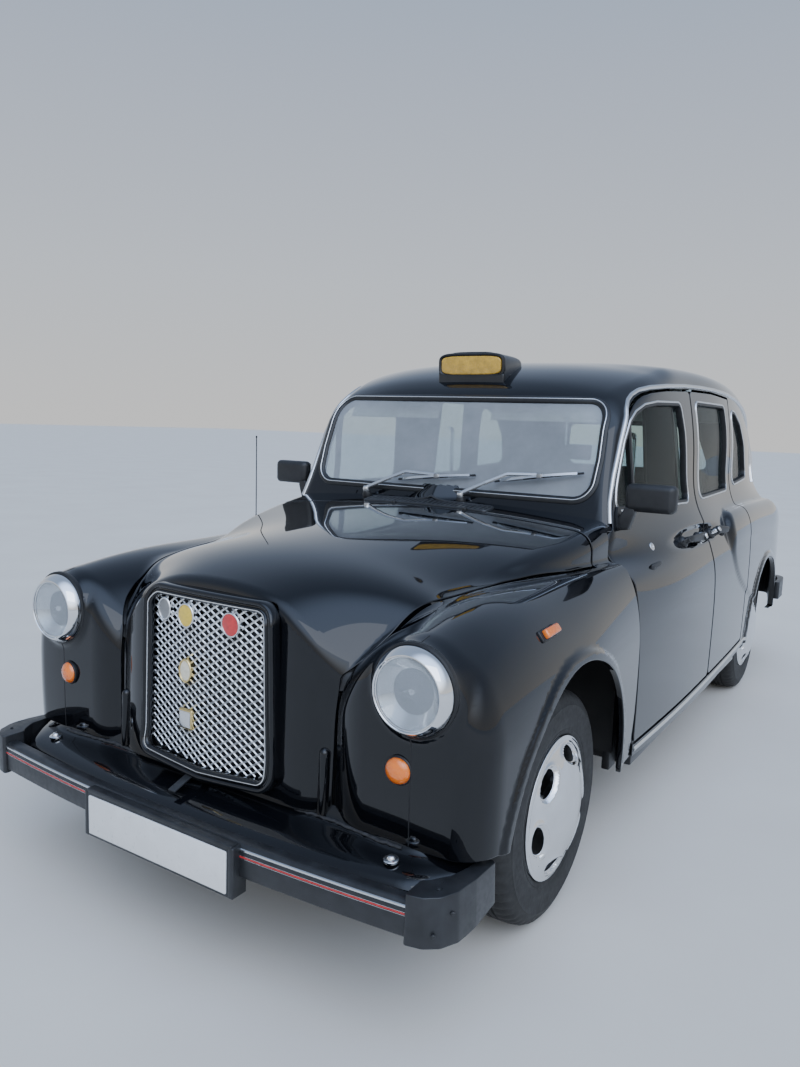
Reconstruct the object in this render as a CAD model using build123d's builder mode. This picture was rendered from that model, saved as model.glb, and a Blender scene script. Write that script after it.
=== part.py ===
from build123d import *
import math
import os

# Four-door taxi cab. Millimetres. +X is the car's left, +Y the rear, +Z up.
# The origin is on the ground, at the middle of the length and width.
# Stations (s) are measured rearward from the front axle.

# ---- driving dimensions ----
WHEELBASE = 2810.0
TRACK = 1420.0
LENGTH = 4575.0
NOSE_S = -800.0                  # front of the front bumper, from the front axle
TAIL_S = NOSE_S + LENGTH
Y0 = -(NOSE_S + TAIL_S) / 2      # adds to a station to give Y
HUB_Z = 342.0
TYRE_R = 342.0
TYRE_W = 175.0
RIM_R = 205.0
KINGPIN_X = 650.0
WALL = 60.0                      # door and side wall thickness
SKIN = 25.0                      # outer part of a door's thickness
ROOF_T = 32.0
PANEL = 18.0                     # wing and bonnet thickness
GAP = 8.0                        # shut lines
GAP_B = 12.0                     # shut line between the doors
DOOR_A_S = 600.0                 # front edge of the front door
DOOR_B_S = 1545.0                # where the two doors meet
DOOR_C_S = 2247.0                # rear edge of the rear door
SILL_Z = 270.0
DOOR_BOTTOM_Z = 372.0
ARCH_F_S, ARCH_F_R = -20.0, 445.0
ARCH_R_S, ARCH_R_R = 2810.0, 425.0
BONNET_REAR_S = 455.0
BONNET_HINGE = (465.0, 1128.0)   # station, height
FRONT_HINGE_X = 838.0
REAR_HINGE_X = 877.0
BOOT_HINGE = (3390.0, 1043.0)    # station, height
PARTITION_S = 1490.0
RAIL_X0, RAIL_X1 = 280.0, 340.0

os.makedirs("parts", exist_ok=True)


def Y(s):
    return s + Y0


def save(builder, name):
    builder.part.label = name
    export_step(builder.part, "parts/" + name + ".step")


def save_members(parts, name):
    """Writes touching members, each its own solid, as one piece."""
    whole = Compound(label=name, children=[s for p in parts for s in p.solids()])
    export_step(whole, "parts/" + name + ".step")


# ---- shape helpers ----
def side_prism(pts, x0, x1):
    """Side-view outline (station, height), extruded across the car."""
    with BuildPart() as p:
        with BuildSketch(Plane.YZ.offset(x0)):
            with BuildLine():
                Polyline(*[(Y(s), z) for s, z in pts], close=True)
            make_face()
        extrude(amount=x1 - x0)
    return p.part


def plan_prism(pts, z0, z1):
    """Plan outline (x, station), extruded upward."""
    with BuildPart() as p:
        with BuildSketch(Plane.XY.offset(z0)):
            with BuildLine():
                Polyline(*[(x, Y(s)) for x, s in pts], close=True)
            make_face()
        extrude(amount=z1 - z0)
    return p.part


def end_prism(pts, s0, s1):
    """End-view outline (x, height), extruded rearward."""
    with BuildPart() as p:
        with BuildSketch(Plane.XZ.offset(-Y(s0))):
            with BuildLine():
                Polyline(*pts, close=True)
            make_face()
        extrude(amount=-(s1 - s0))
    return p.part


def block(x0, x1, s0, s1, z0, z1):
    return plan_prism([(x0, s0), (x1, s0), (x1, s1), (x0, s1)], z0, z1)


def cross_tube(x0, x1, s, z, r):
    with BuildPart() as p:
        with BuildSketch(Plane.YZ.offset(x0)):
            with Locations((Y(s), z)):
                Circle(r)
        extrude(amount=x1 - x0)
    return p.part


def cross_slot(s0, s1):
    """Inverted-U slot for the propeller shaft, open below."""
    return block(-45, 45, s0 - 1, s1 + 1, 200, 325)


def rounded(pts, radii, x0, x1):
    """Side-view outline with each corner rounded, extruded across the car."""
    with BuildPart() as p:
        with BuildSketch(Plane.YZ.offset(x0)):
            with BuildLine():
                FilletPolyline(*[(Y(s), z) for s, z in pts], radius=radii, close=True)
            make_face()
        extrude(amount=x1 - x0)
    return p.part


def inset(pts, t):
    """Moves an open chain of points inward (to its left) by t."""
    out = []
    n = len(pts)
    for i, (x, z) in enumerate(pts):
        dirs = []
        for a, b in ((i - 1, i), (i, i + 1)):
            if 0 <= a and b < n:
                dx, dz = pts[b][0] - pts[a][0], pts[b][1] - pts[a][1]
                length = math.hypot(dx, dz)
                dirs.append((-dz / length, dx / length))
        nx = sum(d[0] for d in dirs) / len(dirs)
        nz = sum(d[1] for d in dirs) / len(dirs)
        scale = t / max(0.5, nx * nx + nz * nz) ** 0.5 / (nx * nx + nz * nz) ** 0.5
        out.append((x + nx * scale, z + nz * scale))
    return out


# ---- front body: one table of half sections ----
# columns: station, then x and z of: bottom, side, haunch, brow, crown, valley, shoulder, deck, centre
FRONT = [
    (-585, (800, 422), (815, 600), (800, 800), (755, 880), (665, 925), (420, 760), (270, 930), (170, 975), (0, 990)),
    (-450, (840, 422), (852, 620), (835, 820), (775, 900), (665, 955), (475, 880), (330, 975), (200, 1020), (0, 1035)),
    (-200, (858, 330), (865, 640), (850, 820), (785, 915), (655, 975), (545, 958), (400, 1015), (250, 1052), (0, 1075)),
    (100, (860, 330), (864, 640), (848, 800), (790, 910), (670, 975), (597, 966), (460, 1045), (280, 1078), (0, 1097)),
    (350, (848, 300), (850, 620), (841, 790), (800, 890), (705, 962), (632, 968), (545, 1068), (320, 1102), (0, 1118)),
    (600, (832, SILL_Z), (834, 600), (834, 779), (805, 863), (747, 935), (709, 975), (690, 1075), (400, 1135), (0, 1152)),
]


def front_solid(t):
    """Front body to its outer skin, or t inside it, open below."""
    with BuildPart() as p:
        for row in FRONT:
            s, pts = row[0], list(row[1:])
            if t:
                pts = inset(pts, t)
                pts[0] = (pts[0][0], 100)
                pts[-1] = (0, row[-1][1] - t)
                if s == FRONT[0][0]:
                    s += t
                if s == FRONT[-1][0]:
                    s += 5
            else:
                pts[0] = (pts[0][0], pts[0][1])
            z0 = pts[0][1]
            ring = [(0, z0)] + pts
            ring += [(-x, z) for x, z in reversed(pts[:-1])]
            with BuildSketch(Plane.XZ.offset(-Y(s))):
                with BuildLine():
                    Polyline(*ring, close=True)
                make_face()
        loft(ruled=True)
    return p.part


# shut line between bonnet and wing, in plan: x, station
SHUT = [(406, -900), (406, -556), (430, -543), (470, -500), (492, -440), (545, -220), (590, 80), (622, 300), (630, 455)]
SHUT_REAR = [(640, 520), (662, 600)]

front_outer = front_solid(0)
front_inner = front_solid(PANEL)
with BuildPart() as front_shell_b:
    add(front_outer)
    add(front_inner, mode=Mode.SUBTRACT)
front_shell = front_shell_b.part


def bonnet_outline(d, rear):
    half = [(x - d, s) for x, s in SHUT]
    half[-1] = (half[-1][0], rear)
    return half + [(-x, s) for x, s in reversed(half)]


# ---- cabin: one table of half sections ----
# columns: station, x at: sill, 600 up, 780 up, 900 up, 990 up, 1050 up, 1110 up, gutter; gutter height, roof crown height
LEVELS = (SILL_Z, 600, 780, 900, 990, 1050, 1110)
CABIN = [
    (600, 832, 834, 834, 781, 712, 704, 690, 610, 1560, 1665),
    (1050, 856, 858, 858, 838, 795, 765, 738, 672, 1608, 1715),
    (1545, 866, 872, 873, 863, 836, 808, 775, 700, 1634, 1740),
    (2000, 868, 874, 874, 869, 856, 838, 795, 708, 1636, 1742),
    (2450, 862, 872, 874, 870, 858, 842, 795, 700, 1612, 1724),
    (2900, 845, 866, 868, 864, 852, 836, 775, 668, 1570, 1674),
    (3300, 815, 845, 848, 842, 828, 805, 735, 610, 1500, 1602),
    (3560, 750, 790, 795, 785, 765, 735, 670, 550, 1400, 1504),
    (3665, 680, 720, 725, 712, 690, 660, 600, 500, 1350, 1454),
]
# side outline of the cabin: station, height
SIDE = [(580, 100), (580, 1160), (628, 1172), (768, 1560), (830, 1608), (900, 1645), (1000, 1680), (1150, 1712),
        (1300, 1728), (1600, 1740), (1900, 1742), (2200, 1736), (2450, 1724), (2700, 1698), (2800, 1672), (2960, 1575),
        (3190, 1135), (3290, 1066), (3440, 1020), (3560, 930), (3640, 800),
        (3668, 640), (3668, 100)]
SIDE_IN = [(560, 50), (560, 1120), (664, 1150), (806, 1532), (852, 1575), (915, 1612), (1010, 1648), (1155, 1680),
           (1300, 1696), (1600, 1708), (1900, 1710), (2200, 1704), (2450, 1692), (2690, 1667), (2780, 1643), (2925, 1550),
           (3150, 1110), (3270, 1030), (3425, 985), (3530, 905), (3605, 785),
           (3632, 630), (3632, 50)]


def cabin_solid(wall, roof):
    with BuildPart() as p:
        for row in CABIN:
            s, xs, zg, zc = row[0], row[1:9], row[9], row[10]
            zs = list(LEVELS) + [zg]
            if wall:
                zs[0] = 100
            pts = [(x - wall, z) for x, z in zip(xs, zs)]
            if wall and s == 600:
                s = 590
            if wall and s == 3665:
                s = 3670
            gx, gz = pts[-1][0], pts[-1][1]
            zc = zc - roof
            gz = gz - roof * 0.4
            pts[-1] = (gx, gz)
            # the roof side rises above the gutter before it turns in
            pts.append((gx - 4, gz + 40 - roof * 0.1))
            pts.append((gx - 38, gz + 72 - roof * 0.5))
            ex, ez = pts[-1]
            with BuildSketch(Plane.XZ.offset(-Y(s))):
                with BuildLine():
                    Polyline(*([(-x, z) for x, z in reversed(pts)] + pts))
                    ThreePointArc((ex, ez), (0, zc), (-ex, ez))
                make_face()
        loft(ruled=True)
    return p.part


with BuildPart() as cabin_outer_b:
    add(cabin_solid(0, 0))
    add(side_prism(SIDE, -1000, 1000), mode=Mode.INTERSECT)
cabin_outer = cabin_outer_b.part
with BuildPart() as cabin_inner_b:
    add(cabin_solid(WALL, ROOF_T))
    add(side_prism(SIDE_IN, -1000, 1000), mode=Mode.INTERSECT)
cabin_inner = cabin_inner_b.part
with BuildPart() as cabin_shell_b:
    add(cabin_outer)
    add(cabin_inner, mode=Mode.SUBTRACT)
cabin_shell = cabin_shell_b.part
print("front shell", round(front_shell.volume / 1e6, 1), "cabin shell", round(cabin_shell.volume / 1e6, 1))

# ---- side openings: station, height ----
FRONT_DOOR = [(DOOR_A_S, DOOR_BOTTOM_Z), (DOOR_A_S, 1098), (668, 1150), (786, 1470), (838, 1542), (912, 1590), (1060, 1610),
              (DOOR_B_S, 1622), (DOOR_B_S, DOOR_BOTTOM_Z)]
REAR_DOOR = [(DOOR_B_S, DOOR_BOTTOM_Z), (DOOR_B_S, 1622), (1900, 1624), (DOOR_C_S, 1612), (DOOR_C_S, DOOR_BOTTOM_Z)]
FRONT_WINDOW = [(715, 1160), (838, 1480), (885, 1535), (960, 1562), (1465, 1572), (1465, 1148)]
REAR_WINDOW = [(1625, 1160), (1625, 1580), (2165, 1578), (2165, 1172)]
QUARTER_WINDOW = [(2320, 1190), (2320, 1560), (2420, 1556), (2560, 1500), (2660, 1390), (2712, 1215)]


def grow(pts, d):
    """Convex outline (clockwise or not) moved out by d, or in by -d."""
    cx = sum(p[0] for p in pts) / len(pts)
    cz = sum(p[1] for p in pts) / len(pts)
    out = []
    n = len(pts)
    for i in range(n):
        (x0, z0), (x1, z1), (x2, z2) = pts[i - 1], pts[i], pts[(i + 1) % n]
        lines = []
        for (ax, az), (bx, bz) in (((x0, z0), (x1, z1)), ((x1, z1), (x2, z2))):
            nx, nz = bz - az, -(bx - ax)
            length = math.hypot(nx, nz)
            nx, nz = nx / length, nz / length
            if nx * (ax - cx) + nz * (az - cz) < 0:
                nx, nz = -nx, -nz
            lines.append((nx, nz, nx * ax + nz * az + d))
        (a, b, c), (e, f, g) = lines
        det = a * f - b * e
        if abs(det) < 1e-6:
            out.append((x1 + a * d, z1 + b * d))
        else:
            out.append(((c * f - b * g) / det, (a * g - c * e) / det))
    return out


def door(outline, window, x0, x1):
    """Door cut from the cabin wall: an outer skin and an inner part set in from its edges."""
    with BuildPart() as p:
        add(cabin_shell)
        add(side_prism(outline, x0, x1), mode=Mode.INTERSECT)
        add(side_prism(window, x0, x1), mode=Mode.SUBTRACT)
    return p.part


def trim_b(outline, gap):
    """Opening outline drawn in by the shut gaps, wider at the line between the doors."""
    pts = grow(outline, -GAP / 2)
    extra = (GAP_B - GAP) / 2
    out = []
    for s, z in pts:
        if abs(s - DOOR_B_S) < GAP:
            s += extra if s > DOOR_B_S else -extra
        out.append((s, z))
    return out


sides = (("left", 1), ("right", -1))
front_openings = grow(FRONT_DOOR, GAP / 2)
rear_openings = grow(REAR_DOOR, GAP / 2)

# thick wall that the doors are cut from, less the step round their inner edges
def step_ring(outline, sign):
    """What is cut from a door's inner edges so that it swings clear."""
    inner = grow(outline, -22)
    with BuildPart() as p:
        add(side_prism(grow(outline, 30), 300 * sign if sign > 0 else -1000, 1000 if sign > 0 else -300))
        add(side_prism(inner, 300 * sign if sign > 0 else -1000, 1000 if sign > 0 else -300), mode=Mode.SUBTRACT)
        add(skin_inner, mode=Mode.INTERSECT)
    return p.part


with BuildPart() as skin_inner_b:
    add(cabin_solid(SKIN, ROOF_T))
skin_inner = skin_inner_b.part

for side, k in sides:
    x0, x1 = (300, 1000) if k > 0 else (-1000, -300)
    for name, outline, window in (("front_door", trim_b(FRONT_DOOR, GAP), FRONT_WINDOW),
                                  ("rear_door", trim_b(REAR_DOOR, GAP), REAR_WINDOW)):
        ring = step_ring(outline, k)
        with BuildPart() as door_b:
            add(door(outline, window, x0, x1))
            add(ring, mode=Mode.SUBTRACT)
        save(door_b, f"{name}_{side}")
        with BuildPart() as glass_b:
            add(cabin_solid(20, ROOF_T))
            add(cabin_solid(26, ROOF_T), mode=Mode.SUBTRACT)
            add(side_prism(grow(window, -0.5), x0, x1), mode=Mode.INTERSECT)
        save(glass_b, f"{name}_glass_{side}")
print("doors done")

# sills, hinge posts and door posts, inside the doors
# columns: height, inner x, outer x of the post behind the line where the doors meet
POST = [(300, 750, 797), (900, 750, 794), (1110, 662, 704), (1680, 580, 622)]
with BuildPart() as posts_b:
    for k in (1, -1):
        for (z0, a0, b0), (z1, a1, b1) in zip(POST, POST[1:]):
            add(end_prism([(k * a0, z0), (k * b0, z0), (k * b1, z1), (k * a1, z1)], 1514, 1582))
        add(block(min(k * 750, k * 830), max(k * 750, k * 830), 604, 2330, SILL_Z, 366))
    add(cabin_inner, mode=Mode.INTERSECT)
    for k in (1, -1):
        add(block(min(k * 750, k * 780), max(k * 750, k * 780), 516, 590, SILL_Z, 820))
        add(block(min(k * 750, k * 795), max(k * 750, k * 795), 590, 620, SILL_Z, 366))
posts = posts_b.part


# ---- body shell: pillars, roof, scuttle, rear body ----
GUTTER_CUT = [(560, 1800), (560, 1700), (860, 1612), (960, 1628), (1545, 1634), (1900, 1636), (2300, 1624), (2700, 1580), (2880, 1520),
              (3400, 1520), (3400, 1800)]
BOOT_LID = [(-500, 560), (-500, 1040), (500, 1040), (500, 560)]                              # x, height
BACKLIGHT = [(-470, 1210), (-400, 1490), (400, 1490), (470, 1210)]                           # x, height
SCREEN = [(-600, 1190), (-575, 1535), (575, 1535), (600, 1190)]                              # x, height

with BuildPart() as body_rest_b:
    add(cabin_shell)
    for x0, x1 in ((300, 1000), (-1000, -300)):
        add(side_prism(front_openings, x0, x1), mode=Mode.SUBTRACT)
        add(side_prism(rear_openings, x0, x1), mode=Mode.SUBTRACT)
        add(side_prism(QUARTER_WINDOW, x0, x1), mode=Mode.SUBTRACT)
        add(cross_tube(x0 if x0 > 0 else -1000, x1 if x0 > 0 else -300, ARCH_R_S, HUB_Z, ARCH_R_R), mode=Mode.SUBTRACT)
    add(end_prism(SCREEN, 500, 900), mode=Mode.SUBTRACT)
    add(end_prism(BACKLIGHT, 2900, 3260), mode=Mode.SUBTRACT)
    add(end_prism([(x * 1.0, z) for x, z in grow(BOOT_LID, GAP / 2)], 3296, 3700), mode=Mode.SUBTRACT)
body_rest = body_rest_b.part
print("body rest", round(body_rest.volume / 1e6, 1))

with BuildPart() as roof_panel:
    add(body_rest)
    add(side_prism(GUTTER_CUT, -1000, 1000), mode=Mode.INTERSECT)
save(roof_panel, "roof_panel")

with BuildPart() as rear_body:
    add(body_rest)
    add(side_prism(GUTTER_CUT, -1000, 1000), mode=Mode.SUBTRACT)
    add(block(-1000, 1000, DOOR_C_S, 3800, 0, 2000), mode=Mode.INTERSECT)
    add(block(-560, 560, 3400, 3800, 200, 484), mode=Mode.SUBTRACT)
rear_quarter = rear_body.part
WING_TOP_Z, WING_TAIL_S = 985.0, 3440.0
with BuildPart() as rear_upper:
    add(rear_quarter)
    for x0, x1 in ((560, 1000), (-1000, -560)):
        add(block(x0, x1, 2200, WING_TAIL_S, 0, WING_TOP_Z), mode=Mode.SUBTRACT)
save(rear_upper, "rear_body")
for side, k in sides:
    with BuildPart() as rear_wing_b:
        add(rear_quarter)
        add(block(min(k * 560, k * 1000), max(k * 560, k * 1000), 2200, WING_TAIL_S, 0, WING_TOP_Z), mode=Mode.INTERSECT)
    save(rear_wing_b, "rear_wing_" + side)

with BuildPart() as body_frame:
    add(body_rest)
    add(side_prism(GUTTER_CUT, -1000, 1000), mode=Mode.SUBTRACT)
    add(block(-1000, 1000, 400, DOOR_C_S, 0, 2000), mode=Mode.INTERSECT)
    add(posts)
save(body_frame, "body_frame")

with BuildPart() as boot_lid:
    add(cabin_shell)
    add(end_prism(grow(BOOT_LID, -GAP / 2), 3386, 3700), mode=Mode.INTERSECT)
save(boot_lid, "boot_lid")
print("body done")

GRILLE = [(-226, 486), (0, 470), (226, 486), (211, 932), (-211, 932)]              # x, height
SURROUND = [(-252, 458), (0, 440), (252, 458), (240, 974), (-240, 974)]
with BuildPart() as surround_b:
    add(end_prism(SURROUND, -665, -585))
    add(side_prism([(-585, 400), (-652, 400), (-604, 985), (-585, 985)], -300, 300), mode=Mode.INTERSECT)
with BuildPart() as bonnet:
    add(front_shell)
    add(plan_prism(bonnet_outline(GAP / 2, BONNET_REAR_S), 300, 1300), mode=Mode.INTERSECT)
    add(surround_b.part)
    add(end_prism(GRILLE, -700, -540), mode=Mode.SUBTRACT)
save(bonnet, "bonnet")

with BuildPart() as grille:
    add(plan_prism([(-226, -600), (0, -616), (226, -600), (226, -594), (0, -610), (-226, -594)], 460, 950))
    add(end_prism(GRILLE, -700, -540), mode=Mode.INTERSECT)
save(grille, "grille")

with BuildPart() as scuttle:
    add(front_shell)
    half = [(634, BONNET_REAR_S + 10), (640, 520), (662, 600)]
    half[-1] = (668, 600)
    add(plan_prism(half + [(-x, s) for x, s in reversed(half)], 300, 1300), mode=Mode.INTERSECT)
save(scuttle, "scuttle")

for side, k in sides:
    half = [(x + GAP / 2, s) for x, s in SHUT[:-1]] + [(634, 455), (644, 520), (666, 592), (1000, 592), (1000, -900)]
    with BuildPart() as wing_b:
        add(front_shell)
        add(plan_prism([(k * x, s) for x, s in half], 200, 1300), mode=Mode.INTERSECT)
        add(cross_tube(300 if k > 0 else -1000, 1000 if k > 0 else -300, ARCH_F_S, HUB_Z, ARCH_F_R), mode=Mode.SUBTRACT)
    save(wing_b, f"front_wing_{side}")
print("front done")

# ---- glass ----
with BuildPart() as windscreen:
    add(side_prism([(642, 1172), (782, 1552), (790, 1552), (650, 1172)], -700, 700))
    add(end_prism(SCREEN, 500, 900), mode=Mode.INTERSECT)
save(windscreen, "windscreen")

with BuildPart() as rear_window:
    add(side_prism([(2944, 1556), (3172, 1128), (3164, 1124), (2936, 1552)], -600, 600))
    add(end_prism(BACKLIGHT, 2900, 3260), mode=Mode.INTERSECT)
save(rear_window, "rear_window")

with BuildPart() as quarter_windows:
    add(cabin_solid(20, ROOF_T))
    add(cabin_solid(26, ROOF_T), mode=Mode.SUBTRACT)
    add(side_prism(QUARTER_WINDOW, -1000, 1000), mode=Mode.INTERSECT)
save(quarter_windows, "quarter_windows")

# ---- chassis ----
RAIL = [(-620, 372), (300, 385), (520, 335), (2270, 335), (2470, 520), (3150, 520), (3350, 450), (3620, 450),
        (3620, 360), (3320, 360), (3120, 430), (2510, 430), (2310, 235), (520, 235), (300, 285), (-620, 285)]
# columns: station from, to, height from, to
CROSSMEMBERS = [(-570, -500, 295, 370), (970, 1030, 235, 335), (1570, 1630, 235, 335), (2130, 2190, 235, 335),
                (2540, 2590, 478, 515), (3540, 3600, 365, 445)]
# columns: station from, to, outer x, height from, to
OUTRIGGERS = [(640, 700, 748, 265, 345), (1500, 1560, 748, 265, 345), (2150, 2200, 748, 265, 345),
              (2206, 2234, 520, 293, 344), (3340, 3400, 520, 393, 440)]
TOW_EYE_R = 16.0
TOW_EYE_S, TOW_EYE_Z = (-738.0, 3700.0), (268.0, 380.0)
members = []
for k in (1, -1):
    with BuildPart() as rail:
        add(side_prism(RAIL, RAIL_X0 if k > 0 else -RAIL_X1, RAIL_X1 if k > 0 else -RAIL_X0))
        # bumper irons, front and rear
        add(block(min(k * 290, k * 330), max(k * 290, k * 330), -729.5, -610, 312, 360))
        add(block(min(k * 290, k * 330), max(k * 290, k * 330), 3600, 3719, 400, 480))
        # jacking pads under the rail
        for s in (800, 1950):
            add(block(min(k * 275, k * 345), max(k * 275, k * 345), s - 45, s + 45, 215, 235))
    members.append(rail.part)
    for s0, s1, xo, z0, z1 in OUTRIGGERS:
        members.append(block(min(k * RAIL_X1, k * xo), max(k * RAIL_X1, k * xo), s0, s1, z0, z1))
for s0, s1, z0, z1 in CROSSMEMBERS:
    with BuildPart() as member:
        add(block(-RAIL_X0, RAIL_X0, s0, s1, z0, z1))
        if 900 < s0 < 2300:
            # slot that the propeller shaft runs through
            add(cross_slot(s0, s1), mode=Mode.SUBTRACT)
    members.append(member.part)
# tow eyes: plates on the end crossmembers, bored across the car
for outline, s, z in (([(-765, 238), (-765, 298), (-620, 298), (-600, 365), (-570, 365), (-570, 238)], TOW_EYE_S[0], TOW_EYE_Z[0]),
                      ([(3600, 350), (3600, 445), (3730, 445), (3730, 350)], TOW_EYE_S[1], TOW_EYE_Z[1])):
    with BuildPart() as tow_plate:
        add(side_prism(outline, -12, 12))
        add(cross_tube(-13, 13, s, z, TOW_EYE_R), mode=Mode.SUBTRACT)
    members.append(tow_plate.part)
save_members(members, "chassis_frame")

with BuildPart() as floor_pan:
    add(side_prism([(516, 345), (2256, 345), (2256, 582), (2256, 600), (2238, 600), (2238, 363), (516, 363)], -749, 749))
    add(side_prism([(2256, 582), (3600, 582), (3600, 600), (2256, 600)], -556, 556))
    add(end_prism([(-790, 345), (-790, 830), (-690, 925), (-640, 940), (-600, 1015), (-320, 1075), (320, 1075), (600, 1015),
                   (640, 940), (690, 925), (790, 830), (790, 345)], 498, 516))
save(floor_pan, "floor_pan")

with BuildPart() as wheelhouses:
    for k in (1, -1):
        xa, xb = (560, 830) if k > 0 else (-830, -560)
        add(cross_tube(xa, xb, ARCH_R_S, HUB_Z, 452))
        add(cross_tube(572 if k > 0 else -840, 840 if k > 0 else -572, ARCH_R_S, HUB_Z, 438), mode=Mode.SUBTRACT)
    add(block(-900, 900, 2300, 3300, 390, 900), mode=Mode.INTERSECT)
    add(cabin_inner, mode=Mode.INTERSECT)
    # inner front wings
    for k in (1, -1):
        add(block(min(k * 352, k * 366), max(k * 352, k * 366), -400, 496, 430, 874))
        add(block(min(k * 366, k * 600), max(k * 366, k * 600), -280, 496, 860, 874))
        add(block(min(k * 345, k * 372), max(k * 345, k * 372), -90, 90, 420, 512), mode=Mode.SUBTRACT)
save(wheelhouses, "wheelhouses")

# ---- running gear ----
with BuildPart() as engine:
    add(block(-220, 220, -280, 440, 480, 900))
    add(block(-150, 150, -200, 400, 405, 480))
    add(block(-95, 95, 440, 490, 420, 620))
    add(block(-95, 95, 400, 880, 245, 338))
    add(block(-95, 95, 400, 490, 245, 480))
save(engine, "engine")

with BuildPart() as front_suspension:
    add(block(-279, 279, -60, 60, 290, 400))
    for k in (1, -1):
        for z0, z1, root_x, half in ((214, 242, 262, 130), (448, 474, 345, 70)):
            add(plan_prism([(k * root_x, -half), (k * 650, -24), (k * 650, 24), (k * root_x, half)], z0, z1))
            with BuildSketch(Plane.XY.offset(z0)):
                with Locations((k * KINGPIN_X, Y(0))):
                    Circle(27)
            extrude(amount=z1 - z0)
            with BuildSketch(Plane.XY.offset(z0 - 1)):
                with Locations((k * KINGPIN_X, Y(0))):
                    Circle(14.05)
            extrude(amount=z1 - z0 + 2, mode=Mode.SUBTRACT)
        add(block(min(k * 240, k * 279), max(k * 240, k * 279), -130, 130, 214, 284))
        add(block(min(k * 240, k * 279), max(k * 240, k * 279), -60, 60, 280, 400))
        add(block(min(k * 262, k * 346), max(k * 262, k * 346), -70, 70, 387, 500))
save(front_suspension, "front_suspension")

for side, k in sides:
    with BuildPart() as knuckle_b:
        with BuildSketch(Plane.XY.offset(206)):
            with Locations((k * KINGPIN_X, Y(0))):
                Circle(14)
        extrude(amount=276)
        add(block(min(k * 628, k * 668), max(k * 628, k * 668), -30, 30, 250, 440))
        add(cross_tube(min(k * 660, k * 672), max(k * 660, k * 672), 0, HUB_Z, 92))
        add(cross_tube(min(k * 650, k * 755), max(k * 650, k * 755), 0, HUB_Z, 16))
        add(block(min(k * 560, k * 640), max(k * 560, k * 640), 90, 112, 262, 280))
        add(block(min(k * 625, k * 650), max(k * 625, k * 650), 20, 112, 262, 280))
    save(knuckle_b, "knuckle_" + side)

with BuildPart() as rear_axle:
    add(cross_tube(-664, 664, WHEELBASE, HUB_Z, 38))
    for k in (1, -1):
        add(cross_tube(min(k * 650, k * 755), max(k * 650, k * 755), WHEELBASE, HUB_Z, 16))
        add(cross_tube(min(k * 640, k * 656), max(k * 640, k * 656), WHEELBASE, HUB_Z, 120))
    with BuildSketch(Plane.YZ.offset(-90)):
        with Locations((Y(WHEELBASE), HUB_Z)):
            Circle(120)
    extrude(amount=180)
    with BuildSketch(Plane.XZ.offset(-Y(885))):
        with Locations((0, 285)):
            Circle(30)
    extrude(amount=-1840)
save(rear_axle, "rear_axle")

with BuildPart() as leaf_springs:
    for k in (1, -1):
        add(side_prism([(2225, 285), (2560, 262), (3060, 262), (3380, 380), (3360, 392), (3050, 304), (2560, 304), (2225, 292)],
                       460 if k > 0 else -510, 510 if k > 0 else -460))
save(leaf_springs, "leaf_springs")

with BuildPart() as exhaust:
    with BuildLine():
        FilletPolyline((-190, Y(190), 460), (-190, Y(330), 330), (-190, Y(620), 195), (-190, Y(2400), 195), (-190, Y(2650), 434),
                       (-190, Y(3010), 434), (-190, Y(3260), 290), (-190, Y(3740), 270), radius=60)
    with BuildSketch(Plane(origin=(-190, Y(190), 460), x_dir=(1, 0, 0), z_dir=(0, 140, -130))):
        Circle(22)
    sweep()
    with BuildSketch(Plane.XZ.offset(-Y(1660))):
        with Locations((-190, 195)):
            Circle(38)
    extrude(amount=-440)
save(exhaust, "exhaust")

with BuildPart() as fuel_tank:
    add(block(-120, 265, 3110, 3500, 330, 560))
save(fuel_tank, "fuel_tank")

# columns: name, side, station, is driven
WHEELS = [("front_left", 1, 0, False), ("front_right", -1, 0, False), ("rear_left", 1, WHEELBASE, True),
          ("rear_right", -1, WHEELBASE, True)]
# half sections: distance from the car's middle, radius
TYRE = [(636, 206), (624, 240), (622.5, 285), (632, 322), (650, 340), (680, 342), (740, 342), (770, 340), (788, 322),
        (797.5, 285), (796, 240), (784, 206)]
WHEEL = [(745, 16.05), (760, 16.05), (760, 0), (836, 0), (834, 60), (822, 130), (802, 185), (796, 209), (786, 205),
         (636, 205), (636, 192), (740, 188), (745, 120), (735, 70), (690, 60), (690, 16.05)]
DRUM = [(745, 16.05), (760, 16.05), (760, 0), (836, 0), (834, 60), (822, 130), (802, 185), (796, 209), (786, 205),
        (636, 205), (636, 192), (740, 188), (740, 125), (664, 125), (664, 60), (690, 16.05)]
for name, k, s, driven in WHEELS:
    with BuildPart() as tyre_b:
        with BuildSketch(Plane.XY):
            with BuildLine():
                Polyline(*[(k * x, Y(s) + r) for x, r in TYRE], close=True)
            make_face()
        revolve(axis=Axis((0, Y(s), 0), (1, 0, 0)), revolution_arc=360)
    with BuildPart() as tyre_up:
        add(tyre_b.part.moved(Location((0, 0, HUB_Z))))
    save(tyre_up, "tyre_" + name)
    prof = DRUM if driven else WHEEL
    with BuildPart() as wheel_b:
        with BuildSketch(Plane.XY):
            with BuildLine():
                Polyline(*[(k * x, Y(s) + r) for x, r in prof], close=True)
            make_face()
        revolve(axis=Axis((0, Y(s), 0), (1, 0, 0)), revolution_arc=360)
    with BuildPart() as wheel_up:
        add(wheel_b.part.moved(Location((0, 0, HUB_Z))))
    save(wheel_up, "wheel_" + name)
print("running gear done")

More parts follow.
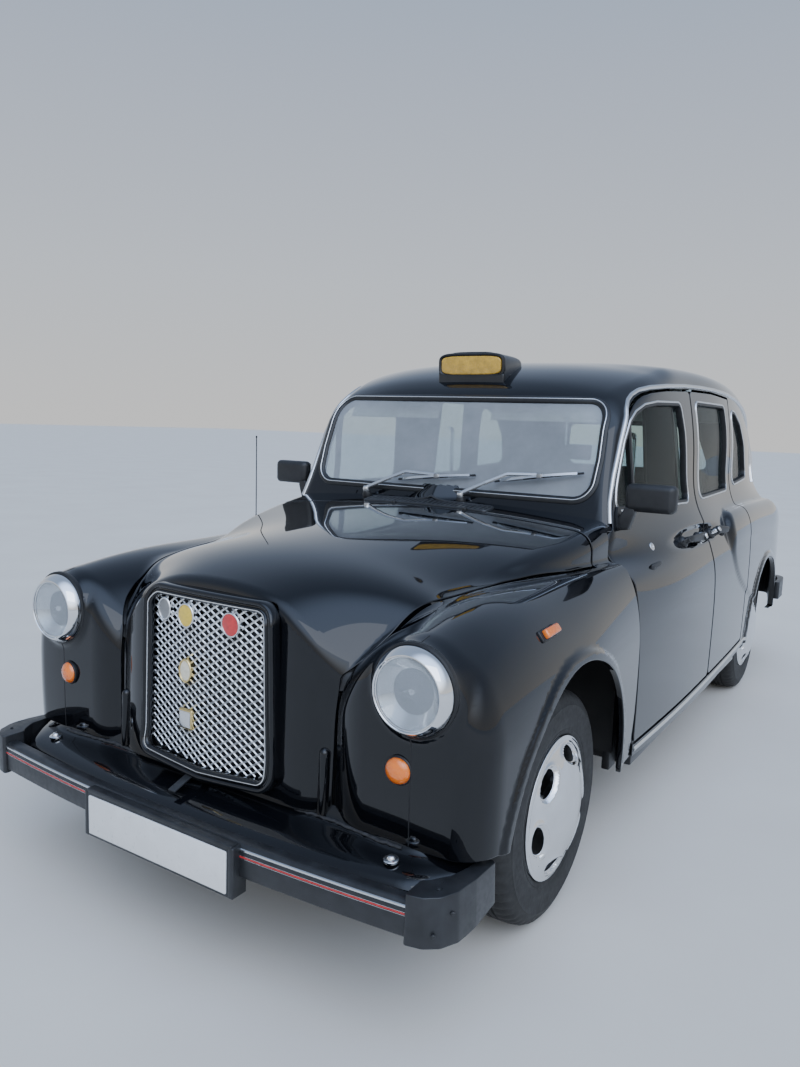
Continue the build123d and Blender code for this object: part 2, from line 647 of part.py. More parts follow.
# ---- bumpers and apron ----
BUMPER_Z = (306.0, 394.0)
with BuildPart() as front_bumper:
    with BuildSketch(Plane.XY.offset(BUMPER_Z[0])):
        with BuildLine():
            a = ThreePointArc((-752, Y(-741)), (0, Y(-780)), (752, Y(-741)))
            Line((752, Y(-741)), (752, Y(-697)))
            ThreePointArc((752, Y(-697)), (0, Y(-738)), (-752, Y(-697)))
            Line((-752, Y(-697)), (-752, Y(-741)))
        make_face()
    extrude(amount=BUMPER_Z[1] - BUMPER_Z[0])
    for k in (1, -1):
        add(plan_prism([(k * 752, -744), (k * 800, -728), (k * 836, -680), (k * 846, -600), (k * 842, -492), (k * 812, -492),
                        (k * 812, -600), (k * 800, -664), (k * 752, -694)], 296, 416))
save(front_bumper, "front_bumper")

with BuildPart() as rear_bumper:
    with BuildSketch(Plane.XY.offset(440)):
        with BuildLine():
            ThreePointArc((-760, Y(3722)), (0, Y(TAIL_S)), (760, Y(3722)))
            Line((760, Y(3722)), (760, Y(3676)))
            ThreePointArc((760, Y(3676)), (0, Y(TAIL_S - 44)), (-760, Y(3676)))
            Line((-760, Y(3676)), (-760, Y(3722)))
        make_face()
    extrude(amount=90)
    for k in (1, -1):
        add(plan_prism([(k * 760, 3724), (k * 812, 3704), (k * 858, 3640), (k * 870, 3560), (k * 874, 3400), (k * 850, 3400),
                        (k * 842, 3560), (k * 826, 3624), (k * 760, 3676)], 432, 538))
save(rear_bumper, "rear_bumper")

with BuildPart() as front_apron:
    add(side_prism([(-590, 396), (-640, 392), (-682, 352), (-690, 300), (-678, 298), (-668, 340), (-632, 378), (-590, 382)],
                   -745, 745))
    for k in (1, -1):
        add(block(min(k * 286, k * 334), max(k * 286, k * 334), -800, -500, 200, 364), mode=Mode.SUBTRACT)
save(front_apron, "front_apron")

# ---- lamps, plates and trim ----
with BuildPart() as headlamps:
    for k in (1, -1):
        with BuildSketch(Plane.XY):
            with BuildLine():
                Polyline((0, -586), (106, -586), (106, -600), (98, -618), (60, -632), (0, -638), close=True)
            make_face()
        revolve(axis=Axis((0, 0, 0), (0, 1, 0)), revolution_arc=360)
        break
with BuildPart() as headlamps_b:
    for k in (1, -1):
        add(headlamps.part.moved(Location((k * 660, Y0, 818))))
save(headlamps_b, "headlamps")

with BuildPart() as indicators:
    for k in (1, -1):
        with BuildSketch(Plane.XZ.offset(-Y(-586))):
            with Locations((k * 623, 614)):
                Circle(36)
        extrude(amount=26)
        with BuildPart(mode=Mode.PRIVATE) as repeater:
            add(block(min(k * 770, k * 820), max(k * 770, k * 820), -245, -150, 880, 912))
            add(front_outer, mode=Mode.SUBTRACT)
        add(repeater.part)
save(indicators, "indicators")

with BuildPart() as tail_lamps:
    for k in (1, -1):
        add(side_prism([(3500, 890), (3604, 890), (3652, 808), (3674, 740), (3500, 740)], k * 655 - 40, k * 655 + 40))
    add(cabin_outer, mode=Mode.SUBTRACT)
save(tail_lamps, "tail_lamps")

with BuildPart() as front_plate:
    add(block(-270, 270, -800, -784, 262, 386))
save(front_plate, "front_number_plate")

with BuildPart() as roof_sign:
    add(side_prism([(842, 1600), (842, 1732), (866, 1746), (940, 1750), (1030, 1744), (1110, 1726), (1110, 1650)], -150, 150))
    add(cabin_outer, mode=Mode.SUBTRACT)
save(roof_sign, "roof_sign")

for side, k in sides:
    with BuildPart() as mirror_b:
        add(block(min(k * 730, k * 898), max(k * 730, k * 898), 672, 728, 1156, 1258))
        add(block(min(k * 640, k * 760), max(k * 640, k * 760), 686, 714, 1112, 1140))
        add(block(min(k * 740, k * 760), max(k * 740, k * 760), 686, 714, 1130, 1160))
        add(cabin_outer, mode=Mode.SUBTRACT)
    save(mirror_b, "door_mirror_" + side)

with BuildPart() as wipers:
    for px, b0, b1 in ((-330, -150, 180), (110, 275, 590)):
        add(end_prism([(px - 10, 1166), (px + 10, 1160), (b0 + 90, 1206), (b0 + 80, 1216)], 500, 800))
        add(end_prism([(b0, 1204), (b1, 1210), (b1, 1220), (b0, 1214)], 500, 800))
    add(side_prism([(597, 1135), (587, 1135), (650, 1300), (660, 1300)], -800, 800), mode=Mode.INTERSECT)
    add(cabin_outer, mode=Mode.SUBTRACT)
    add(front_outer, mode=Mode.SUBTRACT)
save(wipers, "wipers")

with BuildPart() as aerial:
    with BuildSketch(Plane.XY.offset(950)):
        with Locations((-668, Y(310))):
            Circle(16)
    extrude(amount=45)
    with BuildSketch(Plane.XY.offset(990)):
        with Locations((-668, Y(310))):
            Circle(4)
    extrude(amount=380)
    add(front_outer, mode=Mode.SUBTRACT)
save(aerial, "aerial")

# ---- interior ----
with BuildPart() as partition:
    add(cabin_solid(WALL + 10, ROOF_T + 4))
    add(block(-900, 900, 1488, 1512, 366, 1800), mode=Mode.INTERSECT)
    add(side_prism(SIDE_IN, -1000, 1000), mode=Mode.INTERSECT)
    add(end_prism([(-560, 1130), (-520, 1560), (520, 1560), (560, 1130)], 1480, 1520), mode=Mode.SUBTRACT)
save(partition, "partition")
with BuildPart() as partition_glass:
    add(end_prism([(-560, 1130), (-520, 1560), (520, 1560), (560, 1130)], 1497, 1503))
save(partition_glass, "partition_glass")

with BuildPart() as driver_seat:
    add(block(-600, -150, 1000, 1400, 363, 470))
    add(rounded([(960, 470), (960, 600), (1420, 590), (1420, 470)], 30, -620, -130))
    add(rounded([(1330, 570), (1410, 1110), (1470, 1100), (1440, 570)], 20, -620, -130))
save(driver_seat, "driver_seat")

with BuildPart() as rear_seat:
    add(rounded([(2262, 601), (2262, 800), (2800, 770), (2800, 601)], 40, -552, 552))
    add(rounded([(2700, 772), (2810, 1280), (2880, 1280), (2860, 601), (2760, 601)], 15, -552, 552))
save(rear_seat, "rear_seat")

with BuildPart() as tip_up_seats:
    for k in (1, -1):
        add(rounded([(1513, 480), (1513, 900), (1570, 900), (1600, 500), (1590, 480)], 8, k * 330 - 200, k * 330 + 200))
save(tip_up_seats, "tip_up_seats")

COLUMN_TOP = (-380.0, 985.0, 985.0)      # x, station, height at the steering wheel's centre
COLUMN_TILT = 42.0                       # from level
with BuildPart() as steering_wheel:
    hub = Plane(origin=(COLUMN_TOP[0], Y(COLUMN_TOP[1]), COLUMN_TOP[2]), x_dir=(1, 0, 0),
                z_dir=(0, math.cos(math.radians(COLUMN_TILT)), math.sin(math.radians(COLUMN_TILT))))
    with BuildSketch(hub.offset(-14)):
        Circle(36)
        Rectangle(390, 26)
        with Locations((0, -100)):
            Rectangle(26, 190)
    extrude(amount=14)
    with BuildSketch(hub.offset(-12)):
        Circle(212)
        Circle(188, mode=Mode.SUBTRACT)
    extrude(amount=24)
    with BuildSketch(hub.offset(-120)):
        Circle(14)
    extrude(amount=110)
save(steering_wheel, "steering_wheel")

with BuildPart() as dashboard:
    add(side_prism([(622, 860), (720, 860), (800, 960), (800, 1010), (750, 1050), (672, 1062), (622, 1062)], -600, 600))
    with BuildSketch(hub.offset(-330)):
        Circle(28)
    extrude(amount=205)
    add(block(-410, -350, 690, 760, 770, 866))
save(dashboard, "dashboard")
print("all done")
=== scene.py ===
import math

import bmesh
import bpy
import numpy as np
from mathutils import Matrix, Vector

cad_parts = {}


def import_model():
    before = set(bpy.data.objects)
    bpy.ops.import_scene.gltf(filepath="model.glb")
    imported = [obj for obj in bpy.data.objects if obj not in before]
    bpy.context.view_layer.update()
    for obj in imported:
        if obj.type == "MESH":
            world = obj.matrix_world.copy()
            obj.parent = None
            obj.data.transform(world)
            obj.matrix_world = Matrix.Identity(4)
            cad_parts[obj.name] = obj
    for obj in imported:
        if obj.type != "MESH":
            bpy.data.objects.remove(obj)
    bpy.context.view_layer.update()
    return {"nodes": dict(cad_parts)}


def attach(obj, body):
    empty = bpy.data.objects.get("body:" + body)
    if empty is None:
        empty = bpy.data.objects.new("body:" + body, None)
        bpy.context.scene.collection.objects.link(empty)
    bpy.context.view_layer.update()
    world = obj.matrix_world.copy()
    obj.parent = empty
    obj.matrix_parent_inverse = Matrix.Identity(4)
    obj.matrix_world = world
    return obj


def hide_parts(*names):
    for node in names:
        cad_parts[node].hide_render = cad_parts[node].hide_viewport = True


# Four-door taxi cab. Shapes are written in millimetres as (x, s, z): x to the car's left,
# s rearward from the front axle, z up; meshes are made in metres in the row frame.

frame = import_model()
Y0 = -1487.5
CELL = 17.0
FRONT_CELL = 13.5
P_SOFT = 2.4


def world(p):
    """Millimetre (x, s, z) rows to metres in the row frame."""
    p = np.asarray(p, float)
    return np.stack([p[:, 0], p[:, 1] + Y0, p[:, 2]], 1) / 1000.0


# ------------------------------------------------------------------ curves
def spline(xs, ys, reach=260.0):
    """Natural cubic spline through the points, straight beyond its ends, tabled every millimetre."""
    xs, ys = np.array(xs, float), np.array(ys, float)
    n = len(xs)
    h = np.diff(xs)
    a, r = np.zeros((n, n)), np.zeros(n)
    a[0, 0] = a[-1, -1] = 1.0
    for i in range(1, n - 1):
        a[i, i - 1], a[i, i], a[i, i + 1] = h[i - 1], 2 * (h[i - 1] + h[i]), h[i]
        r[i] = 6 * ((ys[i + 1] - ys[i]) / h[i] - (ys[i] - ys[i - 1]) / h[i - 1])
    m = np.linalg.solve(a, r)
    t = np.arange(xs[0] - reach, xs[-1] + reach + 1.0, 1.0)
    i = np.clip(np.searchsorted(xs, t) - 1, 0, n - 2)
    u, v, w = xs[i + 1] - t, t - xs[i], h[i]
    f = (m[i] * u ** 3 + m[i + 1] * v ** 3) / (6 * w) + (ys[i] / w - m[i] * w / 6) * u + (ys[i + 1] / w - m[i + 1] * w / 6) * v
    s0 = (ys[1] - ys[0]) / h[0] - h[0] * (2 * m[0] + m[1]) / 6
    s1 = (ys[-1] - ys[-2]) / h[-1] + h[-1] * (m[-2] + 2 * m[-1]) / 6
    f = np.where(t < xs[0], ys[0] + s0 * (t - xs[0]), f)
    f = np.where(t > xs[-1], ys[-1] + s1 * (t - xs[-1]), f)
    return lambda q: np.interp(q, t, f)


def smooth(e0, e1, q):
    t = np.clip((q - e0) / (e1 - e0), 0, 1)
    return t * t * t * (t * (6 * t - 15) + 10)


def round_max(a, b, r, p=P_SOFT):
    """Where both fields are near zero, the corner between them is rounded by r."""
    u, v = np.maximum(a + r, 0), np.maximum(b + r, 0)
    q = (u ** p + v ** p) ** (1 / p) - r
    return np.where((u > 0) | (v > 0), q, np.maximum(a, b))


def round_min(a, b, r, p=P_SOFT):
    return -round_max(-a, -b, r, p)


def corner(a, b, ra, rb, p=2.0):
    """Corner between two walls with its own radius along each."""
    u, v = np.maximum(a + ra, 0) / ra, np.maximum(b + rb, 0) / rb
    q = (u ** p + v ** p) ** (1 / p)
    scale = (ra * u * u + rb * v * v + 1e-9) / (u * u + v * v + 1e-9)
    return np.where((u > 0) | (v > 0), (q - 1) * scale, np.maximum(a, b))


# ------------------------------------------------------------------ front body
WING_X = spline([-640, -585, -450, -200, 100, 350, 600], [842, 846, 856, 865, 864, 850, 835])
WING_TOP = spline([-640, -585, -480, -360, -230, 0, 150, 350, 600], [917, 929, 949, 966, 978, 983, 984, 984, 983])
WING_RX = spline([-640, -585, -450, -200, 100, 350, 600], [184, 186, 190, 208, 190, 134, 83])
WING_K = spline([-640, -585, -450, -200, 100, 350, 600], [0.0057, 0.0055, 0.0041, 0.0026, 0.0016, 0.0004, -0.0008])
NOSE_TOP = spline([-640, -585, -450, -200, 100, 350, 455, 600], [966, 990, 1035, 1075, 1099, 1119, 1130, 1150])
NOSE_C2 = spline([-640, -585, -450, -200, 100, 350, 455, 600], [3.7e-4, 3.65e-4, 3.08e-4, 3.5e-4, 2.2e-4, 1.05e-4, 0.8e-4, 0.7e-4])
NOSE_C4 = spline([-640, -585, -450, -200, 100, 350, 600], [6.6e-9, 5.3e-9, 1.7e-9, 0.2e-9, 0, 0, 0])
NOSE_X = spline([-640, -450, -200, 0, 100, 200, 300, 455, 600], [600, 600, 592, 588, 615, 642, 666, 691, 702])
ARCH_F, ARCH_R = (-20.0, 445.0), (2810.0, 425.0)
HUB = 342.0
LAMP = (660.0, 818.0)


def arch_distance(s, z, arch):
    ds, dz = s - arch[0], z - HUB
    return np.where(dz > 0, np.hypot(ds, dz), np.abs(ds)) - arch[1]


def flare(s, z, arch, height=11.0):
    return height * (1 - smooth(20.0, 44.0, arch_distance(s, z, arch)))


def front_field(x, s, z):
    x = np.abs(x)
    # wing
    wall = WING_X(s) - 7.0 * ((z - 620.0) / 280.0) ** 2 + flare(s, z, ARCH_F)
    rx, top = WING_RX(s), WING_TOP(s)
    crown_x = WING_X(s) - rx
    inner = np.maximum(crown_x - x, 0)
    top = top - 0.5 * WING_K(s) * inner ** 2
    wing = corner(x - wall, (z - top) / np.sqrt(1 + (WING_K(s) * inner) ** 2), rx, 285.0)
    face = -590.0 - 5.0 * (1 - ((z - 640.0) / 240.0) ** 2) + 36.0 * (np.maximum(520.0 - x, 0) / 114.0) ** 2
    face = face + 10.0 * (np.maximum(x - 640.0, 0) / 180.0) ** 2
    r2 = 62.0 + 34.0 * smooth(690, 800, x) * (1 - smooth(840, 930, z))
    wing = round_max(wing, face - s, r2)
    # pod behind the lamp
    d = np.hypot(x - LAMP[0], z - LAMP[1])
    pod = round_max(d - 113.5, -597.0 - s, 5.0)
    wing = round_min(wing, pod, 26.0)
    # bonnet and nose
    nose_top = NOSE_TOP(s) - NOSE_C2(s) * x ** 2 - NOSE_C4(s) * x ** 4
    slope = 2 * NOSE_C2(s) * x + 4 * NOSE_C4(s) * x ** 3
    nose = (z - nose_top) / np.sqrt(1 + slope ** 2)
    nose = round_max(nose, x - NOSE_X(s), 52.0 + 18.0 * smooth(0, 455, s))
    face = -588.0 - 14.0 * np.clip((960.0 - z) / 520.0, -0.3, 1.1) + 36.0 * (np.maximum(x - 262.0, 0) / 140.0) ** 2
    nose = round_max(nose, face - s, 24.0)
    return round_min(nose, wing, 20.0 + 16.0 * smooth(-500, -100, s) - 15.0 * smooth(100, 455, s))


# ------------------------------------------------------------------ cabin
# rows: station, then x at each height in SIDE_Z, gutter x and height, roof height at the centre
SIDE_Z = [100, 270, 600, 780, 900, 945, 990, 1050, 1110]
CABIN = [
    (600, 830, 833, 835, 826, 806, 780, 712, 702, 692, 610, 1560, 1640),
    (1050, 852, 856, 859, 858, 840, 821, 798, 765, 738, 672, 1608, 1684),
    (1545, 862, 866, 872, 870, 855, 841, 826, 805, 776, 693, 1634, 1707),
    (2000, 864, 868, 875, 874, 864, 852, 838, 810, 778, 708, 1636, 1709),
    (2450, 858, 862, 873, 873, 862, 850, 836, 808, 777, 700, 1622, 1692),
    (2900, 841, 845, 867, 868, 855, 843, 828, 799, 764, 668, 1584, 1652),
    (3300, 812, 816, 846, 848, 832, 819, 803, 772, 728, 610, 1510, 1590),
    (3560, 760, 764, 800, 802, 786, 774, 758, 730, 690, 560, 1410, 1480),
    (3665, 740, 744, 780, 784, 768, 756, 740, 712, 672, 540, 1370, 1430),
]
_levels = SIDE_Z + [1360, 1600, 1850]
_rows = []
for row in CABIN:
    low, xg, zg = list(row[1:10]), row[10], row[11]
    lean = (low[-1] - xg) / (zg - 1110.0)
    _rows.append(low + [low[-1] - lean * 250 - 1, low[-1] - lean * 490 + 1, low[-1] - lean * 740 - 18])
_stations = [row[0] for row in CABIN]
_columns = [spline(_stations, [r[j] for r in _rows]) for j in range(len(_levels))]
_cards = [spline(_levels, np.eye(len(_levels))[j], 400) for j in range(len(_levels))]
ROOF_Z = spline([560, 700, 768, 830, 900, 1000, 1150, 1300, 1600, 1900, 2200, 2450, 2700, 2900, 3100],
                [1420, 1510, 1560, 1608, 1645, 1680, 1712, 1728, 1740, 1742, 1736, 1724, 1698, 1660, 1600])
GUTTER_X = spline(_stations, [r[10] for r in CABIN])
GUTTER_Z = spline(_stations, [r[11] for r in CABIN])
BULGE_X = spline([1850, 2000, 2450, 2900, 3300, 3560, 3665], [873, 877, 877, 872, 852, 808, 790])
BULGE_Z = spline([1850, 2250, 2900, 3300, 3450, 3600, 3700], [1076, 1088, 1082, 1066, 1045, 1000, 960])


def side_wall(s, z):
    s = np.asarray(s, float)
    z = np.clip(z, 0, 1900)
    return sum(c(s) * b(z) for c, b in zip(_columns, _cards))


def cabin_field(x, s, z):
    x = np.abs(x)
    side = x - side_wall(s, z) - flare(s, z, ARCH_R)
    side = side / 1.02
    scoop = np.hypot((s - 1395.0) / 400.0, (z - 1014.0 - 0.02 * (s - 1395.0)) / 50.0)
    side = side + 13.0 * (1 - smooth(0.35, 1.0, scoop))
    bulge = corner(x - BULGE_X(s) - flare(s, z, ARCH_R), z - BULGE_Z(s) + 0.0009 * np.maximum(845.0 - x, 0) ** 2, 70.0, 150.0)
    bulge = round_max(bulge, (1868.0 - s) + 0.9 * np.maximum(z - 1000.0, 0) ** 2 / 120.0 + 0.9 * np.maximum(930.0 - z, 0) ** 2 / 180.0, 60.0)
    side = round_min(side, bulge, 22.0)
    # side view envelope
    across = np.minimum(x / GUTTER_X(s), 1.25) ** 2
    roof = (z - (ROOF_Z(s) - 10.0 * across - (24.0 + 26.0 * (1 - smooth(860, 1500, s))) * across ** 2 - 14.0 * (1 - smooth(1150, 1400, s)) * across)) / 1.01
    back = ((s + 22.0 * (x / 470.0) ** 2 - 2960.0) + 0.541 * (z - 1560.0)) * 0.879
    house = round_max(roof, back, 130.0)
    deck = corner(s - 3668.0 + 22.0 * (x / 700.0) ** 2, z - 1072.0, 378.0, 430.0)
    shell = round_min(house, deck, 46.0)
    screen = (617.0 + 15.0 * (x / 600.0) ** 2 + 0.368 * (z - 1172.0) - s) * 0.938
    shell = round_max(shell, screen, 36.0)
    radius = 44.0 + 14.0 * smooth(800, 1100, s) + 16.0 * smooth(3000, 3400, s) + 44.0 * smooth(1440, 1600, z) * (1 - smooth(800, 1100, s))
    return round_max(side, shell, radius)


# ------------------------------------------------------------------ meshes from fields
def gradient(field, p, h=0.8):
    g = np.empty_like(p)
    for i in range(3):
        d = np.zeros(3)
        d[i] = h
        a, b = p + d, p - d
        g[:, i] = (field(a[:, 0], a[:, 1], a[:, 2]) - field(b[:, 0], b[:, 1], b[:, 2])) / (2 * h)
    return g


def normals_of(field, p):
    g = gradient(field, p)
    return g / np.maximum(np.linalg.norm(g, axis=1, keepdims=True), 1e-9)


def settle(field, p, steps=3, limit=8.0):
    """Moves points onto the field's zero surface."""
    for _ in range(steps):
        g = gradient(field, p)
        f = field(p[:, 0], p[:, 1], p[:, 2])
        step = -(f / np.maximum((g ** 2).sum(1), 1e-6))[:, None] * g
        size = np.linalg.norm(step, axis=1, keepdims=True)
        p = p + step * np.minimum(1, limit / np.maximum(size, 1e-9))
    return p


def surface(field, low, high, cell):
    """Quad mesh of the zero surface inside a box (surface nets), evened out and settled on the field."""
    low, high = np.array(low, float), np.array(high, float)
    n = np.ceil((high - low) / cell).astype(int) + 1
    n = (np.ceil((n - 1) / 3).astype(int)) * 3 + 1
    axes = [low[i] + cell * np.arange(n[i]) for i in range(3)]
    coarse = [a[::3] for a in axes]
    cx, cy, cz = np.meshgrid(*coarse, indexing="ij")
    cv = field(cx.ravel(), cy.ravel(), cz.ravel()).reshape(cx.shape)
    near = np.zeros(np.array(cv.shape) - 1, bool)
    lo = np.full(near.shape, np.inf)
    hi = np.full(near.shape, -np.inf)
    for dx in (0, 1):
        for dy in (0, 1):
            for dz in (0, 1):
                part = cv[dx:dx + near.shape[0], dy:dy + near.shape[1], dz:dz + near.shape[2]]
                lo, hi = np.minimum(lo, part), np.maximum(hi, part)
    near = (lo < cell * 2.2) & (hi > -cell * 2.2)
    full = np.zeros(tuple(n), bool)
    for dx in range(4):
        for dy in range(4):
            for dz in range(4):
                full[dx:dx + 3 * near.shape[0]:3, dy:dy + 3 * near.shape[1]:3, dz:dz + 3 * near.shape[2]:3] |= near
    v = np.full(tuple(n), 1e3)
    seed = np.repeat(np.repeat(np.repeat(cv, 3, 0), 3, 1), 3, 2)[:n[0], :n[1], :n[2]]
    v = np.where(full, v, np.sign(seed) * 1e3)
    ii, jj, kk = np.nonzero(full)
    v[ii, jj, kk] = field(axes[0][ii], axes[1][jj], axes[2][kk])
    inside = v < 0
    c = [inside[dx:dx + n[0] - 1, dy:dy + n[1] - 1, dz:dz + n[2] - 1] for dx in (0, 1) for dy in (0, 1) for dz in (0, 1)]
    count = sum(q.astype(np.int8) for q in c)
    active = (count > 0) & (count < 8)
    ai = np.argwhere(active)
    index = np.full(active.shape, -1, int)
    index[tuple(ai.T)] = np.arange(len(ai))
    total = np.zeros((len(ai), 3))
    hits = np.zeros(len(ai))
    corners = [(dx, dy, dz) for dx in (0, 1) for dy in (0, 1) for dz in (0, 1)]
    vals = {q: v[ai[:, 0] + q[0], ai[:, 1] + q[1], ai[:, 2] + q[2]] for q in corners}
    for a in corners:
        for axis in range(3):
            if a[axis]:
                continue
            b = list(a)
            b[axis] = 1
            b = tuple(b)
            va, vb = vals[a], vals[b]
            cross = (va < 0) != (vb < 0)
            t = np.where(cross, va / np.where(cross, va - vb, 1), 0)
            point = np.array(a, float)[None, :] + t[:, None] * (np.array(b) - np.array(a))[None, :]
            total += np.where(cross[:, None], point, 0)
            hits += cross
    verts = low + cell * (ai + total / hits[:, None])
    faces = []
    for axis in range(3):
        sl0, sl1 = [slice(None)] * 3, [slice(None)] * 3
        sl0[axis], sl1[axis] = slice(0, n[axis] - 1), slice(1, n[axis])
        edge = np.argwhere(inside[tuple(sl0)] != inside[tuple(sl1)])
        u, w = [q for q in range(3) if q != axis]
        ok = (edge[:, u] > 0) & (edge[:, w] > 0) & (edge[:, u] < n[u] - 1) & (edge[:, w] < n[w] - 1)
        edge = edge[ok]
        quad = []
        for du, dw in ((-1, -1), (0, -1), (0, 0), (-1, 0)):
            q = edge.copy()
            q[:, u] += du
            q[:, w] += dw
            quad.append(index[tuple(q.T)])
        quad = np.stack(quad, 1)
        start_in = inside[tuple(edge.T)]
        flip = start_in if axis != 1 else ~start_in
        quad = np.where(flip[:, None], quad, quad[:, ::-1])
        faces.append(quad)
    faces = np.concatenate(faces)
    faces = faces[(faces >= 0).all(1)]
    verts = settle(field, verts, 4, cell)
    # even the quads out within the surface
    pairs = np.concatenate([faces[:, [0, 1]], faces[:, [1, 2]], faces[:, [2, 3]], faces[:, [3, 0]]])
    for _ in range(3):
        acc = np.zeros_like(verts)
        num = np.zeros(len(verts))
        for a, b in ((0, 1), (1, 0)):
            np.add.at(acc, pairs[:, a], verts[pairs[:, b]])
            np.add.at(num, pairs[:, a], 1)
        move = acc / np.maximum(num, 1)[:, None] - verts
        g = normals_of(field, verts)
        move -= (move * g).sum(1, keepdims=True) * g
        verts = settle(field, verts + 0.5 * move, 1, cell)
    verts = settle(field, verts, 2, cell)
    g = normals_of(field, verts)
    a, b, cc = verts[faces[:, 0]], verts[faces[:, 1]], verts[faces[:, 2]]
    if (np.einsum("ij,ij->i", np.cross(b - a, cc - a), g[faces[:, 0]]) < 0).mean() > 0.5:
        faces = faces[:, ::-1]
    return verts, [tuple(q) for q in faces.tolist()]


def clip(verts, faces, field, cut):
    """Keeps where cut(x, s, z) is below zero, cutting faces along the line."""
    value = cut(verts[:, 0], verts[:, 1], verts[:, 2])
    value = np.where(np.abs(value) < 1e-6, 1e-6, value)
    out = []
    new_points, made = [], {}
    base = len(verts)

    def between(a, b):
        key = (a, b) if a < b else (b, a)
        if key not in made:
            t = value[key[0]] / (value[key[0]] - value[key[1]])
            made[key] = base + len(new_points)
            new_points.append(verts[key[0]] + t * (verts[key[1]] - verts[key[0]]))
        return made[key]

    sign = value < 0
    for f in faces:
        inner = [sign[i] for i in f]
        if all(inner):
            out.append(f)
        elif any(inner):
            poly = []
            for i, a in enumerate(f):
                b = f[(i + 1) % len(f)]
                if sign[a]:
                    poly.append(a)
                if sign[a] != sign[b]:
                    poly.append(between(a, b))
            if len(poly) >= 3:
                out.append(tuple(poly))
    if new_points:
        pts = np.array(new_points)
        if field is not None:
            pts = settle(field, pts, 2, 2.0)
            # back onto the cut line, then onto the surface once more
            for _ in range(2):
                n = normals_of(field, pts)
                g = gradient(cut, pts)
                g -= (g * n).sum(1, keepdims=True) * n
                c = cut(pts[:, 0], pts[:, 1], pts[:, 2])
                step = -(c / np.maximum((g ** 2).sum(1), 0.05))[:, None] * g
                size = np.linalg.norm(step, axis=1, keepdims=True)
                pts = settle(field, pts + step * np.minimum(1, 3.0 / np.maximum(size, 1e-9)), 1, 2.0)
        verts = np.concatenate([verts, pts])
    return tidy(verts, out)


def tidy(verts, faces, near=1.3):
    """Drops unused points and merges points closer than near along an edge."""
    used = sorted({i for f in faces for i in f})
    remap = {}
    for f in faces:
        for i, a in enumerate(f):
            b = f[(i + 1) % len(f)]
            if a != b and np.abs(verts[a] - verts[b]).sum() < near:
                ra, rb = remap.get(a, a), remap.get(b, b)
                while ra in remap:
                    ra = remap[ra]
                while rb in remap:
                    rb = remap[rb]
                if ra != rb:
                    # keep the newer point, which lies on a cut
                    lo, hi = min(ra, rb), max(ra, rb)
                    remap[lo] = hi

    def root(i):
        while i in remap:
            i = remap[i]
        return i

    roots = {i: root(i) for i in used}
    keep = sorted(set(roots.values()))
    order = {i: k for k, i in enumerate(keep)}
    out = []
    for f in faces:
        g = []
        for i in f:
            k = order[roots[i]]
            if not g or g[-1] != k:
                g.append(k)
        if len(g) > 1 and g[0] == g[-1]:
            g.pop()
        if len(set(g)) == len(g) and len(g) >= 3:
            out.append(tuple(g))
    return verts[keep], out


def polygon_distance(px, py, pts):
    """Signed distance to a closed outline, negative inside."""
    pts = np.array(pts, float)
    d = np.full(px.shape, np.inf)
    sign = np.ones(px.shape)
    for i in range(len(pts)):
        ax, ay = pts[i]
        bx, by = pts[i - 1]
        ex, ey = bx - ax, by - ay
        wx, wy = px - ax, py - ay
        t = np.clip((wx * ex + wy * ey) / (ex * ex + ey * ey), 0, 1)
        d = np.minimum(d, (wx - ex * t) ** 2 + (wy - ey * t) ** 2)
        c1, c2, c3 = py >= ay, py < by, ex * wy > ey * wx
        sign = np.where((c1 & c2 & c3) | (~c1 & ~c2 & ~c3), -sign, sign)
    return sign * np.sqrt(d)


def offset_outline(pts, d):
    """Outline moved out by d, or in by -d, with its corners kept."""
    pts = [np.array(p, float) for p in pts]
    n = len(pts)
    area = sum(pts[i - 1][0] * pts[i][1] - pts[i][0] * pts[i - 1][1] for i in range(n))
    turn = 1 if area > 0 else -1
    out = []
    for i in range(n):
        a, b, c = pts[i - 1], pts[i], pts[(i + 1) % n]
        e1, e2 = (b - a) / np.linalg.norm(b - a), (c - b) / np.linalg.norm(c - b)
        n1, n2 = turn * np.array([e1[1], -e1[0]]), turn * np.array([e2[1], -e2[0]])
        m = n1 + n2
        m = m / max(float(m @ m), 0.3) * 2
        out.append(tuple(b + m * d))
    return out


def rounded_cut(pts, radius, grow=0.0, plane="side"):
    """Signed distance to an outline with rounded corners, grown by grow, seen from the side, above or the end."""
    core = offset_outline(pts, -radius)

    def cut(x, s, z):
        if plane == "side":
            return polygon_distance(s, z, core) - radius - grow
        if plane == "end":
            return polygon_distance(x, z, core) - radius - grow
        return polygon_distance(x, s, core) - radius - grow
    return cut


def invert(cut):
    return lambda x, s, z: -cut(x, s, z)


def boundary_of(faces):
    """Directed edges used by one face only."""
    seen = set()
    for f in faces:
        for i, a in enumerate(f):
            seen.add((a, f[(i + 1) % len(f)]))
    return [(a, b) for a, b in seen if (b, a) not in seen]


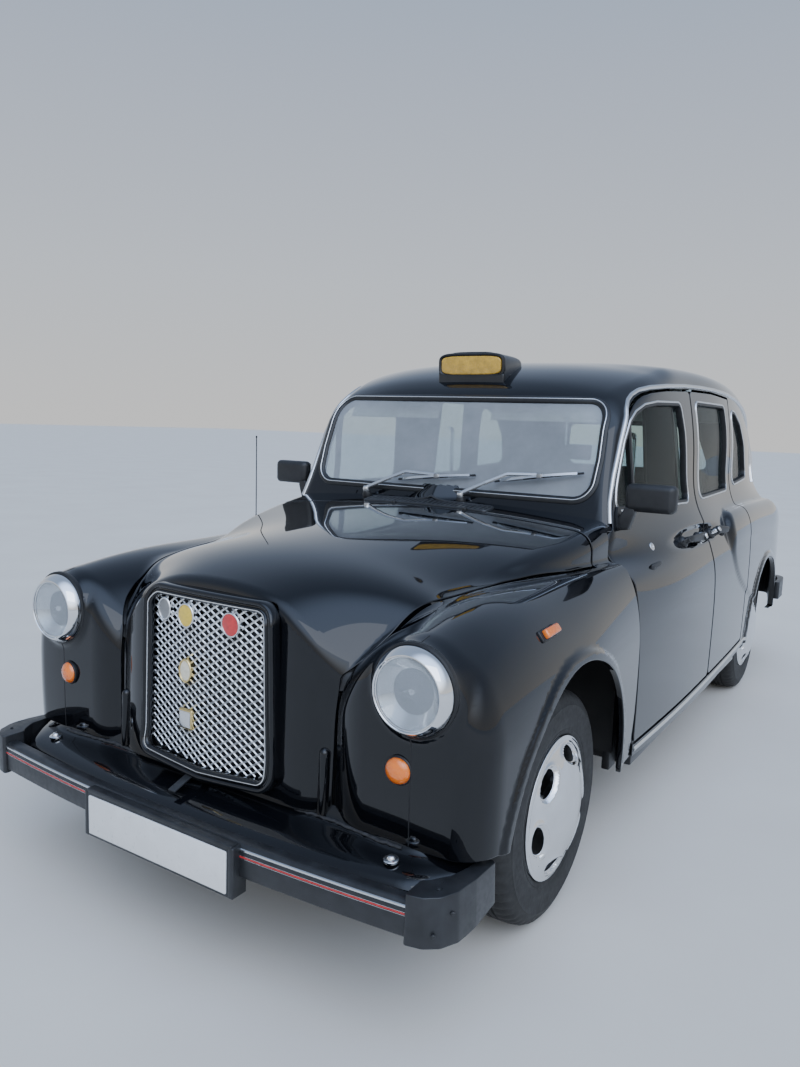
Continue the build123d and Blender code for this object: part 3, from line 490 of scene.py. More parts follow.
# ------------------------------------------------------------------ making objects
def mesh_object(name, verts_mm, faces, materials, groups=None, normals=None, smooth_angle=38.0, place=True):
    """Mesh from millimetre points. groups: material index per face. normals: per point, or None."""
    me = bpy.data.meshes.new(name)
    pts = world(verts_mm) if place else np.asarray(verts_mm, float)
    me.from_pydata(pts.tolist(), [], [list(f) for f in faces])
    for m in materials if isinstance(materials, (list, tuple)) else [materials]:
        me.materials.append(m)
    if groups is not None:
        me.polygons.foreach_set("material_index", np.asarray(groups, np.int32))
    me.polygons.foreach_set("use_smooth", np.ones(len(me.polygons), bool))
    me.update()
    if normals is None:
        me.set_sharp_from_angle(angle=math.radians(smooth_angle))
    else:
        me.set_sharp_from_angle(angle=math.radians(smooth_angle))
        me.normals_split_custom_set(normals)
    ob = bpy.data.objects.new(name, me)
    bpy.context.scene.collection.objects.link(ob)
    return ob


def shell(name, verts, faces, field, materials, thickness=16.0, hem=4.0, start=0.0, inner=1, rim=True, backs=True, side_material=0):
    """Panel with a rounded edge and an inner face, from an open surface. materials: outer, inner."""
    n = normals_of(field, verts)
    edges = boundary_of(faces)
    out_dir = np.zeros_like(verts)
    for a, b in edges:
        e = verts[b] - verts[a]
        length = np.linalg.norm(e)
        if length < 1e-9:
            continue
        e = e / length
        for q in (a, b):
            out_dir[q] += np.cross(e, n[q])
    rim_points = sorted({a for e in edges for a in e})
    length = np.maximum(np.linalg.norm(out_dir, axis=1, keepdims=True), 1e-9)
    out_dir = out_dir / length
    base = verts - n * start
    all_v = [base]
    all_f = [tuple(f) for f in faces]
    group = [0] * len(faces)
    loops = [n[list(f)] for f in faces]
    count = len(verts)
    last = {q: q for q in rim_points}
    last_n = {q: n[q] for q in rim_points}
    if rim and hem > 0:
        for angle in (30.0, 60.0, 90.0):
            a = math.radians(angle)
            ids = {}
            pts = []
            for q in rim_points:
                ids[q] = count + len(pts)
                pts.append(base[q] + out_dir[q] * hem * math.sin(a) - n[q] * hem * (1 - math.cos(a)))
            nn = {q: n[q] * math.cos(a) + out_dir[q] * math.sin(a) for q in rim_points}
            for i, j in edges:
                all_f.append((last[j], last[i], ids[i], ids[j]))
                group.append(0)
                loops.append(np.array([last_n[j], last_n[i], nn[i], nn[j]]))
            all_v.append(np.array(pts))
            count += len(pts)
            last, last_n = ids, nn
    if rim:
        ids, pts = {}, []
        for q in rim_points:
            ids[q] = count + len(pts)
            pts.append(base[q] + out_dir[q] * hem - n[q] * thickness)
        for i, j in edges:
            all_f.append((last[j], last[i], ids[i], ids[j]))
            group.append(side_material)
            loops.append(np.array([out_dir[j], out_dir[i], out_dir[i], out_dir[j]]))
        all_v.append(np.array(pts))
        count += len(pts)
        last = ids
    if backs:
        back = base - n * thickness
        all_v.append(back)
        for f in faces:
            all_f.append(tuple(count + i for i in reversed(f)))
            group.append(inner)
            loops.append(-n[list(reversed(f))])
        if rim:
            for i, j in edges:
                all_f.append((last[j], last[i], count + i, count + j))
                group.append(inner)
                loops.append(np.array([-n[j], -n[i], -n[i], -n[j]]))
    ob = mesh_object(name, np.concatenate(all_v), all_f, materials, group, np.concatenate(loops).tolist())
    return ob


def mirrored(verts, faces):
    v = verts.copy()
    v[:, 0] = -v[:, 0]
    return v, [tuple(reversed(f)) for f in faces]


def both_halves(verts, faces):
    """The half with x above zero and its mirror image, joined at the middle."""
    v, f = clip(verts, faces, None, lambda x, s, z: -x)
    on = np.abs(v[:, 0]) < 1e-3
    order = np.full(len(v), -1)
    order[on] = np.nonzero(on)[0]
    rest = np.nonzero(~on)[0]
    order[rest] = len(v) + np.arange(len(rest))
    w = v[rest] * np.array([-1, 1, 1])
    g = [tuple(int(order[i]) for i in reversed(q)) for q in f]
    return np.concatenate([v, w]), f + g


def cuts(surf, field, *fs):
    v, f = surf
    for c in fs:
        v, f = clip(v, f, field, c)
    return v, f


# ------------------------------------------------------------------ materials
def material(name):
    m = bpy.data.materials.new(name)
    m.use_nodes = True
    nt = m.node_tree
    return m, nt, nt.nodes["Principled BSDF"]


def node(nt, kind, **values):
    n = nt.nodes.new(kind)
    for k, v in values.items():
        if k in n.inputs:
            n.inputs[k].default_value = v
        else:
            setattr(n, k, v)
    return n


def noise(nt, scale, detail=3.0, rough=0.55, coord="Object"):
    tc = nt.nodes.new("ShaderNodeTexCoord")
    n = node(nt, "ShaderNodeTexNoise", Scale=scale, Detail=detail, Roughness=rough)
    nt.links.new(tc.outputs[coord], n.inputs["Vector"])
    return n


def ramp(nt, source, lo, hi, c0, c1):
    r = nt.nodes.new("ShaderNodeValToRGB")
    r.color_ramp.elements[0].position, r.color_ramp.elements[1].position = lo, hi
    r.color_ramp.elements[0].color, r.color_ramp.elements[1].color = (*c0, 1), (*c1, 1)
    nt.links.new(source, r.inputs[0])
    return r


def span(nt, source, lo, hi, a, b):
    r = node(nt, "ShaderNodeMapRange")
    for k, v in (("From Min", lo), ("From Max", hi), ("To Min", a), ("To Max", b)):
        r.inputs[k].default_value = v
    nt.links.new(source, r.inputs["Value"])
    return r


def bump(nt, bsdf, source, strength, distance):
    b = node(nt, "ShaderNodeBump", Strength=strength, Distance=distance)
    nt.links.new(source, b.inputs["Height"])
    nt.links.new(b.outputs["Normal"], bsdf.inputs["Normal"])
    return b


def simple(name, color, rough, metal=0.0, spread=0.25, scale=40.0, bump_scale=None, bump_mm=0.1, coat=0.0, coat_rough=0.05, rough_spread=0.1, ior=1.5):
    """A finish with colour and roughness that vary with noise, and a fine bump."""
    m, nt, b = material(name)
    n = noise(nt, scale)
    dark = tuple(c * (1 - spread) for c in color)
    lite = tuple(min(1, c * (1 + spread)) for c in color)
    r = ramp(nt, n.outputs["Fac"], 0.3, 0.7, dark, lite)
    nt.links.new(r.outputs["Color"], b.inputs["Base Color"])
    n2 = noise(nt, scale * 2.7, 4.0)
    q = span(nt, n2.outputs["Fac"], 0.25, 0.75, max(0.02, rough - rough_spread / 2), min(1, rough + rough_spread / 2))
    nt.links.new(q.outputs["Result"], b.inputs["Roughness"])
    b.inputs["Metallic"].default_value = metal
    b.inputs["IOR"].default_value = ior
    b.inputs["Coat Weight"].default_value = coat
    b.inputs["Coat Roughness"].default_value = coat_rough
    if bump_scale:
        n3 = noise(nt, bump_scale, 3.0)
        bump(nt, b, n3.outputs["Fac"], 0.6, bump_mm / 1000.0)
    return m


def paint_material():
    """Gloss black coach paint: faint depth in the colour, a hard coat with a slight orange peel, and road film low down."""
    m, nt, b = material("gloss_black_paint")
    n = noise(nt, 2.2, 3.0)
    base = ramp(nt, n.outputs["Fac"], 0.3, 0.75, (0.0018, 0.0022, 0.0034), (0.0034, 0.0040, 0.0060))
    film = noise(nt, 9.0, 6.0, 0.65)
    tc = nt.nodes.new("ShaderNodeTexCoord")
    sep = nt.nodes.new("ShaderNodeSeparateXYZ")
    nt.links.new(tc.outputs["Object"], sep.inputs[0])
    low = span(nt, sep.outputs["Z"], 0.25, 0.70, 0.35, 0.0)
    mul = node(nt, "ShaderNodeMath", operation="MULTIPLY")
    nt.links.new(low.outputs["Result"], mul.inputs[0])
    nt.links.new(film.outputs["Fac"], mul.inputs[1])
    mix = nt.nodes.new("ShaderNodeMix")
    mix.data_type = "RGBA"
    nt.links.new(mul.outputs[0], mix.inputs["Factor"])
    nt.links.new(base.outputs["Color"], mix.inputs["A"])
    mix.inputs["B"].default_value = (0.011, 0.010, 0.009, 1)
    nt.links.new(mix.outputs["Result"], b.inputs["Base Color"])
    speck = noise(nt, 260.0, 2.0)
    rough = span(nt, mul.outputs[0], 0.0, 0.5, 0.055, 0.22)
    nt.links.new(rough.outputs["Result"], b.inputs["Roughness"])
    b.inputs["Specular IOR Level"].default_value = 0.1
    b.inputs["Coat Weight"].default_value = 1.0
    b.inputs["Coat Roughness"].default_value = 0.018
    b.inputs["Coat IOR"].default_value = 1.46
    bump(nt, b, speck.outputs["Fac"], 0.12, 0.00006)
    return m


MAT = {}
MAT["paint"] = paint_material()
MAT["inner"] = simple("inner_panel_black", (0.012, 0.012, 0.013), 0.45, spread=0.4, scale=18, bump_scale=90, bump_mm=0.1)
MAT["headlining"] = simple("headlining_cloth", (0.55, 0.53, 0.48), 0.85, spread=0.12, scale=60, bump_scale=700, bump_mm=0.3)
MAT["trim"] = simple("door_trim_vinyl", (0.03, 0.03, 0.033), 0.5, spread=0.25, scale=30, bump_scale=500, bump_mm=0.25)


def metal(name, color, rough, spread=0.08, scale=14.0, wear=0.12, bump_scale=180.0, bump_mm=0.02):
    """Bright metal with faint smears in the roughness and colour and a very fine bump."""
    m, nt, b = material(name)
    n = noise(nt, scale, 5.0, 0.6)
    r = ramp(nt, n.outputs["Fac"], 0.25, 0.75, tuple(c * (1 - spread) for c in color), color)
    nt.links.new(r.outputs["Color"], b.inputs["Base Color"])
    n2 = noise(nt, scale * 3.1, 6.0, 0.7)
    q = span(nt, n2.outputs["Fac"], 0.35, 0.75, rough, rough + wear)
    nt.links.new(q.outputs["Result"], b.inputs["Roughness"])
    b.inputs["Metallic"].default_value = 1.0
    n3 = noise(nt, bump_scale, 2.0)
    bump(nt, b, n3.outputs["Fac"], 0.25, bump_mm / 1000.0)
    return m


def glass_material(name, tint, base, low, high=0.92, rough=0.02, dust_and_sheen=0.03):
    """Sheet glass: see-through face on, mirror-like at a glance, the same from both sides, with a thin uneven film.
    Face on, a share of the base colour is mixed in; where the base is pale it is a painted reflection, and the film
    then adds patches of painted reflection as well as dust.
    """
    m, nt, b = material(name)
    out = nt.nodes["Material Output"]
    b.inputs["Base Color"].default_value = (*base, 1)
    b.inputs["Roughness"].default_value = rough
    b.inputs["Specular IOR Level"].default_value = 1.0
    t = nt.nodes.new("ShaderNodeBsdfTransparent")
    t.inputs["Color"].default_value = (*tint, 1)
    lw = node(nt, "ShaderNodeLayerWeight", Blend=0.5)
    power = node(nt, "ShaderNodeMath", operation="POWER")
    nt.links.new(lw.outputs["Facing"], power.inputs[0])
    power.inputs[1].default_value = 4.6
    n = noise(nt, 2.4, 6.0, 0.65)
    film = span(nt, n.outputs["Fac"], 0.35, 0.75, 0.0, dust_and_sheen)
    q = span(nt, power.outputs[0], 0.0, 1.0, low, high)
    add = node(nt, "ShaderNodeMath", operation="ADD")
    add.use_clamp = True
    nt.links.new(q.outputs["Result"], add.inputs[0])
    nt.links.new(film.outputs["Result"], add.inputs[1])
    mix = nt.nodes.new("ShaderNodeMixShader")
    nt.links.new(add.outputs[0], mix.inputs[0])
    nt.links.new(t.outputs[0], mix.inputs[1])
    nt.links.new(b.outputs[0], mix.inputs[2])
    nt.links.new(mix.outputs[0], out.inputs["Surface"])
    return m


def lens_material(name, color, deep, scale=160.0, glow=0.0):
    m, nt, b = material(name)
    lw = node(nt, "ShaderNodeLayerWeight", Blend=0.35)
    n = noise(nt, scale, 2.0)
    add = node(nt, "ShaderNodeMath", operation="MULTIPLY")
    nt.links.new(lw.outputs["Facing"], add.inputs[0])
    nt.links.new(n.outputs["Fac"], add.inputs[1])
    r = ramp(nt, add.outputs[0], 0.05, 0.55, color, deep)
    nt.links.new(r.outputs["Color"], b.inputs["Base Color"])
    b.inputs["Roughness"].default_value = 0.12
    b.inputs["Coat Weight"].default_value = 1.0
    b.inputs["Coat Roughness"].default_value = 0.03
    b.inputs["Subsurface Weight"].default_value = 0.25
    b.inputs["Subsurface Radius"].default_value = (0.008, 0.004, 0.002)
    bump(nt, b, n.outputs["Fac"], 0.5, 0.0003)
    return m


MAT["chrome"] = metal("chrome", (0.86, 0.87, 0.88), 0.035, wear=0.09)
MAT["bright"] = metal("bright_moulding", (0.80, 0.81, 0.82), 0.14, wear=0.14)
MAT["mesh"] = metal("grille_mesh_metal", (0.90, 0.90, 0.89), 0.28, wear=0.2, scale=40)
MAT["steel"] = metal("dull_steel", (0.42, 0.42, 0.42), 0.35, wear=0.25, spread=0.3)
MAT["rubber"] = simple("seal_rubber", (0.010, 0.010, 0.011), 0.42, spread=0.3, scale=50, bump_scale=240, bump_mm=0.12)
MAT["tyre"] = simple("tyre_rubber", (0.017, 0.0165, 0.016), 0.68, spread=0.4, scale=26, bump_scale=300, bump_mm=0.25, rough_spread=0.18)
MAT["plastic"] = simple("bumper_plastic", (0.020, 0.021, 0.023), 0.36, spread=0.3, scale=22, bump_scale=260, bump_mm=0.12, rough_spread=0.2)
MAT["mirror_plastic"] = simple("mirror_shell_plastic", (0.016, 0.016, 0.017), 0.42, spread=0.25, scale=30, bump_scale=600, bump_mm=0.12)
MAT["glass"] = glass_material("sheet_glass", (0.90, 0.95, 0.94), (0.03, 0.035, 0.035), 0.05)
# windscreen: the pale blue-grey base mixed in face on is a painted sky reflection
MAT["screen_glass"] = glass_material("windscreen_glass", (0.88, 0.93, 0.93), (0.52, 0.55, 0.58), 0.42, 0.95, 0.05, 0.22)
# lamp lenses: the pale blue-grey base mixed in face on is painted brightness standing in for the lit reflector bowl
# seen through the lens
MAT["lens"] = glass_material("lamp_lens_glass", (0.96, 0.975, 0.98), (0.58, 0.62, 0.66), 0.26, 0.95, 0.05, 0.08)
MAT["amber"] = lens_material("amber_lens", (0.95, 0.22, 0.02), (0.45, 0.05, 0.004))
MAT["red_lens"] = lens_material("red_lens", (0.55, 0.012, 0.008), (0.18, 0.003, 0.002))
MAT["plate"] = simple("blank_plate_white", (0.80, 0.80, 0.78), 0.30, spread=0.04, scale=25, bump_scale=300, bump_mm=0.03, coat=0.6)
MAT["plate_rear"] = simple("blank_plate_yellow", (0.78, 0.60, 0.06), 0.30, spread=0.05, scale=25, bump_scale=300, bump_mm=0.03, coat=0.6)
MAT["red"] = simple("red_stripe", (0.55, 0.03, 0.03), 0.3, spread=0.2, scale=60, bump_scale=300, bump_mm=0.03, coat=0.4)
MAT["sign_black"] = simple("sign_shell_black", (0.010, 0.010, 0.011), 0.34, spread=0.3, scale=30, bump_scale=350, bump_mm=0.03, coat=0.2)
MAT["sign_face"] = simple("sign_lens_amber", (0.62, 0.36, 0.04), 0.26, spread=0.25, scale=35, bump_scale=260, bump_mm=0.1, coat=0.8)
MAT["grip"] = simple("cream_enamel", (0.78, 0.72, 0.55), 0.22, spread=0.1, scale=80, bump_scale=300, bump_mm=0.03, coat=1.0)
MAT["yellow"] = simple("yellow_enamel", (0.80, 0.55, 0.05), 0.22, spread=0.1, scale=80, bump_scale=300, bump_mm=0.03, coat=1.0)
MAT["red_enamel"] = simple("red_enamel", (0.62, 0.02, 0.02), 0.2, spread=0.15, scale=80, bump_scale=300, bump_mm=0.03, coat=1.0)
MAT["brass"] = metal("brass", (0.80, 0.62, 0.28), 0.16)
MAT["sealant"] = simple("seam_sealant", (0.03, 0.03, 0.032), 0.5, spread=0.5, scale=80, bump_scale=120, bump_mm=1.2)
MAT["chassis"] = simple("chassis_black", (0.022, 0.021, 0.020), 0.62, spread=0.5, scale=12, bump_scale=110, bump_mm=0.4, rough_spread=0.3)
MAT["iron"] = simple("engine_iron", (0.10, 0.098, 0.094), 0.55, metal=0.5, spread=0.5, scale=14, bump_scale=130, bump_mm=0.5, rough_spread=0.25)
MAT["exhaust"] = simple("exhaust_steel", (0.20, 0.15, 0.11), 0.5, metal=0.8, spread=0.5, scale=10, bump_scale=120, bump_mm=0.3, rough_spread=0.3)
MAT["under"] = simple("underseal", (0.016, 0.016, 0.016), 0.75, spread=0.5, scale=10, bump_scale=70, bump_mm=1.0, rough_spread=0.2)
MAT["carpet"] = simple("floor_rubber_mat", (0.035, 0.034, 0.034), 0.8, spread=0.3, scale=25, bump_scale=220, bump_mm=0.6)
MAT["dash"] = simple("dash_plastic", (0.022, 0.022, 0.024), 0.55, spread=0.25, scale=30, bump_scale=520, bump_mm=0.25)
MAT["vinyl"] = simple("seat_vinyl", (0.030, 0.031, 0.036), 0.46, spread=0.35, scale=24, bump_scale=420, bump_mm=0.35, rough_spread=0.2)
MAT["reflector"] = metal("lamp_reflector", (0.93, 0.93, 0.92), 0.05, wear=0.05)


# ------------------------------------------------------------------ solids from lines (points in mm)
class Build:
    """Collects closed shapes into one mesh, each with a material."""

    def __init__(self, *mats):
        self.mats, self.v, self.f, self.g, self.n = [MAT[m] for m in mats], [], [], [], 0

    def add(self, part, mat=0):
        v, f = part
        self.v.append(np.asarray(v, float))
        for q in f:
            self.f.append(tuple(self.n + int(i) for i in q))
            self.g.append(mat)
        self.n += len(v)
        return self

    def both(self, part, mat=0):
        v = np.array(part[0], float)
        self.add((v, part[1]), mat)
        return self.add(mirrored(v, part[1]), mat)

    def flip(self):
        other = Build()
        other.mats, other.f, other.g, other.n = self.mats, [tuple(reversed(q)) for q in self.f], list(self.g), self.n
        other.v = [v * np.array([-1, 1, 1]) for v in self.v]
        return other

    def make(self, name, body, replaces=(), slot=None, angle=38.0):
        ob = mesh_object(name, np.concatenate(self.v), self.f, self.mats, self.g, smooth_angle=angle)
        bm = bmesh.new()
        bm.from_mesh(ob.data)
        bmesh.ops.recalc_face_normals(bm, faces=bm.faces)
        bm.to_mesh(ob.data)
        bm.free()
        ob.data.set_sharp_from_angle(angle=math.radians(angle))
        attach(ob, body)
        if replaces:
            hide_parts(*([replaces] if isinstance(replaces, str) else replaces))
        return ob


def from_bmesh(bm):
    bm.verts.ensure_lookup_table()
    v = np.array([tuple(q.co) for q in bm.verts])
    f = [tuple(w.index for w in q.verts) for q in bm.faces]
    bm.free()
    return v, f


def rbox(lo, hi, r, seg=3, taper=None):
    """Box with rounded edges. taper: function that moves its points after rounding."""
    bm = bmesh.new()
    bmesh.ops.create_cube(bm, size=1.0)
    lo, hi = np.array(lo, float), np.array(hi, float)
    for q in bm.verts:
        q.co = Vector(((lo + hi) / 2 + (hi - lo) * np.array(q.co)).tolist())
    if r > 0:
        bmesh.ops.bevel(bm, geom=list(bm.edges), offset=r, segments=seg, profile=0.5, affect="EDGES", clamp_overlap=True)
    bm.verts.index_update()
    v, f = from_bmesh(bm)
    return (v if taper is None else taper(v)), f


def prism(outline, plane, a, b, bevel=0.0, seg=2):
    """Outline carried from a to b. plane: x (outline in s, z), s (x, z) or z (x, s)."""
    def point(p, d):
        return {"x": (d, p[0], p[1]), "s": (p[0], d, p[1]), "z": (p[0], p[1], d)}[plane]
    bm = bmesh.new()
    lo = [bm.verts.new(point(p, a)) for p in outline]
    hi = [bm.verts.new(point(p, b)) for p in outline]
    n = len(outline)
    bm.faces.new(lo)
    bm.faces.new(list(reversed(hi)))
    for i in range(n):
        bm.faces.new((lo[i], hi[i], hi[(i + 1) % n], lo[(i + 1) % n]))
    bmesh.ops.recalc_face_normals(bm, faces=bm.faces)
    if bevel > 0:
        edges = [e for e in bm.edges if e.calc_face_angle(0) > 0.35]
        bmesh.ops.bevel(bm, geom=edges, offset=bevel, segments=seg, profile=0.5, affect="EDGES", clamp_overlap=True)
    bm.verts.index_update()
    return from_bmesh(bm)


def axis_frame(axis):
    a = np.array(axis, float)
    a = a / np.linalg.norm(a)
    h = np.array([0, 0, 1.0]) if abs(a[2]) < 0.9 else np.array([0, 1.0, 0])
    u = np.cross(h, a)
    u /= np.linalg.norm(u)
    return a, u, np.cross(a, u)


def rev(rows, centre, axis, seg=64, closed=False, shift=None, arc=None):
    """Turned shape: rows of (radius, distance along the axis). shift(row, angle) may change the radius."""
    a, u, w = axis_frame(axis)
    c = np.array(centre, float)
    v, rings = [], []
    angles = [2 * math.pi * k / seg for k in range(seg)]
    for j, (r, d) in enumerate(rows):
        if r < 1e-6:
            rings.append([len(v)] * seg)
            v.append(c + a * d)
            continue
        ring = []
        for k, t in enumerate(angles):
            q = r + (shift(j, k) if shift else 0.0)
            ring.append(len(v))
            v.append(c + a * d + (u * math.cos(t) + w * math.sin(t)) * q)
        rings.append(ring)
    f = []
    m = len(rings)
    for j in range(m if closed else m - 1):
        p, q = rings[j], rings[(j + 1) % m]
        for k in range(seg):
            k2 = (k + 1) % seg
            face = [p[k], p[k2], q[k2], q[k]]
            face = [x for i, x in enumerate(face) if x != face[i - 1]]
            if len(face) >= 3:
                f.append(tuple(face))
    return np.array(v), f


def round_path(pts, radius, step=16.0, closed=True):
    """Outline with filleted corners, as evenly spaced points."""
    pts = [np.array(p, float) for p in pts]
    n = len(pts)
    out = []
    for i in range(n):
        b = pts[i]
        if not closed and i in (0, n - 1):
            out.append(b)
            continue
        a, c = pts[i - 1], pts[(i + 1) % n]
        la, lc = np.linalg.norm(a - b), np.linalg.norm(c - b)
        v1, v2 = (a - b) / la, (c - b) / lc
        ang = math.acos(max(-1, min(1, float(v1 @ v2))))
        if ang > math.pi - 0.02:
            out.append(b)
            continue
        rr = radius[i] if isinstance(radius, (list, tuple)) else radius
        t = min(rr / math.tan(ang / 2), 0.48 * la, 0.48 * lc)
        rr = t * math.tan(ang / 2)
        mid = (v1 + v2) / np.linalg.norm(v1 + v2)
        centre = b + mid * rr / math.sin(ang / 2)
        p0, p1 = b + v1 * t - centre, b + v2 * t - centre
        sweep_a = math.pi - ang
        k = max(2, int(math.ceil(sweep_a * rr / (step * 0.45))))
        for j in range(k + 1):
            g = j / k
            s0, s1 = math.sin((1 - g) * sweep_a) / math.sin(sweep_a), math.sin(g * sweep_a) / math.sin(sweep_a)
            out.append(centre + p0 * s0 + p1 * s1)
    full = []
    m = len(out)
    for i in range(m if closed else m - 1):
        a, b = out[i], out[(i + 1) % m]
        d = np.linalg.norm(b - a)
        if d < 0.4:
            continue
        k = max(1, int(d / step))
        for j in range(k):
            full.append(a + (b - a) * j / k)
    if not closed:
        full.append(out[-1])
    return np.array(full)


def sweep(path, ups, profile, closed=False, outward=True):
    """Profile of (side, up) points carried along a path."""
    path = np.asarray(path, float)
    ups = np.broadcast_to(np.asarray(ups, float), path.shape)
    if closed:
        tan = np.roll(path, -1, 0) - np.roll(path, 1, 0)
    else:
        tan = np.gradient(path, axis=0)
    tan /= np.maximum(np.linalg.norm(tan, axis=1, keepdims=True), 1e-9)
    ups = ups - (ups * tan).sum(1, keepdims=True) * tan
    ups = ups / np.maximum(np.linalg.norm(ups, axis=1, keepdims=True), 1e-9)
    side = np.cross(tan, ups)
    if closed and outward and ((path - path.mean(0)) * side).sum() < 0:
        side = -side
    prof = np.asarray(profile, float)
    v = (path[:, None, :] + side[:, None, :] * prof[None, :, 0, None] + ups[:, None, :] * prof[None, :, 1, None]).reshape(-1, 3)
    n, m = len(path), len(prof)
    f = []
    for i in range(n if closed else n - 1):
        for j in range(m):
            a, b = i * m + j, i * m + (j + 1) % m
            c, d = ((i + 1) % n) * m + (j + 1) % m, ((i + 1) % n) * m + j
            f.append((a, b, c, d))
    if not closed:
        f.append(tuple(range(m)))
        f.append(tuple((n - 1) * m + j for j in reversed(range(m))))
    return v, f


def half_round(w, h, base=-1.0, seg=6):
    """Half-round section w wide and h high, standing on base."""
    pts = [(math.cos(math.pi * k / seg) * w / 2, math.sin(math.pi * k / seg) * h) for k in range(seg + 1)]
    return pts + [(-w / 2, base), (w / 2, base)]


def circle(r, seg=10, squash=1.0):
    return [(math.cos(2 * math.pi * k / seg) * r, math.sin(2 * math.pi * k / seg) * r * squash) for k in range(seg)]


def tube(path, r, seg=10, closed=False, up=(0.0137, 0.0411, 1.0)):
    return sweep(path, up, circle(r, seg), closed)


def drop(field, p, d, reach=700.0, n=140):
    """First point of the body met from p in direction d."""
    p, d = np.asarray(p, float), np.asarray(d, float)
    dt = reach / n
    first = np.full(len(p), reach)
    unset = np.ones(len(p), bool)
    prev = field(p[:, 0], p[:, 1], p[:, 2])
    for k in range(1, n + 1):
        q = p + d * (k * dt)
        cur = field(q[:, 0], q[:, 1], q[:, 2])
        hit = unset & (cur <= 0)
        first[hit] = k * dt
        unset &= ~hit
    lo, hi = first - dt, first.copy()
    for _ in range(16):
        mid = (lo + hi) / 2
        q = p + d * mid[:, None]
        cur = field(q[:, 0], q[:, 1], q[:, 2])
        hi = np.where(cur <= 0, mid, hi)
        lo = np.where(cur > 0, mid, lo)
    return p + d * hi[:, None]


def on_side(field, sz):
    sz = np.asarray(sz, float)
    return drop(field, np.stack([np.full(len(sz), 1000.0), sz[:, 0], sz[:, 1]], 1), (-1, 0, 0))


def on_front(field, xz, start=-900.0, reach=2000.0):
    xz = np.asarray(xz, float)
    return drop(field, np.stack([xz[:, 0], np.full(len(xz), start), xz[:, 1]], 1), (0, 1, 0), reach, 400)


def on_rear(field, xz):
    xz = np.asarray(xz, float)
    return drop(field, np.stack([xz[:, 0], np.full(len(xz), 3900.0), xz[:, 1]], 1), (0, -1, 0), 1400.0, 280)


def on_top(field, xs):
    xs = np.asarray(xs, float)
    return drop(field, np.stack([xs[:, 0], xs[:, 1], np.full(len(xs), 1900.0)], 1), (0, 0, -1), 1500.0, 300)


def slab_fan(top, low):
    """Closed solid between two matching closed rings."""
    n = len(top)
    v = np.concatenate([top, low])
    f = [tuple(range(n)), tuple(reversed(range(n, 2 * n)))]
    f += [((i + 1) % n, i, n + i, n + (i + 1) % n) for i in range(n)]
    return v, f


def slab(grid, off):
    """Closed solid from a grid of points and the same grid moved by off."""
    grid = np.asarray(grid, float)
    m, n = grid.shape[:2]
    top = grid.reshape(-1, 3)
    off = np.broadcast_to(np.asarray(off, float), grid.shape).reshape(-1, 3)
    low = top + off
    f = []
    k = m * n
    for i in range(m - 1):
        for j in range(n - 1):
            a, b, c, d = i * n + j, i * n + j + 1, (i + 1) * n + j + 1, (i + 1) * n + j
            f.append((a, b, c, d))
            f.append((k + d, k + c, k + b, k + a))
    for i in range(m - 1):
        for j in (0, n - 1):
            a, b = i * n + j, (i + 1) * n + j
            f.append((a, b, k + b, k + a) if j == 0 else (b, a, k + a, k + b))
    for j in range(n - 1):
        for i in (0, m - 1):
            a, b = i * n + j, i * n + j + 1
            f.append((b, a, k + a, k + b) if i == 0 else (a, b, k + b, k + a))
    return np.concatenate([top, low]), f


# ------------------------------------------------------------------ outlines
GAP, GAP_B = 8.0, 12.0
FRONT_DOOR = [(598.5, 356), (598.5, 1078), (634, 1098), (672, 1180), (712, 1272), (772, 1390), (820, 1465), (858, 1512), (894, 1537),
              (932, 1557), (984, 1577), (1064, 1592), (1228, 1607), (1545, 1622), (1545, 384)]
REAR_DOOR = [(1545, 384), (1545, 1622), (1900, 1628), (2247, 1618), (2247, 404)]
FRONT_WINDOW = [(696, 1162), (716, 1228), (797, 1396), (852, 1470), (902, 1505), (984, 1533), (1102, 1548), (1380, 1556), (1412, 1440), (1440, 1155)]
REAR_WINDOW = [(1625, 1160), (1618, 1570), (2128, 1572), (2150, 1460), (2165, 1172)]
QUARTER_WINDOW = [(2325, 1192), (2312, 1558), (2420, 1550), (2560, 1496), (2660, 1390), (2712, 1215)]
SILL_LINE = spline([560, 600, 2300, 2390, 3200, 3240, 3300, 3700], [312, 312, 362, 364, 364, 400, 418, 430])
BOOT_LID = [(-500, 560), (-500, 1040), (500, 1040), (500, 560)]
BACKLIGHT = [(-470, 1210), (-400, 1490), (400, 1490), (470, 1210)]
SCREEN = [(-606, 1188), (-612, 1330), (-600, 1541), (600, 1541), (612, 1330), (606, 1188)]
GUTTER_CUT = [(560, 1800), (560, 1506), (838, 1514), (882, 1550), (923, 1572), (977, 1592), (1060, 1607), (1226, 1622), (1470, 1636), (1715, 1643),
              (1941, 1644), (2212, 1640), (2529, 1620), (2740, 1586), (2880, 1520), (3400, 1520), (3400, 1800)]
SHUT = [(406, -900), (406, -556), (430, -543), (470, -500), (492, -440), (545, -220), (590, 80), (622, 300), (630, 455)]
GRILLE = [(-226, 486), (0, 470), (226, 486), (211, 932), (-211, 932)]


def shut_x(s):
    """Half width of the bonnet at a station, as a smooth line."""
    return _shut(s)


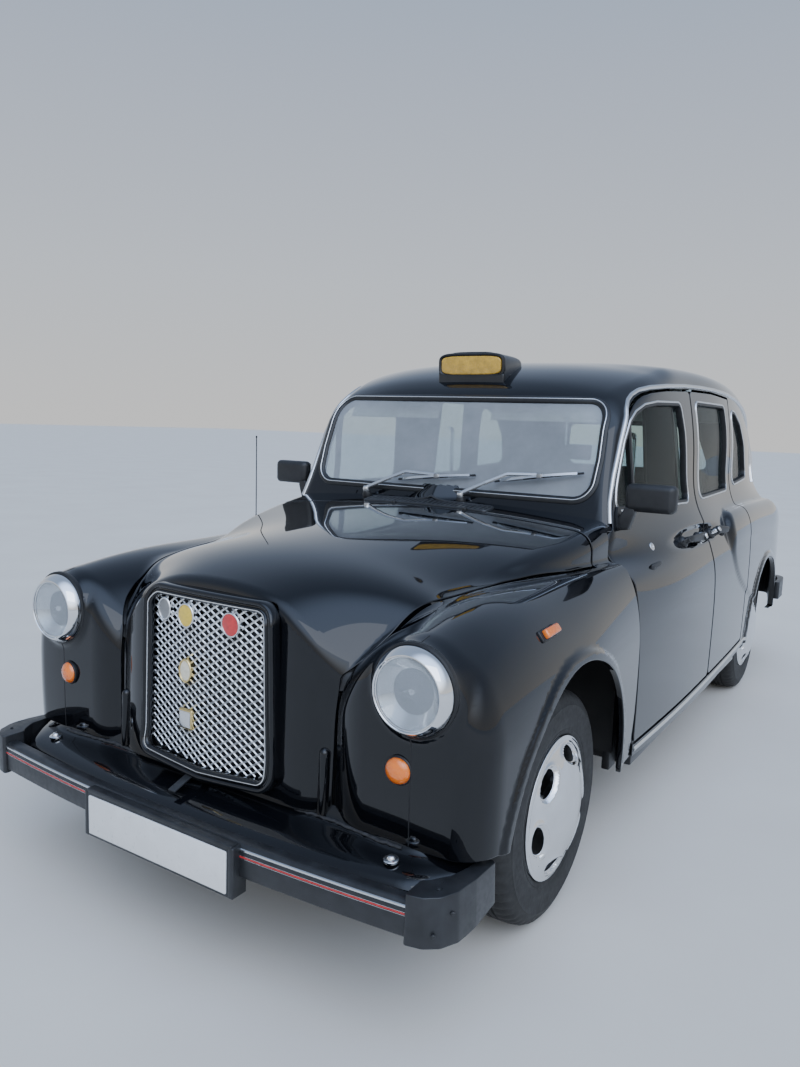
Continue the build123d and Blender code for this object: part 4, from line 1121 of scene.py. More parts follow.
_shut_s = [-700, -600, -575, -556, -543, -500, -440, -220, 0, 80, 150, 220, 300, 455, 600]
_shut_x = [406, 406, 406, 410, 430, 466, 492, 545, 590, 620, 643, 663, 683, 706, 717]
_shut_raw = spline(_shut_s, _shut_x)
_shut_t = np.arange(-760.0, 760.0, 2.0)
_shut_v = np.interp(_shut_t, _shut_s, _shut_x)
for _ in range(60):
    _shut_v[1:-1] = 0.25 * _shut_v[:-2] + 0.5 * _shut_v[1:-1] + 0.25 * _shut_v[2:]
_shut = lambda s: np.interp(s, _shut_t, _shut_v)


def bonnet_side(d):
    """Negative inboard of the bonnet's shut line moved outboard by d."""
    return lambda x, s, z: (np.abs(x) - shut_x(s)) * 0.85 - d


HEM = 3.5
front_half = surface(front_field, (-3 * FRONT_CELL, -650, 240), (905, 690, 1190), FRONT_CELL)
print("front surface", len(front_half[0]), len(front_half[1]))
cabin_half = surface(cabin_field, (-3 * CELL, 560, 240), (905, 3700, 1740), CELL)
print("cabin surface", len(cabin_half[0]), len(cabin_half[1]))
front_left = clip(*front_half, None, lambda x, s, z: -x)
cabin_left = clip(*cabin_half, None, lambda x, s, z: -x)

# front wing
wing_bottom = spline([-600, -450, -200, 100, 350, 600], [424, 420, 332, 330, 316, 312])
wing_l = cuts(front_left, front_field,
              lambda x, s, z: -((x - shut_x(s)) * 0.85 - GAP / 2 - HEM),
              lambda x, s, z: s - 594.5 + HEM,
              lambda x, s, z: -arch_distance(s, z, ARCH_F) + 6.0,
              lambda x, s, z: wing_bottom(s) + HEM - z)
for side, k in (("left", 1), ("right", -1)):
    v, f = wing_l if k > 0 else mirrored(*wing_l)
    ob = shell("front_wing_%s_panel" % side, v, f, front_field, [MAT["paint"], MAT["inner"]], 16.0, HEM)
    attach(ob, "body")
    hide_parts("front_wing_" + side)

# bonnet
bonnet = cuts(front_left, front_field,
              lambda x, s, z: (x - shut_x(s)) * 0.85 + GAP / 2 + HEM,
              lambda x, s, z: s - 455 + HEM,
              lambda x, s, z: 424 + HEM - z,
              invert(rounded_cut([(-246, 462), (0, 446), (246, 462), (236, 962), (-236, 962)], 30.0, 0.0, "end")))
bonnet = both_halves(*bonnet)
ob = shell("bonnet_panel", *bonnet, front_field, [MAT["paint"], MAT["inner"]], 16.0, HEM)
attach(ob, "bonnet")
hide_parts("bonnet")

# scuttle
scuttle = cuts(front_left, front_field,
               lambda x, s, z: (x - shut_x(s) - 4) * 0.9,
               lambda x, s, z: 465 + HEM - s,
               lambda x, s, z: np.maximum(s - 650, np.minimum(s - 594.5 + HEM, 1090 - z)),
               lambda x, s, z: 960 - z)
scuttle = both_halves(*scuttle)
ob = shell("scuttle_panel", *scuttle, front_field, [MAT["paint"], MAT["inner"]], 16.0, HEM)
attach(ob, "body")
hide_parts("scuttle")

# doors
for name, outline, window in (("front_door", FRONT_DOOR, FRONT_WINDOW), ("rear_door", REAR_DOOR, REAR_WINDOW)):
    trimmed = []
    for s, z in offset_outline(outline, -GAP / 2):
        if abs(s - 1545) < 8:
            s += 2 if s > 1545 else -2
        trimmed.append((s, z))
    face = cuts(cabin_left, cabin_field, rounded_cut(trimmed, 14.0, -HEM), invert(rounded_cut(window, 34.0, 6.0)), lambda x, s, z: 400 - x)
    for side, k in (("left", 1), ("right", -1)):
        v, f = face if k > 0 else mirrored(*face)
        ob = shell("%s_%s_panel" % (name, side), v, f, cabin_field, [MAT["paint"], MAT["trim"]], 25.0, HEM)
        body = "%s_%s" % (name, side)
        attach(ob, body)
        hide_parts(body)

doors_out = [invert(rounded_cut(offset_outline(o, GAP / 2), 14.0, HEM)) for o in (FRONT_DOOR, REAR_DOOR)]
quarter_out = invert(rounded_cut(QUARTER_WINDOW, 40.0, 6.0))
roof_cut = rounded_cut(GUTTER_CUT, 5.0, 0.0)

# roof
screen_out = invert(rounded_cut(SCREEN, 62.0, 2.0, "end"))
roof = both_halves(*cuts(cabin_left, cabin_field, roof_cut, lambda x, s, z: np.where(s < 1000, screen_out(x, s, z), -50.0)))
ob = shell("roof_outer_panel", *roof, cabin_field, [MAT["paint"], MAT["headlining"]], 30.0, 0.0, rim=True)
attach(ob, "body")
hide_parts("roof_panel")

# pillars and screen frame
frame_cut = cuts(cabin_left, cabin_field, invert(roof_cut), lambda x, s, z: s - 2247,
                 *doors_out, screen_out, lambda x, s, z: 599 - s, lambda x, s, z: SILL_LINE(s) - z)
frame_both = both_halves(*frame_cut)
ob = shell("body_frame_panel", *frame_both, cabin_field, [MAT["paint"], MAT["inner"]], 30.0, 2.0)
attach(ob, "body")
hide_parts("body_frame")

# rear body and rear wings
wing_zone = lambda x, s, z: np.maximum(z - 985.0, s - 3440.0)
rear_all = cuts(cabin_left, cabin_field, invert(roof_cut), lambda x, s, z: 2247 - s, doors_out[1], quarter_out,
                lambda x, s, z: -arch_distance(s, z, ARCH_R) + 6.0, lambda x, s, z: SILL_LINE(s) - z,
                lambda x, s, z: np.where(s > 3300, -rounded_cut(offset_outline(BOOT_LID, GAP / 2), 50.0, HEM, "end")(x, s, z), -50.0),
                lambda x, s, z: np.where((s > 2900) & (z > 1150), -rounded_cut(BACKLIGHT, 45.0, 6.0, "end")(x, s, z), -50.0))
rear_wing_part = cuts(rear_all, cabin_field, wing_zone)
rear_rest = cuts(rear_all, cabin_field, invert(wing_zone))
for side, k in (("left", 1), ("right", -1)):
    v, f = rear_wing_part if k > 0 else mirrored(*rear_wing_part)
    ob = shell("rear_wing_%s_panel" % side, v, f, cabin_field, [MAT["paint"], MAT["inner"]], 24.0, 0.0)
    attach(ob, "body")
    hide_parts("rear_wing_" + side)
ob = shell("rear_body_panel", *both_halves(*rear_rest), cabin_field, [MAT["paint"], MAT["inner"]], 24.0, 0.0)
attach(ob, "body")
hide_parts("rear_body")

# boot lid
lid = cuts(cabin_left, cabin_field, rounded_cut(offset_outline(BOOT_LID, -GAP / 2), 46.0, -HEM, "end"), lambda x, s, z: 3340 - s)
ob = shell("boot_lid_panel", *both_halves(*lid), cabin_field, [MAT["paint"], MAT["inner"]], 22.0, HEM)
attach(ob, "boot_lid")
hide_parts("boot_lid")

# ------------------------------------------------------------------ wheels and tyres
SIDES = (("left", 1), ("right", -1))
dome = spline([0, 60, 110, 150, 180, 196, 207], [845, 842, 831.5, 818, 803, 797, 796], 20)
HOLES = [math.radians(60 * k + 14) for k in range(6)]


def hole_distance(y, z):
    """Distance outside the nearest oval opening of a wheel trim, in units of millimetres."""
    best = np.full(np.shape(y), 1e9)
    for a in HOLES:
        r = np.hypot(y, z)
        t = np.arctan2(z, y) - a
        t = (t + math.pi) % (2 * math.pi) - math.pi
        u, w = (r - 160.0) / 23.5, t * 160.0 / 46.0
        q = np.hypot(u, w)
        best = np.minimum(best, (q - 1) * 23.5 * np.where(q > 0.05, np.sqrt((u * u + (w * 46.0 / 23.5) ** 2 * 0.35 + 1e-9) / (q * q + 1e-9)), 1))
    return best


def trim_field(x, y, z):
    r = np.hypot(y, z)
    d = hole_distance(y, z)
    h = dome(r) + 4.5 * np.exp(-((d - 7.0) / 5.0) ** 2) - 7.0 * (1 - smooth(0.0, 7.0, d))
    h = h + 2.2 * np.exp(-((r - 200.0) / 4.0) ** 2)
    return x - h


def wheel_trim():
    rings = np.concatenate([[0.01], np.arange(12, 118, 8), np.arange(118, 207.1, 3.2), [208.5]])
    n = 144
    ang = np.arange(n) * 2 * math.pi / n
    y = np.outer(rings, np.cos(ang)).ravel()
    z = np.outer(rings, np.sin(ang)).ravel()
    x = -trim_field(np.zeros_like(y), y, z)
    v = np.stack([x, y, z], 1)
    f = []
    for i in range(len(rings) - 1):
        for k in range(n):
            f.append((i * n + k, (i + 1) * n + k, (i + 1) * n + (k + 1) % n, i * n + (k + 1) % n))
    v, f = clip(v, f, None, lambda x, y, z: -hole_distance(y, z))
    return v, f


TRIM = wheel_trim()
TYRE = [(640, 206), (630, 212), (625.5, 226), (624, 240), (622.8, 262), (622.5, 285), (625, 304), (631, 320), (640, 331), (652, 337.5),
        (668, 340.4), (683, 341.5), (684.5, 335), (690.5, 335), (692, 342), (706, 342), (707.5, 335), (712.5, 335), (714, 342),
        (728, 342), (729.5, 335), (735.5, 335), (737, 341.5), (752, 340.4), (768, 337.5), (780, 331), (789, 320), (794.8, 305),
        (797, 300.5), (798.2, 299), (797.4, 290), (797.5, 285), (797.2, 262), (796, 240), (795.2, 231), (793.4, 228.5), (794.6, 226),
        (792, 216), (789, 210), (784, 206)]
TREAD_N = 240


def tread(j, k):
    x, r = TYRE[j]
    d = abs(x - 710.0)
    if r < 325 or d < 30:
        return 0.0
    ph = (k + (2 if x < 710 else 0)) % 4
    cut = 5.0 if d < 72 else 3.0
    return -cut if ph == 0 and 31 < d < 82 else 0.0


for name, k, s, front in (("front_left", 1, 0.0, True), ("front_right", -1, 0.0, True), ("rear_left", 1, 2810.0, False), ("rear_right", -1, 2810.0, False)):
    c = np.array([0, s, HUB])
    tyre = Build("tyre")
    v, f = rev([(r, x * k) for x, r in TYRE], (0, s, HUB), (1, 0, 0), TREAD_N, closed=True, shift=tread)
    tyre.add((v, f))
    tyre.make("tyre_%s_tread" % name, "wheel_" + name, "tyre_" + name, "tyre", 32)
    v = TRIM[0] * np.array([1, 1, 1]) + c
    f = TRIM[1]
    if k < 0:
        v = v * np.array([-1, 1, 1])
        f = [tuple(reversed(q)) for q in f]
    tf = lambda x, ss, z, k=k, s=s: trim_field(np.abs(x), ss - s, z - HUB)
    ob = shell("wheel_trim_" + name, v, f, tf, [MAT["chrome"], MAT["steel"]], 3.0, 1.6)
    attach(ob, "wheel_" + name)
    w = Build("steel", "chrome", "chassis")
    w.add(rev([(k_r, k * x) for x, k_r in [(786, 205.4), (790, 201), (789, 196), (778, 191), (764, 187), (700, 182), (640, 190), (634, 197), (634, 205.4), (641, 204), (700, 190), (770, 196)]],
              (0, s, HUB), (1, 0, 0), 96, closed=True), 0)
    w.add(rev([(0, k * 783), (34, k * 782), (52, k * 778), (60, k * 768), (96, k * 764), (128, k * 772), (160, k * 768), (184, k * 752), (190, k * 744), (182, k * 742), (158, k * 758),
               (128, k * 762), (96, k * 754), (64, k * 752), (16.5, k * 752), (16.5, k * 761), (0, k * 761)], (0, s, HUB), (1, 0, 0), 72), 2)
    hub_rows = [(62, k * 752), (62, k * 694), (56, k * 690), (17, k * 690), (17, k * 752)] if front else [(124, k * 752), (126, k * 746), (126, k * 672), (121, k * 666), (66, k * 665), (60, k * 690), (17, k * 690), (17, k * 752)]
    w.add(rev(hub_rows, (0, s, HUB), (1, 0, 0), 64, closed=True), 2)
    for j in range(5):
        a = 2 * math.pi * j / 5
        w.add(rev([(0, k * 779), (8, k * 778), (9.5, k * 774), (9.5, k * 762)], (0, s + 72 * math.cos(a), HUB + 72 * math.sin(a)), (1, 0, 0), 6), 0)
    a = math.radians(224)
    w.add(rev([(0, k * 804), (3, k * 804), (4, k * 800), (4, k * 780)], (0, s + 176 * math.cos(a), HUB + 176 * math.sin(a)), (1, 0, 0), 10), 2)
    w.make("wheel_disc_" + name, "wheel_" + name, "wheel_" + name, "chassis_black", 32)

# ------------------------------------------------------------------ lamps
FRONT = lambda xz: on_front(front_field, xz)
lamps = Build("chrome", "reflector", "rubber", "steel")
glassy = Build("lens")
for _, k in SIDES:
    c = (k * 660.0, 0, 818.0)
    lamps.add(rev([(114, -584), (116.5, -590), (116, -601), (111, -604), (106, -600), (106, -584)], c, (0, 1, 0), 96, closed=True), 2)
    lamps.add(rev([(108.5, -590), (109.5, -603), (108.5, -611), (105, -620), (99.5, -629), (95, -634.5), (92.5, -637), (90, -637.6), (88.6, -636), (88.3, -632),
                   (86.2, -631), (86, -627), (92, -625), (98, -618), (103, -606), (103, -590)], c, (0, 1, 0), 120, closed=True), 0)
    bowl = [(87, -628)] + [(86.5 * math.sqrt(1 - q), -628 + 46 * q) for q in (0.15, 0.32, 0.5, 0.68, 0.82, 0.93)] + [(14, -582), (14, -580), (30, -578), (60, -590), (90, -610), (91, -626)]
    lamps.add(rev(bowl, c, (0, 1, 0), 96, closed=True), 1)
    lamps.add(rev([(0, -612), (8, -611), (10, -606), (10, -590), (6, -580)], c, (0, 1, 0), 24), 0)
    lamps.add(tube([(k * 660 - 10, -606, 818), (k * 660 - 24, -606, 812), (k * 660 - 34, -592, 806)], 1.6, 8), 3)
    # fluted lens
    n, m = ((168, 33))
    v, f, last = [], [], []
    for side, rows_ in ((0, range(0, m + 1, 11)), (1, range(m + 1))):
        base = len(v)
        for i in rows_:
            r = 87.6 * i / m
            for j in range(n):
                t = 2 * math.pi * j / n
                px, pz = r * math.cos(t), r * math.sin(t)
                y = -630.5 - 9.0 * (1 - (r / 88.0) ** 2)
                if side:
                    y += 4.0
                    edge = float(smooth(86.0, 80.0, np.array(r)))
                    w = 1.5 * abs(math.sin(math.pi * px / 11.0)) if abs(pz) > 10 or abs(px) > 46 else 2.2 * abs(math.sin(math.pi * px / 7.0))
                    if pz < -30:
                        w = 1.2 * abs(math.sin(math.pi * (px * 0.8 + pz * 0.5) / 14.0))
                    y -= w * edge
                v.append((c[0] + px, y, 818.0 + pz))
        for i in range(len(rows_) - 1):
            for j in range(n):
                q = (base + i * n + j, base + i * n + (j + 1) % n, base + (i + 1) * n + (j + 1) % n, base + (i + 1) * n + j)
                f.append(q)
        last.append(base + (len(rows_) - 1) * n)
    for j in range(n):
        f.append((last[0] + j, last[0] + (j + 1) % n, last[1] + (j + 1) % n, last[1] + j))
    glassy.add((np.array(v), f))
lamps.make("headlamp_rims", "body", "headlamps", "headlamp", 30)
glassy.make("headlamp_lenses", "body", (), "glass", 50)

turn = Build("amber", "rubber", "plastic")
for _, k in SIDES:
    p = FRONT([(k * 623.0, 614.0)])[0]
    a = np.array([-0.10 * k, 1.0, 0.03])
    turn.add(rev([(37, 6), (37.5, -3), (35, -6), (30, -6), (30, 6)], p, a, 64, closed=True), 1)
    rows = [(33.5, 2)] + [(33.5 * math.cos(q), -4 - 19 * math.sin(q)) for q in np.linspace(0, math.pi / 2, 10)]
    rows[-1] = (0, -23)
    turn.add(rev(rows, p, a, 64, shift=lambda j, i: 0.0), 0)
    for sx in (-1, 1):
        turn.add(rev([(0, -18), (2.4, -17.5), (3, -16), (3, -8)], p + np.array([sx * 17.0, 0, 0]), a, 12), 2)
    # side repeater on the wing
    q = on_side(front_field, [(-158.0, 893.0)])[0]
    g = normals_of(front_field, np.array([[q[0], q[1], q[2]]]))[0]
    g = g * np.array([k, 1, 1])
    q = q * np.array([k, 1, 1])
    t = np.array([0, 1.0, 0.05])
    t -= g * (t @ g)
    t /= np.linalg.norm(t)
    w = np.cross(g, t)

    def local(pts, q=q, g=g, t=t, w=w):
        pts = np.asarray(pts, float)
        return q + pts[:, [0]] * t + pts[:, [1]] * w + pts[:, [2]] * g
    v, f = rbox((-50, -17, -8), (50, 17, 6), 5, 3)
    turn.add((local(v), f), 1)
    v, f = rbox((-34, -13, 0), (44, 13, 21), 7, 4, taper=lambda v: v * np.array([1, 1, 1]) - np.stack([0 * v[:, 0], 0 * v[:, 0], np.where(v[:, 2] > 8, (v[:, 0] + 40) * -0.06 + 2.0, 0)], 1))
    turn.add((local(v), f), 0)
turn.make("indicator_lenses", "body", "indicators", "amber_lens", 40)

tail = Build("red_lens", "amber", "chrome", "plate", "rubber")
for _, k in SIDES:
    mid = on_rear(cabin_field, [(k * 655.0, 815.0)])[0]
    lo_s, hi_s = mid[1] - 12, 3674.0
    for z0, z1, mat in ((742, 800, 0), (801, 838, 1), (839, 888, 0)):
        v, f = rbox((615, lo_s, z0), (695, hi_s, z1), 9, 4)
        tail.add((v * np.array([k, 1, 1]), f), mat)
    v, f = rbox((609, lo_s - 40, 735), (701, mid[1] + 5.0, 895), 8, 3)
    tail.add((v * np.array([k, 1, 1]), f), 4)
tail.make("tail_lamp_lenses", "body", "tail_lamps", "red_lens", 40)

# ------------------------------------------------------------------ grille
MESH_OUT = [(-226, 486), (0, 468), (226, 486), (211, 932), (-211, 932)]
mesh_line = round_path(MESH_OUT, [26, 60, 26, 34, 34], 12)
inside_mesh = lambda x, z: polygon_distance(x, z, [tuple(p) for p in mesh_line])


def mesh_s(x):
    return -617.0 + 17.0 * np.minimum(np.abs(x) / 226.0, 1.0) + 3.0 * np.exp(-(np.asarray(x) / 9.0) ** 2)


g = Build("mesh", "inner")
step = 33.0
rows = np.arange(470, 936, 11.0)
dx = 3.3
for i, z0 in enumerate(rows):
    xs = np.arange(-228, 228.1, dx)
    ph = (xs / step + (0.5 if i % 2 else 0.0)) % 1.0
    tri = 1 - 4 * np.abs(ph - 0.5)
    zz = z0 + 4.7 * np.clip(tri * 1.25, -1, 1)
    ok = inside_mesh(xs, zz) < 4.0
    runs, cur = [], []
    for j in range(len(xs)):
        if ok[j]:
            cur.append((xs[j], mesh_s(xs[j]), zz[j]))
        elif len(cur) > 2:
            runs.append(cur)
            cur = []
        else:
            cur = []
    if len(cur) > 2:
        runs.append(cur)
    for run in runs:
        g.add(sweep(run, (0.0, -0.55, 1.0), [(-1.6, 2.5), (1.6, 2.1), (1.6, -2.5), (-1.6, -2.1)]), 0)
# dark sheet behind the mesh: painted shade standing in for the dark space behind the grille
back = np.array([[(x, mesh_s(np.array(x)) + 24.0, z) for x in np.linspace(-232, 232, 15)] for z in (462.0, 700.0, 940.0)])
g.add(slab(back, (0, 3, 0)), 1)
g.make("grille_mesh_panel", "bonnet", "grille", "bright_mesh", 30)

# frame round the mesh: a deep inner return and a rounded outer bead
frame_line = round_path([(-238, 474), (0, 456), (238, 474), (225, 946), (-225, 946)], [34, 60, 34, 44, 44], 12)
fp = np.stack([frame_line[:, 0], np.full(len(frame_line), -616.0), frame_line[:, 1]], 1)
top_part = smooth(900, 948, frame_line[:, 1])
low_part = smooth(560, 440, frame_line[:, 1])
fp[:, 1] = -616.0 - 8.0 * (1 - (np.abs(fp[:, 0]) / 240) ** 2) - 13.0 * low_part + 12.0 * top_part
surround = Build("paint", "bright")
surround.add(sweep(fp, (0, -1, 0), [(-14, -10), (-15, 2), (-12, 8), (-6, 10.5), (-2, 9), (0, 5), (3, 4.5), (6, 9), (11, 11), (16, 9), (18.5, 3), (19, -8), (18, -22), (8, -26), (-6, -22)], True), 0)
# bright lip along the frame's inner edge: a painted highlight where the glossy rounded edge catches the light
lip = fp.copy()
lip[:, 1] -= 10.6
surround.add(sweep(lip + np.array([0, 0.0, 0]), (0, -1, 0), [(-5.2, 0.8), (-6.6, 1.4), (-8.0, 0.8), (-8.0, -1), (-5.2, -1)], True), 1)
surround.make("grille_surround", "bonnet", (), "black_paint", 50)

badge = Build("bright", "brass", "grip", "yellow", "red_enamel", "steel")


def disc(x, z, r, zr, mat_rim, mat_face, depth=9.0):
    s0 = float(mesh_s(np.array(x))) - 4.0
    v, f = rev([(r, 6), (r, -depth + 2), (r - 1.5, -depth), (r - 4, -depth), (r - 5, -depth + 2), (r - 5, 6)], (0, 0, 0), (0, 1, 0), 48, closed=True)
    badge.add((v * np.array([1, 1, zr]) + np.array([x, s0, z]), f), mat_rim)
    v, f = rev([(r - 4.6, 2), (r - 4.6, -depth + 2.5), (r * 0.55, -depth + 1.0), (0, -depth + 0.3)], (0, 0, 0), (0, 1, 0), 48)
    badge.add((v * np.array([1, 1, zr]) + np.array([x, s0, z]), f), mat_face)


disc(-164, 893, 25, 1.35, 0, 5)
disc(-72, 888, 32, 1.1, 0, 3)
disc(95, 888, 34, 1.0, 0, 4)
disc(-74, 730, 25, 1.4, 1, 2)
s0 = float(mesh_s(np.array(-72.0))) - 4
badge.add(rbox((-98, s0 - 9, 562), (-46, s0 + 5, 620), 5, 3), 1)
badge.add(rbox((-93, s0 - 11, 567), (-51, s0 - 6, 615), 3, 2), 0)
badge.make("grille_badges", "bonnet", (), "chrome", 35)

# pressed bulge low on each side of the nose
bulge = Build("paint")
for x0 in (382.0,):
    zz = np.concatenate([np.arange(428, 588, 8.0), 588 + 15 * np.sin(np.linspace(0.05, 1.57, 7))])
    rad = np.where(zz < 588, 15.0, 15.0 * np.sqrt(np.maximum(1 - ((zz - 588) / 15.2) ** 2, 0.005)))
    pth = on_front(front_field, [(x0, z) for z in zz])
    pth[:, 1] += 3.0
    rings = []
    for p, q in zip(pth, rad):
        rings.append([p + np.array([math.cos(a) * q, -math.sin(a) * (q + 3), 0]) for a in np.linspace(-0.5, math.pi + 0.5, 15)])
    v = np.array(rings)
    m, n = v.shape[:2]
    v = v.reshape(-1, 3)
    f = [(i * n + j, i * n + j + 1, (i + 1) * n + j + 1, (i + 1) * n + j) for i in range(m - 1) for j in range(n - 1)]
    f += [(i * n + n - 1, i * n, (i + 1) * n, (i + 1) * n + n - 1) for i in range(m - 1)]
    f += [tuple(range(n)), tuple((m - 1) * n + j for j in reversed(range(n)))]
    bulge.both((v, f))
bulge.make("nose_pressings", "bonnet", (), "black_paint", 50)

# ------------------------------------------------------------------ apron, bumpers and plates
xs = np.concatenate([np.linspace(-812, -560, 14), np.linspace(-500, 500, 15), np.linspace(560, 812, 14)])
inner = []
for x in xs:
    if abs(x) <= 400:
        s = -588.0 + 2.0
    elif abs(x) < 470:
        s = -560.0
    else:
        s = -592.0 + 150.0 * max(0, (abs(x) - 640) / 190.0) ** 2.3
    inner.append(s)
inner = np.array(inner)
for _ in range(2):
    inner[1:-1] = 0.25 * inner[:-2] + 0.5 * inner[1:-1] + 0.25 * inner[2:]
outer = -738.0 + 50.0 * (np.abs(xs) / 760.0) ** 2 + 92.0 * np.maximum(0, (np.abs(xs) - 700) / 112.0) ** 1.6
grid = []
for x, a, b in zip(xs, inner, outer):
    row = []
    for t, z in ((-0.10, 452), (-0.03, 436), (0.0, 426), (0.06, 417), (0.16, 411), (0.34, 406), (0.55, 400), (0.75, 392), (0.88, 382), (0.95, 368), (0.97, 345), (0.96, 312)):
        row.append((x, a + (b - a) * t, z + 5.0 * (abs(x) / 812) ** 4))
    grid.append(row)
ap = Build("paint", "sealant", "chrome", "plastic")
ap.add(slab(np.array(grid), (0, 5, -5)), 0)
rng = np.random.default_rng(7)
for k in (1, -1):
    sx = np.linspace(300, 640, 40)
    line = np.stack([k * sx, np.interp(sx, xs[len(xs) // 2:], inner[len(xs) // 2:]) - 5 + rng.normal(0, 1.1, 40), 422 + rng.normal(0, 1.0, 40)], 1)
    ap.add(tube(line, 4.5, 8), 1)
    c = (k * 639, -640, 411)
    ap.add(rev([(19, -2), (19, 3), (17, 4.5), (11, 5), (10, 9), (7, 12), (0, 13)], c, (0.0, -0.12, 1), 24), 2)
ap.add(rbox((-52, -704, 452), (-26, -596, 458), 2, 2, taper=lambda v: v + np.stack([0 * v[:, 0], 0 * v[:, 0], (v[:, 1] + 596) * 0.35], 1)), 3)
ap.make("front_apron_panel", "body", "front_apron", "black_paint", 40)

fb = Build("plastic", "bright", "red", "chassis")


def bumper_arc(x, s_side, s_mid, half):
    return s_mid + (s_side - s_mid) * (np.abs(x) / half) ** 2


bx = np.linspace(-752, 752, 49)
path = np.stack([bx, bumper_arc(bx, -741, -780, 752) + 16, np.full(len(bx), 350.0)], 1)
prof = [(16, -38), (16, 30), (13.5, 38), (7, 43), (-4, 44), (-22, 43), (-24, 38), (-24, -38), (-22, -43), (10, -43), (14.5, -41)]
sgn = np.array([[-a, b] for a, b in prof])
v, f = sweep(path, (0, 0, 1), sgn)
if v[:, 1].min() > -790:
    v, f = sweep(path, (0, 0, 1), [(a, b) for a, b in prof])
fb.add((v, f), 0)
side_sign = 1 if abs(sweep(path, (0, 0, 1), [(16, 0), (15, 1), (15, -1)])[0][:, 1].min() + 780) < 3 else -1
# the first strip, bright moulding just below the rounded top edge, is a painted highlight; the red stripe and the two
# thin bright lines beside it are trim
for zc, w, mat, out in ((31.5, 3.4, 1, 16.4), (14, 2.6, 2, 16.6), (10.2, 0.7, 1, 16.3), (17.8, 0.7, 1, 16.3)):
    fb.add(sweep(path, (0, 0, 1), [(side_sign * (out + 0.9), zc + w * 0.6), (side_sign * (out + 0.9), zc - w * 0.6), (side_sign * (out - 2), zc - w), (side_sign * (out - 2), zc + w)]), mat)
CAP = [(744, -752), (790, -741), (822, -716), (843, -672), (850, -600), (847, -490), (806, -490), (804, -560), (792, -622), (760, -668), (744, -680)]
cap_line = round_path(CAP, [8, 22, 26, 30, 30, 14, 10, 40, 40, 20, 6], 12)


def cap_taper(v):
    z = v[:, 2]
    t = smooth(380, 418, z)
    c = np.array([770.0, -600.0])
    w = v.copy()
    fall = np.clip((v[:, 1] + 640) / 150.0, 0, 1)
    w[:, 2] = z - np.where(z > 380, fall * 8, 0) + np.where(z < 330, fall * 12, 0)
    w[:, 0] = v[:, 0] - t * (v[:, 0] - c[0]) * 0.06
    return w


v, f = prism([tuple(p) for p in cap_line], "z", 296, 416, 15, 4)
fb.both((cap_taper(v), f), 0)
for k in (1, -1):
    for x, s, z in ((812, -731, 330), (836, -690, 372), (798, -690, 417)):
        fb.add(rev([(5, 3), (5, -1), (2.5, -2.5), (0, -2.6)], (k * x, s, z), (0 if z > 400 else -0.5 * k, 0 if z > 400 else 0.86, -1 if z > 400 else 0), 12), 0)
fb.make("front_bumper_strip", "body", "front_bumper", "bumper_plastic", 40)

pl = Build("plate", "plastic", "steel")
pl.add(rbox((-262, -803.5, 268), (262, -796, 380), 5, 3), 0)
pl.add(rbox((-272, -799, 258), (272, -786, 390), 5, 3), 1)
pl.add(rbox((266, -800, 258), (283, -748, 392), 5, 3), 1)
pl.add(rbox((-283, -800, 258), (-266, -748, 392), 5, 3), 1)
pl.add(rbox((-276, -799, 384), (276, -770, 396), 4, 3), 1)
pl.make("front_plate_blank", "body", "front_number_plate", "plate", 35)

rb = Build("plastic", "bright", "red")
rx = np.linspace(-760, 760, 49)
rpath = np.stack([rx, bumper_arc(rx, 3722, 3775, 760) - 18, np.full(len(rx), 485.0)], 1)
rs = -1 if side_sign > 0 else 1
for sg in (1, -1):
    v, f = sweep(rpath, (0, 0, 1), [(a * sg * 1.1, b) for a, b in prof])
    if v[:, 1].max() > 3770:
        rb.add((v, f), 0)
        # the first strip, bright moulding just below the rounded top edge, is a painted highlight; the red stripe is
        # trim
        for zc, w, mat, out in ((31.5, 3.4, 1, 18.0), (14, 2.6, 2, 18.2)):
            rb.add(sweep(rpath, (0, 0, 1), [(sg * (out + 0.9), zc + w * 0.6), (sg * (out + 0.9), zc - w * 0.6), (sg * (out - 2), zc - w), (sg * (out - 2), zc + w)]), mat)
        break
RCAP = [(752, 3736), (800, 3724), (836, 3700), (858, 3660), (872, 3560), (874, 3402), (842, 3402), (838, 3560), (822, 3640), (790, 3672), (752, 3680)]
v, f = prism([tuple(p) for p in round_path(RCAP, [8, 22, 26, 30, 60, 12, 8, 40, 30, 20, 6], 14)], "z", 432, 538, 14, 4)
rb.both((v, f), 0)
rb.make("rear_bumper_strip", "body", "rear_bumper", "bumper_plastic", 40)

# rear plate, its lamp and the lid handle
rp = Build("plate_rear", "plastic", "chrome", "lens")
zs = np.array([640.0, 752.0])
q = on_rear(cabin_field, [(0, 640.0), (0, 752.0)])
grid = np.array([[(x, q[i][1] + 14.0, zs[i]) for x in (-262, 262)] for i in (0, 1)])
rp.add(slab(grid, (0, -5, 0)), 0)
grid = np.array([[(x, on_rear(cabin_field, [(0, z)])[0][1] + 9.0, z) for x in (-272, 272)] for z in (632.0, 760.0)])
rp.add(slab(grid, (0, -12, 0)), 1)
h = on_rear(cabin_field, [(0, 800.0)])[0]
rp.add(rbox((-90, h[1] - 6, 786), (90, h[1] + 26, 812), 9, 4), 2)
h = on_rear(cabin_field, [(0, 870.0)])[0]
hp = np.array([(-55, h[1] - 6, 870), (-55, h[1] + 22, 871), (-40, h[1] + 30, 872), (40, h[1] + 30, 872), (55, h[1] + 22, 871), (55, h[1] - 6, 870)])
rp.add(tube(round_path(hp, 10, 6, closed=False), 7, 12, up=(0, 0, 1)), 2)
rp.make("boot_plate_and_handle", "boot_lid", (), "plate", 40)

